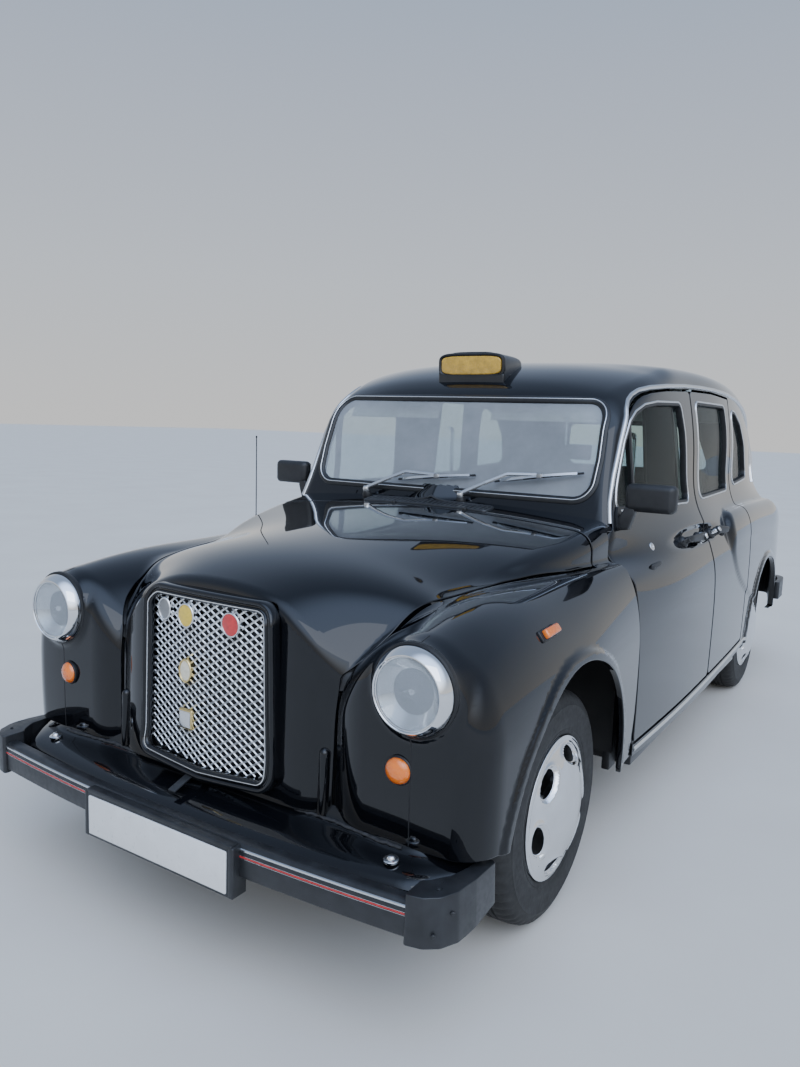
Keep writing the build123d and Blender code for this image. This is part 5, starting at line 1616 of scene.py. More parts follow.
# ------------------------------------------------------------------ side trim on the body surface
GUTTER = [(632, 1112), (658, 1185), (698, 1276), (758, 1395), (805, 1470), (843, 1519), (882, 1550), (923, 1572), (977, 1592), (1060, 1607), (1226, 1622),
          (1470, 1636), (1715, 1643), (1941, 1644), (2212, 1640), (2529, 1621), (2740, 1588), (2865, 1548), (2940, 1474), (2985, 1370), (2993, 1270), (2976, 1175)]
gl = round_path(GUTTER, [4, 150, 300, 300, 150, 120, 100, 100, 200, 300, 600, 900, 900, 900, 900, 900, 400, 120, 160, 160, 120, 5], 14, closed=False)
gp = on_side(cabin_field, gl)
gn = normals_of(cabin_field, gp)
gut = Build("bright", "rubber")
for k in (1, -1):
    p, n = gp * np.array([k, 1, 1]), gn * np.array([k, 1, 1])
    gut.add(sweep(p, n, [(-8.5, -2), (-8.5, 4), (-6.5, 8), (-2, 10), (3, 9.5), (6.5, 6), (8.5, 2), (8.5, -2)]), 0)
gut.make("gutter_moulding", "body", (), "chrome", 45)

sill = Build("bright", "plastic")
st = np.arange(606, 2372, 18.0)
fpts = on_side(cabin_field, np.stack([st, np.interp(st, [600, 2300], [334, 388])], 1))
nn = normals_of(cabin_field, fpts)
for k in (1, -1):
    p, n = fpts * np.array([k, 1, 1]), nn * np.array([k, 1, 1])
    sill.add(sweep(p, n, [(-9, -3), (-9, 1.5), (-5, 4.5), (0, 5.5), (5, 4.5), (9, 1.5), (9, -3)]), 0)
sill.make("sill_mouldings", "body", (), "chrome", 45)

# ------------------------------------------------------------------ windows


def ring(field, pts, radius, plane, step=14):
    line = round_path(pts, radius, step)
    p = {"side": on_side, "front": on_front, "rear": on_rear}[plane](field, line)
    return p, normals_of(field, p)


def window_set(name, outline, radius, body, k, glass_node, divider=None):
    grown = offset_outline(outline, 8.0)
    p, n = ring(cabin_field, grown, radius + 8, "side")
    p, n = p * np.array([k, 1, 1]), n * np.array([k, 1, 1])
    b = Build("bright", "rubber", "plastic")
    b.add(sweep(p, n, half_round(9, 4.5, -3), True), 0)
    b.add(sweep(p, n, [(-3.5, 2.4), (-9, 3.2), (-14, 1.5), (-16, -5), (-15, -22), (-8, -24), (-3, -20), (-1, -4)], True), 1)
    if divider is not None:
        line = on_side(cabin_field, divider) * np.array([k, 1, 1])
        m = normals_of(cabin_field, line)
        b.add(sweep(line, m, [(-11, -20), (-11, -3), (-8, -0.5), (8, -0.5), (11, -3), (11, -20)]), 1)
        b.add(sweep(line, m, [(-8, -1), (-7, 1.5), (-4, 1.5), (-3, -1)]), 2)
    b.make(name + "_seal", body, (), "black_paint", 45)
    cutp = cuts(cabin_left, cabin_field, rounded_cut(outline, radius, 3.0), lambda x, s, z: 400 - x)
    v, f = cutp if k > 0 else mirrored(*cutp)
    ob = shell(name + "_pane", v, f, cabin_field, [MAT["glass"], MAT["glass"]], 5.0, 0.0, start=15.0)
    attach(ob, body)
    if glass_node:
        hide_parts(glass_node)
    return ob


for side, k in SIDES:
    div = np.array([(872, 1160), (862, 1250), (850, 1360), (846, 1464)])
    window_set("front_window_" + side, FRONT_WINDOW, 34, "front_door_" + side, k, "front_door_glass_" + side, div)
    window_set("rear_window_" + side, REAR_WINDOW, 34, "rear_door_" + side, k, "rear_door_glass_" + side)
    window_set("quarter_window_" + side, QUARTER_WINDOW, 40, "body", k, "quarter_windows")

SCREEN_R, BACK_R = 74, 60
p, n = ring(cabin_field, offset_outline(SCREEN, 4), SCREEN_R + 4, "front")
seal = Build("rubber", "bright")
seal.add(sweep(p, n, [(16, -3), (15, 3), (9, 6.5), (0, 7.5), (-8, 5), (-14, 0), (-16, -8), (-12, -14), (8, -12)], True), 0)
seal.add(sweep(p + n * 6.6, n, half_round(5, 2.2, -1.5), True), 1)
seal.make("windscreen_seal", "body", (), "black_paint", 45)
pane = cuts(cabin_left, cabin_field, rounded_cut(SCREEN, SCREEN_R, 2.0, "end"), lambda x, s, z: s - 1000)
ob = shell("windscreen_pane", *both_halves(*pane), cabin_field, [MAT["screen_glass"], MAT["glass"]], 6.0, 0.0, start=5.0)
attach(ob, "body")
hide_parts("windscreen")

p, n = ring(cabin_field, offset_outline(BACKLIGHT, 4), BACK_R + 4, "rear")
seal = Build("rubber", "bright")
seal.add(sweep(p, n, [(15, -3), (14, 3), (8, 6), (0, 7), (-8, 5), (-13, 0), (-14, -8), (-10, -14), (8, -12)], True), 0)
seal.add(sweep(p + n * 6.2, n, half_round(7, 2.4, -1.5), True), 1)
seal.make("rear_window_seal", "body", (), "black_paint", 45)
pane = cuts(cabin_left, cabin_field, rounded_cut(BACKLIGHT, BACK_R, 2.0, "end"), lambda x, s, z: 2900 - s, lambda x, s, z: 1160 - z)
ob = shell("rear_window_pane", *both_halves(*pane), cabin_field, [MAT["glass"], MAT["glass"]], 5.0, 0.0, start=5.0)
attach(ob, "body")
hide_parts("rear_window")

# ------------------------------------------------------------------ mirrors, handles, wipers, aerial, sign
for side, k in SIDES:
    m = Build("mirror_plastic", "reflector", "rubber")

    def head_taper(v):
        w = v.copy()
        t = (v[:, 1] - 672) / 54.0
        grow = 1 - 0.055 * (1 - np.clip(t, 0, 1)) ** 2
        w[:, 0] = 806 + (v[:, 0] - 806) * grow
        w[:, 2] = 1206 + (v[:, 2] - 1206) * grow
        w[:, 1] = v[:, 1] + 7.0 * ((v[:, 0] - 806) / 90.0) ** 2 * (1 - np.clip(t, 0, 1))
        return w
    v, f = rbox((716, 670, 1156), (896, 726, 1256), 21, 6)
    m.add((head_taper(v) * np.array([k, 1, 1]), f), 0)
    v, f = rbox((727, 722, 1165), (886, 728.5, 1247), 3, 2)
    m.add((v * np.array([k, 1, 1]), f), 1)
    v, f = prism([(686, 1084), (738, 1092), (756, 1150), (756, 1172), (722, 1172), (700, 1132), (672, 1116)], "s", 678, 714, 6, 3)
    m.add((v * np.array([k, 1, 1]), f), 0)
    plate = round_path([(664, 1088), (740, 1092), (724, 1142), (697, 1176), (676, 1140)], 9, 6)
    pp = on_side(cabin_field, plate)
    pn = normals_of(cabin_field, pp)
    m.add((lambda q: (q[0] * np.array([k, 1, 1]), q[1]))(slab_fan(pp + pn * 7.0, pp - pn * 4.0)), 0)
    m.make("door_mirror_%s_shell" % side, "front_door_" + side, "door_mirror_" + side, "bumper_plastic", 45)
    for nm, s0, s1, z, body in (("front", 1204.0, 1450.0, 1001.0, "front_door_" + side), ("rear", 1596.0, 1800.0, 1003.0, "rear_door_" + side)):
        h = Build("mirror_plastic", "chrome", "rubber")
        put = lambda q: (q[0] * np.array([k, 1, 1]), q[1])
        t = np.linspace(0, 1, 21)
        lug = t if nm == "front" else 1 - t
        p = on_side(cabin_field, np.stack([s0 + (s1 - s0) * t, np.full(21, z)], 1))
        nn = normals_of(cabin_field, p)
        nn = nn / np.linalg.norm(nn, axis=1)[:, None]
        lift = 8.0 + 24.0 * np.minimum(1, np.sin(math.pi * np.clip(t, 0.0, 1.0)) * 1.9) ** 0.8
        grow = 0.72 + 0.42 * lug
        rings_ = []
        for q in range(21):
            e = max(0.12, min(1.0, 9.0 * t[q] + 0.1, 9.0 * (1 - t[q]) + 0.1)) ** 0.5
            ring_ = []
            for a in np.linspace(0, 2 * math.pi, 22, endpoint=False):
                ca, sa = math.cos(a), math.sin(a)
                ring_.append(p[q] + nn[q] * (lift[q] + 9.0 * e * np.sign(ca) * abs(ca) ** 0.7) + np.array([0, 0, 1.0]) * 17.0 * grow[q] * e * np.sign(sa) * abs(sa) ** 0.75)
            rings_.append(ring_)
        rings_ = np.array(rings_)
        fc = [(i * 22 + j, i * 22 + (j + 1) % 22, (i + 1) * 22 + (j + 1) % 22, (i + 1) * 22 + j) for i in range(20) for j in range(22)]
        fc += [tuple(reversed(range(22))), tuple(20 * 22 + j for j in range(22))]
        h.add(put((rings_.reshape(-1, 3), fc)), 0)
        for j in (2, 18):
            h.add(put(rev([(25, -4), (25, 4), (22, 9), (15, 14), (12, 30), (0, 31)], p[j], nn[j], 28)), 0)
        j = 17 if nm == "front" else 3
        h.add(put(rev([(12.5, 20), (12.5, 43), (10.5, 46), (4, 47), (0, 47)], p[j], nn[j], 30)), 1)
        h.add(put(rev([(17, 20), (17, 41), (15, 43), (12.5, 43), (12.5, 20)], p[j], nn[j], 30)), 0)
        j = 19 if nm == "front" else 1
        h.add(put(rev([(9, 10), (9, 34), (7, 37), (0, 38)], p[j], nn[j], 24)), 1)
        if nm == "front":
            c = on_side(cabin_field, [(905.0, 1012.0)])[0]
            h.add(put(rev([(15, -2), (15, 2.5), (12, 4.5), (6, 4.5), (5, 3.2), (0, 3.2)], c, normals_of(cabin_field, c[None])[0], 28)), 1)
        h.make("%s_handle_%s" % (nm, side), body, (), "chrome", 40)

wp = Build("bright", "rubber", "steel")
for xb, elbow, b_in, b_out in ((-318.0, (-150.0, 1236.0), (-190.0, 1210.0), (150.0, 1246.0)), (118.0, (290.0, 1252.0), (236.0, 1228.0), (572.0, 1278.0))):
    base = on_top(front_field, [(xb, 588.0)])[0]
    scr = lambda x, z: on_front(cabin_field, [(x, z)])[0]
    n_s = np.array([0, -0.938, 0.345])
    wp.add(rev([(19, -8), (19, 8), (16, 15), (12, 24), (0, 26)], base, (0, -0.35, 0.94), 24), 1)
    wp.add(rev([(13, 22), (13, 34), (10, 40), (0, 42)], base, (0, -0.35, 0.94), 24), 0)
    mid_x, mid_z = 0.5 * (b_in[0] + b_out[0]), 0.5 * (b_in[1] + b_out[1])
    root = base + np.array([0, -12, 33])
    bend = scr(*elbow) + n_s * 34
    arm = np.array([root - np.array([8, 0, 4]), root + (bend - root) * 0.55 + n_s * 3, bend, scr(mid_x, mid_z + 6) + n_s * 24])
    arm = round_path(arm, 40, 10, closed=False)
    taper = np.linspace(1.25, 0.75, len(arm))
    v, f = sweep(arm, n_s, [(-7.5, -2.5), (-7.5, 1.5), (-4, 4), (4, 4), (7.5, 1.5), (7.5, -2.5)])
    wp.add((v, f), 0)
    bl = np.linspace(scr(*b_in), scr(*b_out), 16)
    for q in range(16):
        bl[q] = scr(bl[q][0], bl[q][2]) + n_s * 11
    wp.add(sweep(bl, n_s, [(-2.2, -6), (-4, 0), (-3.5, 3), (3.5, 3), (4, 0), (2.2, -6)]), 1)
    top = bl + n_s * 3
    arch = top[1:-1] + n_s * (13 * np.sin(np.linspace(0.1, math.pi - 0.1, 14)))[:, None]
    wp.add(sweep(arch, n_s, [(-4.5, -2), (-4.5, 2), (4.5, 2), (4.5, -2)]), 0)
    for q in (3, 12):
        small = top[q - 2:q + 3] + n_s * (6 * np.sin(np.linspace(0.1, math.pi - 0.1, 5)))[:, None]
        wp.add(sweep(small, n_s, [(-4, -1.5), (-4, 1.5), (4, 1.5), (4, -1.5)]), 2)
    mid = top[8] + n_s * 12
    wp.add(rbox(mid - 10, mid + 10, 4, 3), 2)
wp.make("wiper_arms", "body", "wipers", "wiper_steel", 35)

ae = Build("sign_black", "chrome", "rubber")
base = on_top(front_field, [(-668.0, 310.0)])[0]
ae.add(rev([(18, -4), (18, 4), (15, 9), (8, 16), (6, 26), (3.6, 30), (3.4, 44), (0, 45)], base, (-0.06, 0, 1), 24), 2)
a0 = base + np.array([-2, 0, 30])
a1 = np.array([base[0] - 14, base[1] + 10, 1366.0])
ae.add(tube(np.linspace(a0, a1, 9), 2.1, 8, up=(0, 1, 0.02)), 0)
ae.add(rev([(0, 6), (3, 5), (4, 1), (3, -3), (0, -4)], a1 - np.array([0, 0, 4]), (0, 0, 1), 12), 0)
ae.make("aerial_mast", "body", "aerial", "wiper_steel", 35)

sg = Build("sign_black", "sign_face", "rubber", "bright")
n_len = 26
rings_v = []
roof_at = lambda x, s: on_top(cabin_field, [(x, s)])[0][2]
base_z = roof_at(0, 900.0)
for t in np.linspace(0, 1, n_len):
    s = 846 + 262 * t
    w = 151 * (1 - 0.22 * t ** 1.5) * math.sqrt(max(0.02, 1 - (max(0, t - 0.72) / 0.29) ** 2.4))
    zb = roof_at(0, s) - 12
    top = 1735 - 4 * t ** 2 - 9 * max(0, t - 0.6) ** 2 * 9
    hgt = max(top - zb, 8)
    hgt = hgt * min(1.0, 0.90 + t * 4)
    rg = []
    for a in np.linspace(0, math.pi, 25):
        cx, cz = math.cos(a), math.sin(a)
        e = 2 / 4.2
        px = w * np.sign(cx) * abs(cx) ** e
        pz = hgt * abs(cz) ** e
        zloc = on_top(cabin_field, [(px, s)])[0][2] - 10 if pz < 1 else zb
        rg.append((px, s - 6 * (pz / 80.0), zloc + pz))
    rings_v.append(rg)
v = np.array(rings_v)
m_, n_ = v.shape[:2]
f = [(i * n_ + j, i * n_ + j + 1, (i + 1) * n_ + j + 1, (i + 1) * n_ + j) for i in range(m_ - 1) for j in range(n_ - 1)]
f += [(i * n_ + n_ - 1, i * n_, (i + 1) * n_, (i + 1) * n_ + n_ - 1) for i in range(m_ - 1)]
f += [tuple(range(n_)), tuple((m_ - 1) * n_ + j for j in reversed(range(n_)))]
sg.add((v.reshape(-1, 3), f), 0)
outline = []
for a in np.linspace(0, 2 * math.pi, 48, endpoint=False):
    cx, cz = math.cos(a), math.sin(a)
    e = 2 / 5.0
    outline.append((136 * np.sign(cx) * abs(cx) ** e, 1680 + 37 * np.sign(cz) * abs(cz) ** e))
v2, f2 = prism(outline, "s", 833, 854, 5, 3)
v2[:, 1] -= (v2[:, 2] - 1680) * 0.06
sg.add((v2, f2), 1)
outer = [(x * 1.07, 1680 + (z - 1680) * 1.2) for x, z in outline]
lp = np.array([(x, 842 - (z - 1680) * 0.06, z) for x, z in outer])
sg.add(sweep(lp, (0, -1, 0), [(-8, -2), (-7, 4), (-2, 7), (4, 5), (6, 0), (5, -8), (-8, -8)], True), 0)
sg.add(rbox((-149, 838, 1606), (149, 862, 1648), 6, 3), 0)
for k in (1, -1):
    sg.add(rbox((k * 136 - 13, 880, base_z - 18), (k * 136 + 13, 990, base_z + 6), 6, 3), 2)
sg.make("roof_sign_shell", "body", "roof_sign", "sign", 40)

# louvred air intake and washer jets on the scuttle, with a dark sheet under the slats as painted shade in the intake
# opening
cw = Build("plastic", "rubber", "paint")
for i in range(26):
    x = -250 + 20 * i
    p0, p1 = on_top(front_field, [(x, 502.0), (x, 556.0)])
    d = p1 - p0
    cw.add(sweep(np.linspace(p0 + np.array([0, 0, 0.5]), p1 + np.array([0, 0, 0.5]), 4), (0.35, 0, 1), [(-6.5, -1), (-6.5, 1), (4.5, 4.6), (6.5, 3.4), (6.5, -1)]), 0)
edge = round_path([(-268, 494), (268, 494), (268, 566), (-268, 566)], 12, 12)
pe = on_top(front_field, edge)
cw.add(sweep(pe, (0, 0, 1), half_round(11, 6, -2), True), 0)
# dark sheet under the slats: painted shade standing in for the dark opening below them
gx = np.array([[on_top(front_field, [(x, s)])[0] + np.array([0, 0, 0.6]) for x in np.linspace(-264, 264, 12)] for s in (498.0, 530.0, 562.0)])
cw.add(slab(gx, (0, 0, -2)), 1)
for x in (-120.0, 190.0):
    b = on_top(front_field, [(x, 484.0)])[0]
    cw.add(rev([(9, -2), (9, 4), (7, 8), (0, 10)], b, (0, -0.3, 1), 16), 1)
cw.make("scuttle_louvres", "body", (), "bumper_plastic", 40)

# seams below the lamps and across their tops
sm = Build("rubber")
for k in (1, -1):
    zz = np.linspace(430, 702, 24)
    p = FRONT([(k * 655.0, z) for z in zz])
    sm.add(sweep(p, normals_of(front_field, p), half_round(3.4, 1.0, -1.5, 4)), 0)
    s_ = np.linspace(-592, -545, 8)
    p = on_top(front_field, [(k * 664.0, s) for s in s_])
    sm.add(sweep(p, normals_of(front_field, p), half_round(3.0, 1.0, -1.5, 4)), 0)
sm.make("wing_seams", "body", (), "black_paint", 40)

# ------------------------------------------------------------------ engine bay and boot lining
def tops_at(xs):
    """Height of the front body over each (x, s), for a whole grid at once."""
    xs = np.asarray(xs, float)
    return on_top(front_field, xs.reshape(-1, 2))[:, 2].reshape(xs.shape[:-1])


bay = Build("inner", "paint", "steel", "plastic", "rubber", "plate", "bright")
for k in (1, -1):
    # shelf of the inner wing carried forward to the lamp box
    plan = np.array([[(k * x, s) for x in (350, 380, 410, 440, 480, 520, 560, 600)] for s in (-278.0, -320, -380, -440, -490, -530, -552)])
    grid = np.dstack([plan, np.minimum(873.0 - 26.0 * smooth(-280, -480, plan[:, :, 1]), tops_at(plan) - 30.0)])
    bay.add(slab(grid, (0, 0, -3)), 0)
    # wall below the shelf
    high = np.minimum(870.0, tops_at([(k * 366.0, s) for s in (-396, -440, -500, -540)]) - 34.0)
    grid = np.array([[(k * (358 - 0.10 * (s + 396)), s, 405.0 + t * (h - 405.0)) for s, h in zip((-396, -440, -500, -540), high)] for t in (0.0, 0.33, 0.67, 1.0)])
    bay.add(slab(grid, (k * 3, 0, 0)), 0)
    for s in (-230, -90, 50, 190, 330, 450):
        v, f = rev([(7, -1), (7, 3), (5, 5), (0, 5)], (k * 420, s, 874), (0, 0, 1), 6)
        bay.add((v, f), 2)
# panel that carries the radiator, with a folded top edge
cols = np.linspace(-600, 600, 41)
tops = np.minimum(tops_at([(x, -552.0) for x in cols]) - 26.0, 905.0)
tops = np.minimum(tops, np.concatenate([tops[:1], tops[:-1]]))
tops = np.minimum(tops, np.concatenate([tops[1:], tops[-1:]]))
face = np.array([[(x, z) for x, z in zip(cols, 372.0 + (tops - 372.0) * q)] for q in (0.0, 0.25, 0.5, 0.75, 1.0)])
depth = np.clip(on_front(front_field, face.reshape(-1, 2))[:, 1].reshape(face.shape[:2]) + 28.0, -552.0, -505.0)
grid = np.dstack([face[:, :, 0], depth, face[:, :, 1]])
bay.add(slab(grid, (0, 3, 0)), 0)
plan = np.array([[(x, s + d) for x, s in zip(cols, depth[-1])] for d in (0.0, 16.0, 32.0)])
fold = np.dstack([plan, np.minimum(tops[None, :] - 1.0, tops_at(plan) - 27.0)])
bay.add(slab(fold, (0, 0, -3)), 0)
bay.add(rbox((-48, -556, 880), (48, -512, 914), 5, 2), 2)
bay.add(rev([(11, 0), (11, 22), (8, 26), (0, 26)], (0, -530, 904), (0, 0, 1), 20), 2)
# radiator core with fins, tanks, filler cap and hoses
bay.add(rbox((-262, -546, 392), (262, -506, 822), 3, 1), 3)
for i in range(47):
    z = 398 + 9.0 * i
    bay.add(rbox((-256, -507, z), (256, -499.5, z + 1.6), 0, 1), 2)
for i in range(18):
    x = -246 + 29.0 * i
    bay.add(rbox((x - 2, -507, 396), (x + 2, -502, 818), 0, 1), 2)
for k in (1, -1):
    bay.add(rbox((k * 268 - 7, -550, 384), (k * 268 + 7, -498, 836), 3, 2), 1)
bay.add(rbox((-268, -548, 818), (268, -492, 872), 13, 4), 3)
bay.add(rbox((-268, -548, 372), (268, -494, 398), 10, 3), 3)
bay.add(rev([(27, 0), (27, 8), (24, 11), (12, 12), (10, 15), (0, 16)], (120, -520, 870), (0, 0, 1), 28), 6)
for pts, rr in (([(-70, -495, 846), (-72, -440, 846), (-60, -350, 812), (-42, -262, 752)], 20.0), ([(110, -496, 430), (112, -430, 432), (92, -350, 470), (70, -250, 520)], 20.0)):
    line = round_path(pts, 60, 12, closed=False)
    bay.add(tube(line, rr, 16), 4)
    for q in (1, len(line) - 2):
        d = line[q + 1] - line[q - 1]
        bay.add(rev([(rr + 0.5, -5), (rr + 3, -4.5), (rr + 3, 4.5), (rr + 0.5, 5)], line[q], d, 24, closed=True), 2)
# battery and washer bottle on the shelves, loom and brake servo on the bulkhead
bay.add(rbox((-556, 150, 873), (-392, 420, 985), 8, 3), 3)
bay.add(rbox((-560, 146, 977), (-388, 424, 1002), 6, 2), 3)
for s in (190, 380):
    bay.add(rev([(9, 0), (8, 16), (0, 17)], (-430, s, 1001), (0, 0, 1), 18), 2)
for s in (205, 245, 285, 325, 365):
    bay.add(rev([(12, 0), (12, 4), (0, 5)], (-500, s, 1001), (0, 0, 1), 18), 3)
bay.add(rbox((-478, 140, 1000), (-462, 430, 1006), 2, 2), 2)
bay.add(rbox((404, 210, 873), (532, 400, 980), 22, 4, taper=lambda v: v + np.stack([(v[:, 2] - 926) * -0.12 * np.sign(v[:, 0] - 468), 0 * v[:, 0], 0 * v[:, 0]], 1)), 5)
bay.add(rev([(20, 0), (20, 14), (17, 18), (0, 18)], (468, 262, 978), (0, 0, 1), 24), 3)
bay.add(tube(round_path([(-600, 484, 905), (-300, 482, 1000), (250, 482, 1000), (600, 484, 905)], 120, 24, closed=False), 9.0, 10), 3)
for x in (-220, -60, 100, 220):
    bay.add(rbox((x - 6, 470, 986), (x + 6, 497, 1013), 3, 2), 2)
bay.add(rev([(0, 0), (44, 0), (88, -12), (98, -34), (100, -52), (98, -70), (88, -92), (50, -102), (0, -104)], (-248, 497, 852), (0, 1, 0), 56), 1)
bay.add(rev([(0, -100), (22, -100), (22, -215), (17, -220), (0, -220)], (-248, 497, 852), (0, 1, 0), 28), 2)
bay.add(rbox((-278, 292, 868), (-218, 372, 918), 12, 4), 5)
bay.make("engine_bay_fittings", "body", (), "chassis_black", 35)

en = Build("iron", "steel", "plastic", "rubber", "exhaust", "bright")
en.add(prism([(-122, 478), (122, 478), (170, 535), (170, 648), (138, 704), (-138, 704), (-170, 648), (-170, 535)], "s", -236, 420, 8, 2), 0)
en.add(rbox((-132, -232, 700), (132, 412, 786), 8, 3), 0)
for s in np.arange(-200, 400, 74.0):
    for k in (1, -1):
        en.add(rbox((min(k * 160, k * 178), s, 545), (max(k * 160, k * 178), s + 9, 642), 3, 2), 0)
        en.add(rev([(10, 0), (10, 7), (7, 9), (0, 9)], (k * 112, s + 20, 786), (0, 0, 1), 6), 1)
en.add(prism([(-100, 784), (100, 784), (102, 800), (96, 836), (74, 860), (-74, 860), (-96, 836), (-102, 800)], "s", -220, 396, 12, 3), 1)
for x in (-48, -24, 0, 24, 48):
    en.add(sweep([(x, s, 859.5) for s in np.linspace(-160, 340, 9)], (0, 0, 1), half_round(8, 5, -2, 5)), 1)
en.add(rev([(30, 0), (30, 12), (26, 16), (12, 17), (10, 22), (0, 22)], (0, -190, 858), (0, 0, 1), 28), 2)
for s in (-205, 90, 375):
    en.add(rev([(13, -2), (13, 4), (9, 6), (9, 12), (0, 12)], (58, s, 858), (0, 0, 1), 12), 5)
# inlet manifold with runners, outlet manifold and down pipe
en.add(tube([(200, s, 756) for s in np.linspace(-170, 350, 9)], 32, 20), 1)
en.add(tube(round_path([(-190, -190, 718), (-190, 240, 706), (-192, 330, 640), (-178, 372, 520), (-168, 390, 420)], 70, 14, closed=False), 25, 16), 4)
for s in (-150, 0, 170, 320):
    en.add(tube(round_path([(126, s, 748), (160, s, 768), (200, s + 6, 758)], 20, 8, closed=False), 21, 14), 1)
    en.add(rbox((124, s - 34, 718), (138, s + 34, 778), 5, 2), 1)
for s in (-160, -20, 130, 270):
    en.add(tube(round_path([(-126, s, 742), (-158, s, 744), (-190, s + 18, 716)], 20, 8, closed=False), 19, 14), 4)
    en.add(rbox((-138, s - 30, 714), (-124, s + 30, 772), 5, 2), 4)
en.add(rev([(0, 0), (46, 0), (52, 8), (52, 150), (46, 160), (0, 160)], (200, -230, 650), (0, 1, 0), 40), 5)
# timing cover, pulleys, belt, alternator and fan
en.add(prism([(-108, 520), (108, 520), (124, 640), (104, 786), (-104, 786), (-124, 640)], "s", -258, -232, 8, 3), 1)
PULLEYS = ((0.0, 566.0, 76.0), (0.0, 716.0, 60.0), (-176.0, 640.0, 34.0))
for x, z, rr in PULLEYS:
    en.add(rev([(0, -12), (rr - 14, -12), (rr - 4, -15), (rr, -15), (rr - 9, -8), (rr, -1), (rr - 4, -1), (rr - 16, -4), (0, -4)], (x, -262, z), (0, 1, 0), 44), 1)
    en.add(rev([(0, -24), (16, -24), (18, -20), (18, 20), (0, 20)], (x, -262, z), (0, 1, 0), 24), 1)
en.add(rev([(0, 0), (50, 2), (62, 14), (62, 92), (50, 106), (0, 108)], (-176, -250, 640), (0, 1, 0), 40), 1)
pts = sorted((round(x + (rr - 4) * math.cos(a), 3), round(z + (rr - 4) * math.sin(a), 3)) for x, z, rr in PULLEYS for a in np.linspace(0, 2 * math.pi, 40, endpoint=False))


def half_hull(points):
    out = []
    for p in points:
        while len(out) > 1 and (out[-1][0] - out[-2][0]) * (p[1] - out[-2][1]) - (out[-1][1] - out[-2][1]) * (p[0] - out[-2][0]) <= 0:
            out.pop()
        out.append(p)
    return out


hull = half_hull(pts)[:-1] + half_hull(pts[::-1])[:-1]
belt = round_path([(x, -270.0, z) for x, z in hull], 3, 14)
en.add(sweep(belt, (0, -1, 0), [(-3, -6), (-3, 6), (4, 5), (4, -5)], True), 3)
fan_at = np.array([0.0, -304.0, 716.0])
en.add(rev([(0, -16), (30, -16), (40, -8), (40, 16), (0, 16)], fan_at, (0, 1, 0), 36), 1)
for i in range(7):
    a = 2 * math.pi * i / 7.0
    rad, tan = np.array([math.cos(a), 0, math.sin(a)]), np.array([-math.sin(a), 0, math.cos(a)])
    grid = np.array([[fan_at + rad * q + tan * t * (26 + 0.16 * q) + np.array([0, 1, 0]) * t * (17 - 0.04 * q) for t in (-1.0, -0.3, 0.4, 1.0)] for q in (34, 80, 130, 172, 184)])
    en.add(slab(grid, (0, 3, 0)), 2)
# sump, bell housing, gearbox and tail housing
en.add(prism([(-128, 484), (128, 484), (122, 430), (92, 407), (-92, 407), (-122, 430)], "s", -192, 396, 7, 2), 0)
for s in np.arange(-160, 380, 60.0):
    for k in (1, -1):
        en.add(rev([(7, -4), (7, 3), (0, 5)], (k * 126, s, 474), (0, 0, -1), 6), 1)
en.add(rbox((-134, 412, 330), (134, 486, 640), 40, 5), 1)
en.add(rbox((-110, 430, 250), (110, 488, 470), 26, 4), 1)
en.add(rbox((-90, 480, 248), (90, 740, 336), 16, 4), 1)
en.add(rbox((-58, 730, 256), (58, 878, 330), 20, 4), 1)
for s in range(520, 740, 36):
    en.add(rbox((-94, s, 246.5), (94, s + 6, 334), 2, 1), 1)
en.make("engine_and_gearbox", "body", "engine", "engine_iron", 35)

# boot floor carried to the skin, side linings and sill
skin_at = lambda xz: on_rear(cabin_field, np.asarray(xz, float))[:, 1]
boot = Build("carpet", "inner", "rubber")
cols = np.linspace(-640, 640, 17)
rear_edge = skin_at([(x, 603.0) for x in cols])
grid = np.array([[(x, s if s < 3600 else e - 20.0, 604.0) for x, e in zip(cols, rear_edge)] for s in (3292.0, 3400.0, 3500.0, 3601.0)])
boot.add(slab(grid, (0, 0, -4)), 0)
grid = np.array([[(x, e - 25.0, z) for x, e in zip(cols, rear_edge)] for z in (420.0, 480.0, 550.0, 603.0)])
boot.add(slab(grid, (0, 4, 0)), 1)
levels = (603.0, 720.0, 840.0, 930.0)
side_edge = skin_at([(640.0, z) for z in levels])
for k in (1, -1):
    grid = np.array([[(k * (642 - 0.06 * (z - 603)), s if s < 3500 else e - 24.0, z) for s in (3240.0, 3380.0, 3501.0)] for z, e in zip(levels, side_edge)])
    boot.add(slab(grid, (-4 * k, 0, 0)), 0)
boot.make("boot_lining", "body", (), "interior_trim", 35)

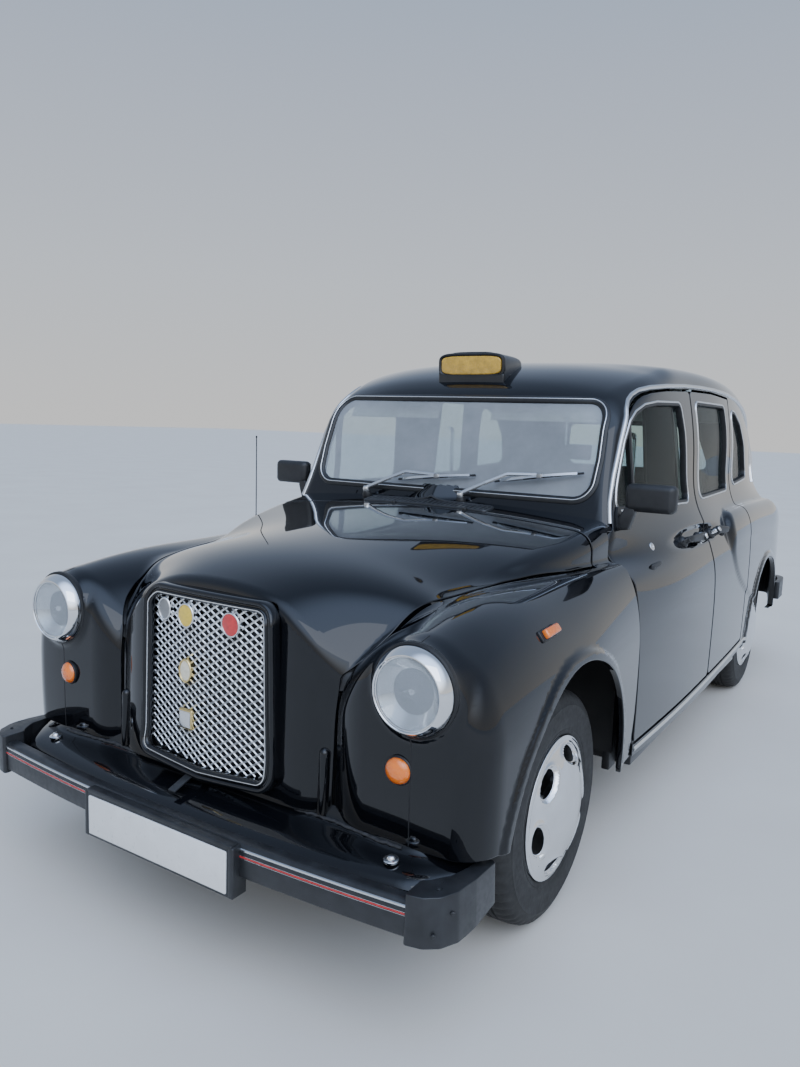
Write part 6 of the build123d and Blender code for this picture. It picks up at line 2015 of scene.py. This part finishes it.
# ------------------------------------------------------------------ structure behind the skin
st_ = Build("paint", "inner", "carpet", "headlining")
POST = [(320, 752, 795), (900, 752, 790), (1110, 662, 702), (1600, 588, 626)]
for k in (1, -1):
    grid = np.array([[(k * xi, 1516, z), (k * xo, 1520, z), (k * xo, 1576, z), (k * xi, 1580, z)] for z, xi, xo in POST])
    m_, n_ = 4, 4
    v = grid.reshape(-1, 3)
    f = [(i * n_ + j, i * n_ + (j + 1) % n_, (i + 1) * n_ + (j + 1) % n_, (i + 1) * n_ + j) for i in range(m_ - 1) for j in range(n_)]
    f += [(3, 2, 1, 0), (12, 13, 14, 15)]
    st_.add((v, f), 0)
    v, f = rbox((752, 606, 272), (828, 2328, 364), 6, 2)
    st_.add((v * np.array([k, 1, 1]), f), 0)
    v, f = rbox((752, 518, 272), (780, 588, 818), 5, 2)
    st_.add((v * np.array([k, 1, 1]), f), 1)
    for i in range(9):
        v, f = rbox((756, 640 + i * 100, 363), (806, 642 + i * 100, 366.5), 0.8, 1)
        st_.add((v * np.array([k, 1, 1]), f), 2)
    v, f = rbox((754, 630, 364), (812, 1500, 368), 1.5, 2)
    st_.add((v * np.array([k, 1, 1]), f), 2)
    v, f = rbox((754, 1600, 364), (812, 2220, 368), 1.5, 2)
    st_.add((v * np.array([k, 1, 1]), f), 2)
st_.make("body_frame_posts", "body", (), "black_paint", 35)

# door inner cards with armrest, pull and a round boss
for nm, outline, s0, s1 in (("front_door", FRONT_DOOR, 760.0, 1420.0), ("rear_door", REAR_DOOR, 1640.0, 2160.0)):
    card = cuts(cabin_left, cabin_field, rounded_cut(offset_outline(outline, -30), 20.0, 0.0), lambda x, s, z: z - 1128.0, lambda x, s, z: 400 - x)
    for side, k in SIDES:
        v, f = card if k > 0 else mirrored(*card)
        ob = shell("%s_%s_card" % (nm, side), v, f, cabin_field, [MAT["trim"], MAT["trim"]], 22.0, 2.0, start=27.0)
        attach(ob, "%s_%s" % (nm, side))
        b = Build("trim", "chrome", "dash")
        xm = float(side_wall(np.array([1100.0 if s0 < 1500 else 1900.0]), np.array([850.0]))[0]) - 52
        v, f = rbox((xm - 42, s0 + 120, 812), (xm + 2, s1 - 60, 852), 14, 4)
        b.add((v * np.array([k, 1, 1]), f), 0)
        v, f = rbox((xm - 12, s0 + 40, 930), (xm + 2, s0 + 150, 962), 7, 3)
        b.add((v * np.array([k, 1, 1]), f), 2)
        hp = np.array([(xm, s0 + 60, 946), (xm - 18, s0 + 70, 946), (xm - 20, s0 + 128, 944)])
        v, f = tube(round_path(hp, 8, 6, closed=False), 5, 10, up=(0, 0, 1))
        b.add((v * np.array([k, 1, 1]), f), 1)
        v, f = rev([(22, 2), (22, -8), (18, -12), (6, -13), (0, -13)], (xm, s0 + 330, 940), (1, 0, 0), 28)
        b.add((v * np.array([k, 1, 1]), f), 2)
        b.make("%s_%s_fittings" % (nm, side), "%s_%s" % (nm, side), (), "interior_trim", 35)

# ------------------------------------------------------------------ dashboard, wheel and partition
db = Build("dash", "inner", "bright", "plate", "steel")
prof = round_path([(628, 866), (716, 866), (796, 962), (796, 1012), (750, 1046), (676, 1056), (628, 1056)], [10, 20, 22, 18, 22, 14, 8], 10)
v, f = prism([tuple(p) for p in prof], "x", -598, 598, 8, 3)
db.add((v, f), 0)
hood = round_path([(690, 1030), (806, 1006), (806, 1066), (786, 1088), (700, 1094)], [10, 14, 14, 16, 20], 8)
db.add(prism([tuple(p) for p in hood], "x", -548, -214, 12, 4), 0)
face = round_path([(-532, 1014), (-230, 1014), (-230, 1074), (-532, 1074)], 12, 8)
v, f = prism([tuple(p) for p in face], "s", 800, 809, 2, 2)
db.add((v, f), 1)
for x, r in ((-466, 26), (-381, 29), (-296, 26)):
    db.add(rev([(r, 4), (r, -7), (r - 3, -9), (r - 5, -6), (r - 5, 2)], (x, 806, 1043), (0, -1, 0), 40, closed=True), 2)
    db.add(rev([(r - 4.6, -4), (0, -4.2)], (x, 806, 1043), (0, -1, 0), 40), 3)
    db.add(rbox((x - 1, 811, 1043), (x + 1, 812, 1043 + r - 9), 0.4, 1), 1)
for x0 in (-180, 40, 300, 500):
    fr = round_path([(x0 - 52, 968), (x0 + 52, 968), (x0 + 52, 1008), (x0 - 52, 1008)], 8, 8)
    pth = np.stack([fr[:, 0], np.full(len(fr), 798.0), fr[:, 1]], 1)
    db.add(sweep(pth, (0, 1, 0), half_round(6, 3.5, -2), True), 1)
    for i in range(5):
        db.add(rbox((x0 - 48, 792, 972 + 7.4 * i), (x0 + 48, 801, 974.5 + 7.4 * i), 0.8, 1), 1)
db.add(rbox((90, 778, 900), (520, 800, 952), 8, 3, taper=lambda v: v + np.stack([0 * v[:, 0], (v[:, 2] - 952) * 0.78, 0 * v[:, 0]], 1)), 0)
for i in range(5):
    db.add(rev([(7, 0), (7, 8), (5, 11), (0, 12)], (-120 + 34 * i, 770, 935), (0, 0.8, -0.6), 20), 4)
col = np.array([(-380, 742, 766), (-380, 985 - 0.743 * 60, 985 - 0.669 * 60)])
db.add(tube(np.linspace(col[0], col[1], 6), 22, 20, up=(1, 0, 0)), 0)
v, f = rbox((-30, -26, -170), (30, 26, -66), 12, 4)
ax = np.array([0, 0.743, 0.669])
wx = np.array([1.0, 0, 0])
wy = np.cross(ax, wx)
WC = np.array([-380.0, 985.0, 985.0])
db.add((WC + v[:, [0]] * wx + v[:, [1]] * wy + v[:, [2]] * ax, f), 0)
for sgn_ in (1, -1):
    q0 = WC + ax * -104 + wx * sgn_ * 28
    db.add(tube(np.linspace(q0, q0 + wx * sgn_ * 118 + ax * 14, 5), 4.5, 10, up=ax), 0)
# interior mirror and two visors on the header
db.add(rbox((360, 748, 1326), (560, 764, 1382), 9, 4), 0)
db.add(rbox((368, 762.5, 1333), (552, 766, 1375), 2, 2), 4)
db.add(tube(np.array([(460, 754, 1376), (452, 772, 1420), (440, 800, 1500)]), 5, 10, up=(1, 0, 0)), 4)
db.make("dashboard_set", "body", "dashboard", "interior_trim", 35)

vz = Build("headlining", "steel")
for x0, x1 in ((-560, -120), (120, 560)):
    v, f = rbox((x0, 792, 1462), (x1, 806, 1572), 6, 4, taper=lambda v: v + np.stack([0 * v[:, 0], (v[:, 2] - 1462) * 0.55, 0 * v[:, 0]], 1))
    vz.add((v, f), 0)
    vz.add(tube(np.linspace((x0 + 20, 862, 1574), (x1 - 20, 862, 1574), 4), 4, 8, up=(0, 0, 1)), 1)
vz.make("sun_visors", "body", (), "interior_trim", 35)

sw = Build("dash", "steel")


def wheel_pt(r, t, h):
    return WC + wx * (r * math.cos(t)) + wy * (r * math.sin(t)) + ax * h


n = 72
ringp = np.array([wheel_pt(200, 2 * math.pi * i / n, 0) for i in range(n)])
sw.add(sweep(ringp, ax, circle(11.5, 16), True), 0)
for t in (math.radians(200), math.radians(340), math.radians(-20 - 180 + 110)):
    pts_ = np.array([wheel_pt(34, t, -22), wheel_pt(90, t, -18), wheel_pt(150, t, -8), wheel_pt(194, t, -1)])
    sw.add(sweep(round_path(pts_, 60, 10, closed=False), ax, [(-15, -3), (-16, 1), (-11, 4), (11, 4), (16, 1), (15, -3)]), 0)
sw.add(rev([(24, -62), (26, -30), (44, -26), (56, -20), (58, -12), (50, -4), (30, 1), (0, 2)], WC, ax, 48), 0)
sw.make("steering_wheel_rim", "steering_wheel", "steering_wheel", "interior_trim", 40)

pt = Build("trim", "rubber", "chrome", "carpet")
frame_out = round_path([(-560, 1130), (560, 1130), (520, 1560), (-520, 1560)], 26, 16)
for s_ in (1486.5, 1513.5):
    pth = np.stack([frame_out[:, 0], np.full(len(frame_out), s_), frame_out[:, 1]], 1)
    pt.add(sweep(pth, (0, 1 if s_ > 1500 else -1, 0), half_round(16, 5, -2), True), 1)
for x in (-470, 470):
    hp = np.array([(x, 1513, 1160), (x, 1552, 1164), (x, 1552, 1420), (x, 1513, 1424)])
    pt.add(tube(round_path(hp, 26, 8, closed=False), 10, 14, up=(1, 0, 0)), 2)
for x in np.arange(-480, 481, 160):
    for z in (1112,):
        pt.add(rev([(7, 0), (6.5, 2.5), (3, 4), (0, 4.2)], (x, 1487, z), (0, -1, 0), 14), 2)
pt.make("partition_trims", "body", (), "partition_trim", 35)

# ------------------------------------------------------------------ soft seats


def soft_pad(name, shape, body, node_name, voxel, cap, pleats=None, material_key="vinyl", gather=None, pressure=4.0):
    """Upholstered pad. shape: rounded closed form in mm, a little smaller than the finished pad. pleats: point rows to depth of the sewn lines."""
    v, f = shape
    me = bpy.data.meshes.new(name)
    me.from_pydata(world(v).tolist(), [], [list(q) for q in f])
    me.materials.append(MAT[material_key])
    ob = bpy.data.objects.new(name, me)
    bpy.context.scene.collection.objects.link(ob)
    bpy.context.view_layer.update()
    for o in bpy.context.selected_objects:
        o.select_set(False)
    bpy.context.view_layer.objects.active = ob
    ob.select_set(True)
    rm = ob.modifiers.new("even", "REMESH")
    rm.mode = "VOXEL"
    rm.voxel_size = voxel / 1000.0
    bpy.ops.object.modifier_apply(modifier="even")
    rest = np.array([tuple(q.co) for q in ob.data.vertices])
    cl = ob.modifiers.new("stuffing", "CLOTH")
    cs = cl.settings
    cs.quality = 4
    cs.mass = 0.3
    cs.tension_stiffness = cs.compression_stiffness = 12.0
    cs.shear_stiffness = 6.0
    cs.bending_stiffness = 0.6
    cs.use_pressure = True
    cs.uniform_pressure_force = pressure
    cs.effector_weights.gravity = 0.0
    cl.collision_settings.use_collision = False
    cl.collision_settings.use_self_collision = False
    cl.point_cache.frame_start, cl.point_cache.frame_end = 1, 20
    sc = bpy.context.scene
    for fr in range(1, 21):
        sc.frame_set(fr)
    bpy.ops.object.modifier_apply(modifier="stuffing")
    sc.frame_set(1)
    now = np.array([tuple(q.co) for q in ob.data.vertices])
    d = now - rest
    size = np.linalg.norm(d, axis=1, keepdims=True)
    now = rest + d * np.minimum(1.0, (cap / 1000.0) / np.maximum(size, 1e-9))
    # soften the grid's steps, keeping the volume
    me = ob.data
    edges_ = np.array([tuple(e_.vertices) for e_ in me.edges])
    for amount in (0.5, -0.52, 0.5, -0.52, 0.5, -0.51):
        acc = np.zeros_like(now)
        num = np.zeros(len(now))
        for a_, b_ in ((0, 1), (1, 0)):
            np.add.at(acc, edges_[:, a_], now[edges_[:, b_]])
            np.add.at(num, edges_[:, a_], 1)
        now = now + amount * (acc / num[:, None] - now)
    me.vertices.foreach_set("co", now.ravel())
    me.update()
    if pleats is not None:
        bm = bmesh.new()
        bm.from_mesh(me)
        bm.normal_update()
        nn_ = np.array([tuple(q.normal) for q in bm.verts])
        bm.free()
        mm = now * 1000.0
        mm[:, 1] -= Y0
        depth = pleats(mm, nn_)
        now = now - nn_ * (depth / 1000.0)[:, None]
        me.vertices.foreach_set("co", now.ravel())
        me.update()
    me.polygons.foreach_set("use_smooth", np.ones(len(me.polygons), bool))
    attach(ob, body)
    if node_name:
        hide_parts(node_name)
    return ob


def line_dip(value, centre, width, depth):
    return depth * np.exp(-((value - centre) / width) ** 2)


def seat_pleats(xc, half, s_lo, s_hi, pitch, up_axis):
    """Lengthwise sewn channels with a cross seam and a border seam."""
    def f(p, n):
        up = n[:, up_axis[0]] * up_axis[1]
        face = smooth(0.45, 0.8, up)
        x = np.abs(p[:, 0] - xc)
        d = np.zeros(len(p))
        inside = smooth(half - 62, half - 70, x)
        k = np.round((p[:, 0] - xc) / pitch) * pitch + xc
        along = p[:, 1] if up_axis[0] == 2 else p[:, 2]
        mid = smooth(s_lo - 3, s_lo + 8, along) * smooth(s_hi + 3, s_hi - 8, along)
        d += line_dip(p[:, 0], k, 7.0, 6.5) * inside * mid * face
        d += line_dip(x, half - 64, 5.0, 6.0) * mid * face
        d += (line_dip(along, s_lo, 5.0, 6.0) + line_dip(along, s_hi, 5.0, 6.0)) * smooth(half - 58, half - 66, x) * face
        return d
    return f


def pad_prism(profile, x0, x1, r_prof, bevel):
    line = round_path(profile, r_prof, 18)
    return prism([tuple(p) for p in line], "x", x0, x1, bevel, 4)


# driver's seat: plinth, cushion and back
plinth = Build("dash", "steel", "carpet")
plinth.add(rbox((-596, 1004, 352), (-154, 1396, 452), 12, 3), 0)
for x in (-560, -206):
    plinth.add(rbox((x - 18, 980, 340), (x + 18, 1420, 356), 4, 2), 1)
plinth.add(rbox((-572, 1352, 452), (-178, 1424, 520), 14, 3), 0)
v, f = rev([(22, -6), (24, 0), (20, 12), (0, 14)], (-150, 1340, 520), (1, 0, 0), 28)
plinth.add((v, f), 0)
plinth.make("driver_seat_plinth", "body", (), "interior_trim", 35)
soft_pad("driver_cushion", pad_prism([(984, 484), (980, 560), (1010, 578), (1396, 556), (1400, 484)], -600, -150, [24, 30, 30, 24, 20], 26),
         "body", "driver_seat", 8.0, 24.0, seat_pleats(-375, 235, 1020, 1330, 58, (2, 1)))
soft_pad("driver_backrest", pad_prism([(1350, 590), (1420, 1092), (1452, 1090), (1424, 590)], -594, -156, [20, 22, 16, 18], 22),
         "body", None, 8.0, 22.0, seat_pleats(-375, 228, 660, 1030, 58, (1, -1)))
# rear bench
soft_pad("rear_cushion", pad_prism([(2286, 625), (2284, 772), (2310, 782), (2690, 758), (2690, 625)], -530, 530, [26, 34, 34, 22, 20], 26),
         "body", "rear_seat", 10.5, 26.0, seat_pleats(0, 552, 2330, 2640, 66, (2, 1)))
soft_pad("rear_backrest", pad_prism([(2722, 796), (2822, 1256), (2862, 1256), (2838, 796)], -530, 530, [24, 28, 20, 20], 24),
         "body", None, 10.5, 24.0, seat_pleats(0, 548, 850, 1200, 66, (1, -1)))
# two folded tip-up seats
for side, k in SIDES:
    shape = pad_prism([(1532, 520), (1532, 880), (1552, 880), (1572, 520)], 150, 510, [8, 10, 10, 12], 12)
    if k < 0:
        shape = mirrored(*shape)
    soft_pad("tip_up_pad_" + side, shape, "body", "tip_up_seats", 8.0, 16.0, seat_pleats(330.0 * k, 184, 590, 820, 52, (1, 1)))
tb = Build("steel", "dash")
for k in (1, -1):
    for x in (165, 495):
        v, f = rbox((x - 12, 1513, 470), (x + 12, 1560, 500), 4, 2)
        tb.add((v * np.array([k, 1, 1]), f), 0)
        v, f = tube(np.linspace((x, 1520, 480), (x, 1520, 900), 4), 7, 10, up=(1, 0, 0))
        tb.add((v * np.array([k, 1, 1]), f), 0)
tb.make("tip_up_hinges", "body", (), "interior_trim", 35)

# parcel shelf behind the rear seat
sh = Build("trim", "inner")
sh.add(rbox((-552, 2868, 1100), (552, 3150, 1112), 5, 3), 0)
for k in (1, -1):
    for i in range(12):
        x = k * (240 + i * 12)
        sh.add(rbox((x - 3, 2960, 1110.5), (x + 3, 3060, 1113.5), 1, 1), 1)
sh.make("parcel_shelf", "body", (), "interior_trim", 35)

# ------------------------------------------------------------------ finishes for the CAD shapes that stay


def two_sided(name, top, bottom):
    """Mat on the faces that look up, underseal on those that look down."""
    m, nt, b = material(name)
    geo = nt.nodes.new("ShaderNodeNewGeometry")
    sep = nt.nodes.new("ShaderNodeSeparateXYZ")
    nt.links.new(geo.outputs["True Normal"], sep.inputs[0])
    up = span(nt, sep.outputs["Z"], 0.2, 0.5, 0.0, 1.0)
    n1, n2 = noise(nt, 30.0, 4.0), noise(nt, 9.0, 5.0)
    r1 = ramp(nt, n1.outputs["Fac"], 0.3, 0.7, tuple(c * 0.7 for c in top), top)
    r2 = ramp(nt, n2.outputs["Fac"], 0.3, 0.7, tuple(c * 0.5 for c in bottom), bottom)
    mix = nt.nodes.new("ShaderNodeMix")
    mix.data_type = "RGBA"
    nt.links.new(up.outputs["Result"], mix.inputs["Factor"])
    nt.links.new(r2.outputs["Color"], mix.inputs["A"])
    nt.links.new(r1.outputs["Color"], mix.inputs["B"])
    nt.links.new(mix.outputs["Result"], b.inputs["Base Color"])
    b.inputs["Roughness"].default_value = 0.78
    n3 = noise(nt, 180.0, 4.0)
    bump(nt, b, n3.outputs["Fac"], 0.6, 0.0008)
    return m


MAT["floor_pan"] = two_sided("floor_mat_and_underseal", (0.04, 0.039, 0.038), (0.018, 0.017, 0.016))
CAD_FINISH = {
    "chassis_frame": "chassis", "front_suspension": "chassis", "knuckle_left": "iron", "knuckle_right": "iron", "rear_axle": "iron",
    "leaf_springs": "steel", "exhaust": "exhaust", "fuel_tank": "chassis", "wheelhouses": "under", "floor_pan": "floor_pan",
    "partition": "trim", "partition_glass": "glass",
}
for key, mat in CAD_FINISH.items():
    ob = frame["nodes"][key]
    ob.data.materials.clear()
    ob.data.materials.append(MAT[mat])

# bolts on the running gear
un = Build("steel", "rubber", "exhaust", "iron")
for k in (1, -1):
    for s_ in (-560, -300, 60, 420, 760, 1160, 1400, 1760, 2020, 2360, 2560, 2960, 3300, 3560):
        z = float(np.interp(s_, [-620, 300, 520, 2270, 2470, 3150, 3350, 3620], [372, 385, 335, 335, 520, 520, 450, 450]))
        v, f = rev([(9, -4), (9, 3), (7.5, 6), (0, 6)], (345 * k, s_, z - 40), (k, 0, 0), 6)
        un.add((v, f), 0)
un.make("frame_bolts", "body", (), "chassis_black", 30)

# ------------------------------------------------------------------ camera, floor and light
AZ, PITCH, ROLL = 0.5685, 0.1291, 0.035
r = Vector((math.cos(AZ), math.sin(AZ), 0))
fwd = Vector((-math.sin(AZ) * math.cos(PITCH), math.cos(AZ) * math.cos(PITCH), -math.sin(PITCH)))
u = r.cross(fwd)
r2 = math.cos(ROLL) * r + math.sin(ROLL) * u
u2 = -math.sin(ROLL) * r + math.cos(ROLL) * u
cam_data = bpy.data.cameras.new("photo_camera")
cam_data.sensor_width = 36.0
cam_data.lens = 833.25 / 1067.0 * 36.0
cam_data.clip_end = 200.0
cam = bpy.data.objects.new("photo_camera", cam_data)
m = Matrix((r2, u2, -fwd)).transposed().to_4x4()
m.translation = Vector((1.631, -2.204 - 1.4875, 1.4293))
cam.matrix_world = m
bpy.context.scene.collection.objects.link(cam)
bpy.context.scene.camera = cam

fm, nt, b = material("pale_floor")
n = noise(nt, 1.3, 5.0)
rr = ramp(nt, n.outputs["Fac"], 0.2, 0.8, (0.74, 0.69, 0.62), (0.80, 0.76, 0.69))
nt.links.new(rr.outputs["Color"], b.inputs["Base Color"])
b.inputs["Roughness"].default_value = 0.95
b.inputs["Specular IOR Level"].default_value = 0.05
n = noise(nt, 60.0, 5.0)
bump(nt, b, n.outputs["Fac"], 0.3, 0.001)
me = bpy.data.meshes.new("floor")
me.from_pydata([(-90, -90, 0), (90, -90, 0), (90, 90, 0), (-90, 90, 0)], [], [(0, 1, 2, 3)])
me.materials.append(fm)
floor = bpy.data.objects.new("floor", me)
bpy.context.scene.collection.objects.link(floor)

w = bpy.data.worlds.new("studio")
bpy.context.scene.world = w
w.use_nodes = True
nt = w.node_tree
bg = nt.nodes["Background"]
tc = nt.nodes.new("ShaderNodeTexCoord")
sep = nt.nodes.new("ShaderNodeSeparateXYZ")
nt.links.new(tc.outputs["Generated"], sep.inputs[0])
cr = nt.nodes.new("ShaderNodeValToRGB")
e = cr.color_ramp.elements
e[0].position, e[0].color = 0.0, (0.66, 0.66, 0.66, 1)
e[1].position, e[1].color = 1.0, (0.26, 0.34, 0.50, 1)
q = cr.color_ramp.elements.new(0.16)
q.color = (0.58, 0.62, 0.68, 1)
q = cr.color_ramp.elements.new(0.50)
q.color = (0.34, 0.42, 0.57, 1)
nt.links.new(sep.outputs["Z"], cr.inputs[0])
# a broad soft glow high on the left, so that the light has a direction and no edge
glow = nt.nodes.new("ShaderNodeVectorMath")
glow.operation = "DOT_PRODUCT"
nt.links.new(tc.outputs["Generated"], glow.inputs[0])
glow.inputs[1].default_value = (0.46, -0.42, 0.783)
spread = node(nt, "ShaderNodeMapRange")
spread.interpolation_type = "SMOOTHERSTEP"
nt.links.new(glow.outputs["Value"], spread.inputs["Value"])
spread.inputs["From Min"].default_value = 0.55
spread.inputs["From Max"].default_value = 1.0
spread.inputs["To Min"].default_value = 1.0
spread.inputs["To Max"].default_value = 4.6
lit = nt.nodes.new("ShaderNodeVectorMath")
lit.operation = "SCALE"
nt.links.new(cr.outputs["Color"], lit.inputs[0])
nt.links.new(spread.outputs["Result"], lit.inputs["Scale"])
nt.links.new(lit.outputs["Vector"], bg.inputs["Color"])
bg.inputs["Strength"].default_value = 1.15


def area_light(name, place, target, size, power, color=(1, 1, 1)):
    d = bpy.data.lights.new(name, "AREA")
    d.shape = "RECTANGLE"
    d.size, d.size_y = size
    d.energy = power
    d.color = color
    o = bpy.data.objects.new(name, d)
    o.location = place
    o.rotation_euler = (Vector(target) - Vector(place)).to_track_quat("-Z", "Y").to_euler()
    bpy.context.scene.collection.objects.link(o)
    return o


area_light("key_light", (9.0, -8.5, 11.0), (0, -0.6, 0.6), (11.0, 9.0), 420, (1.0, 0.98, 0.95))
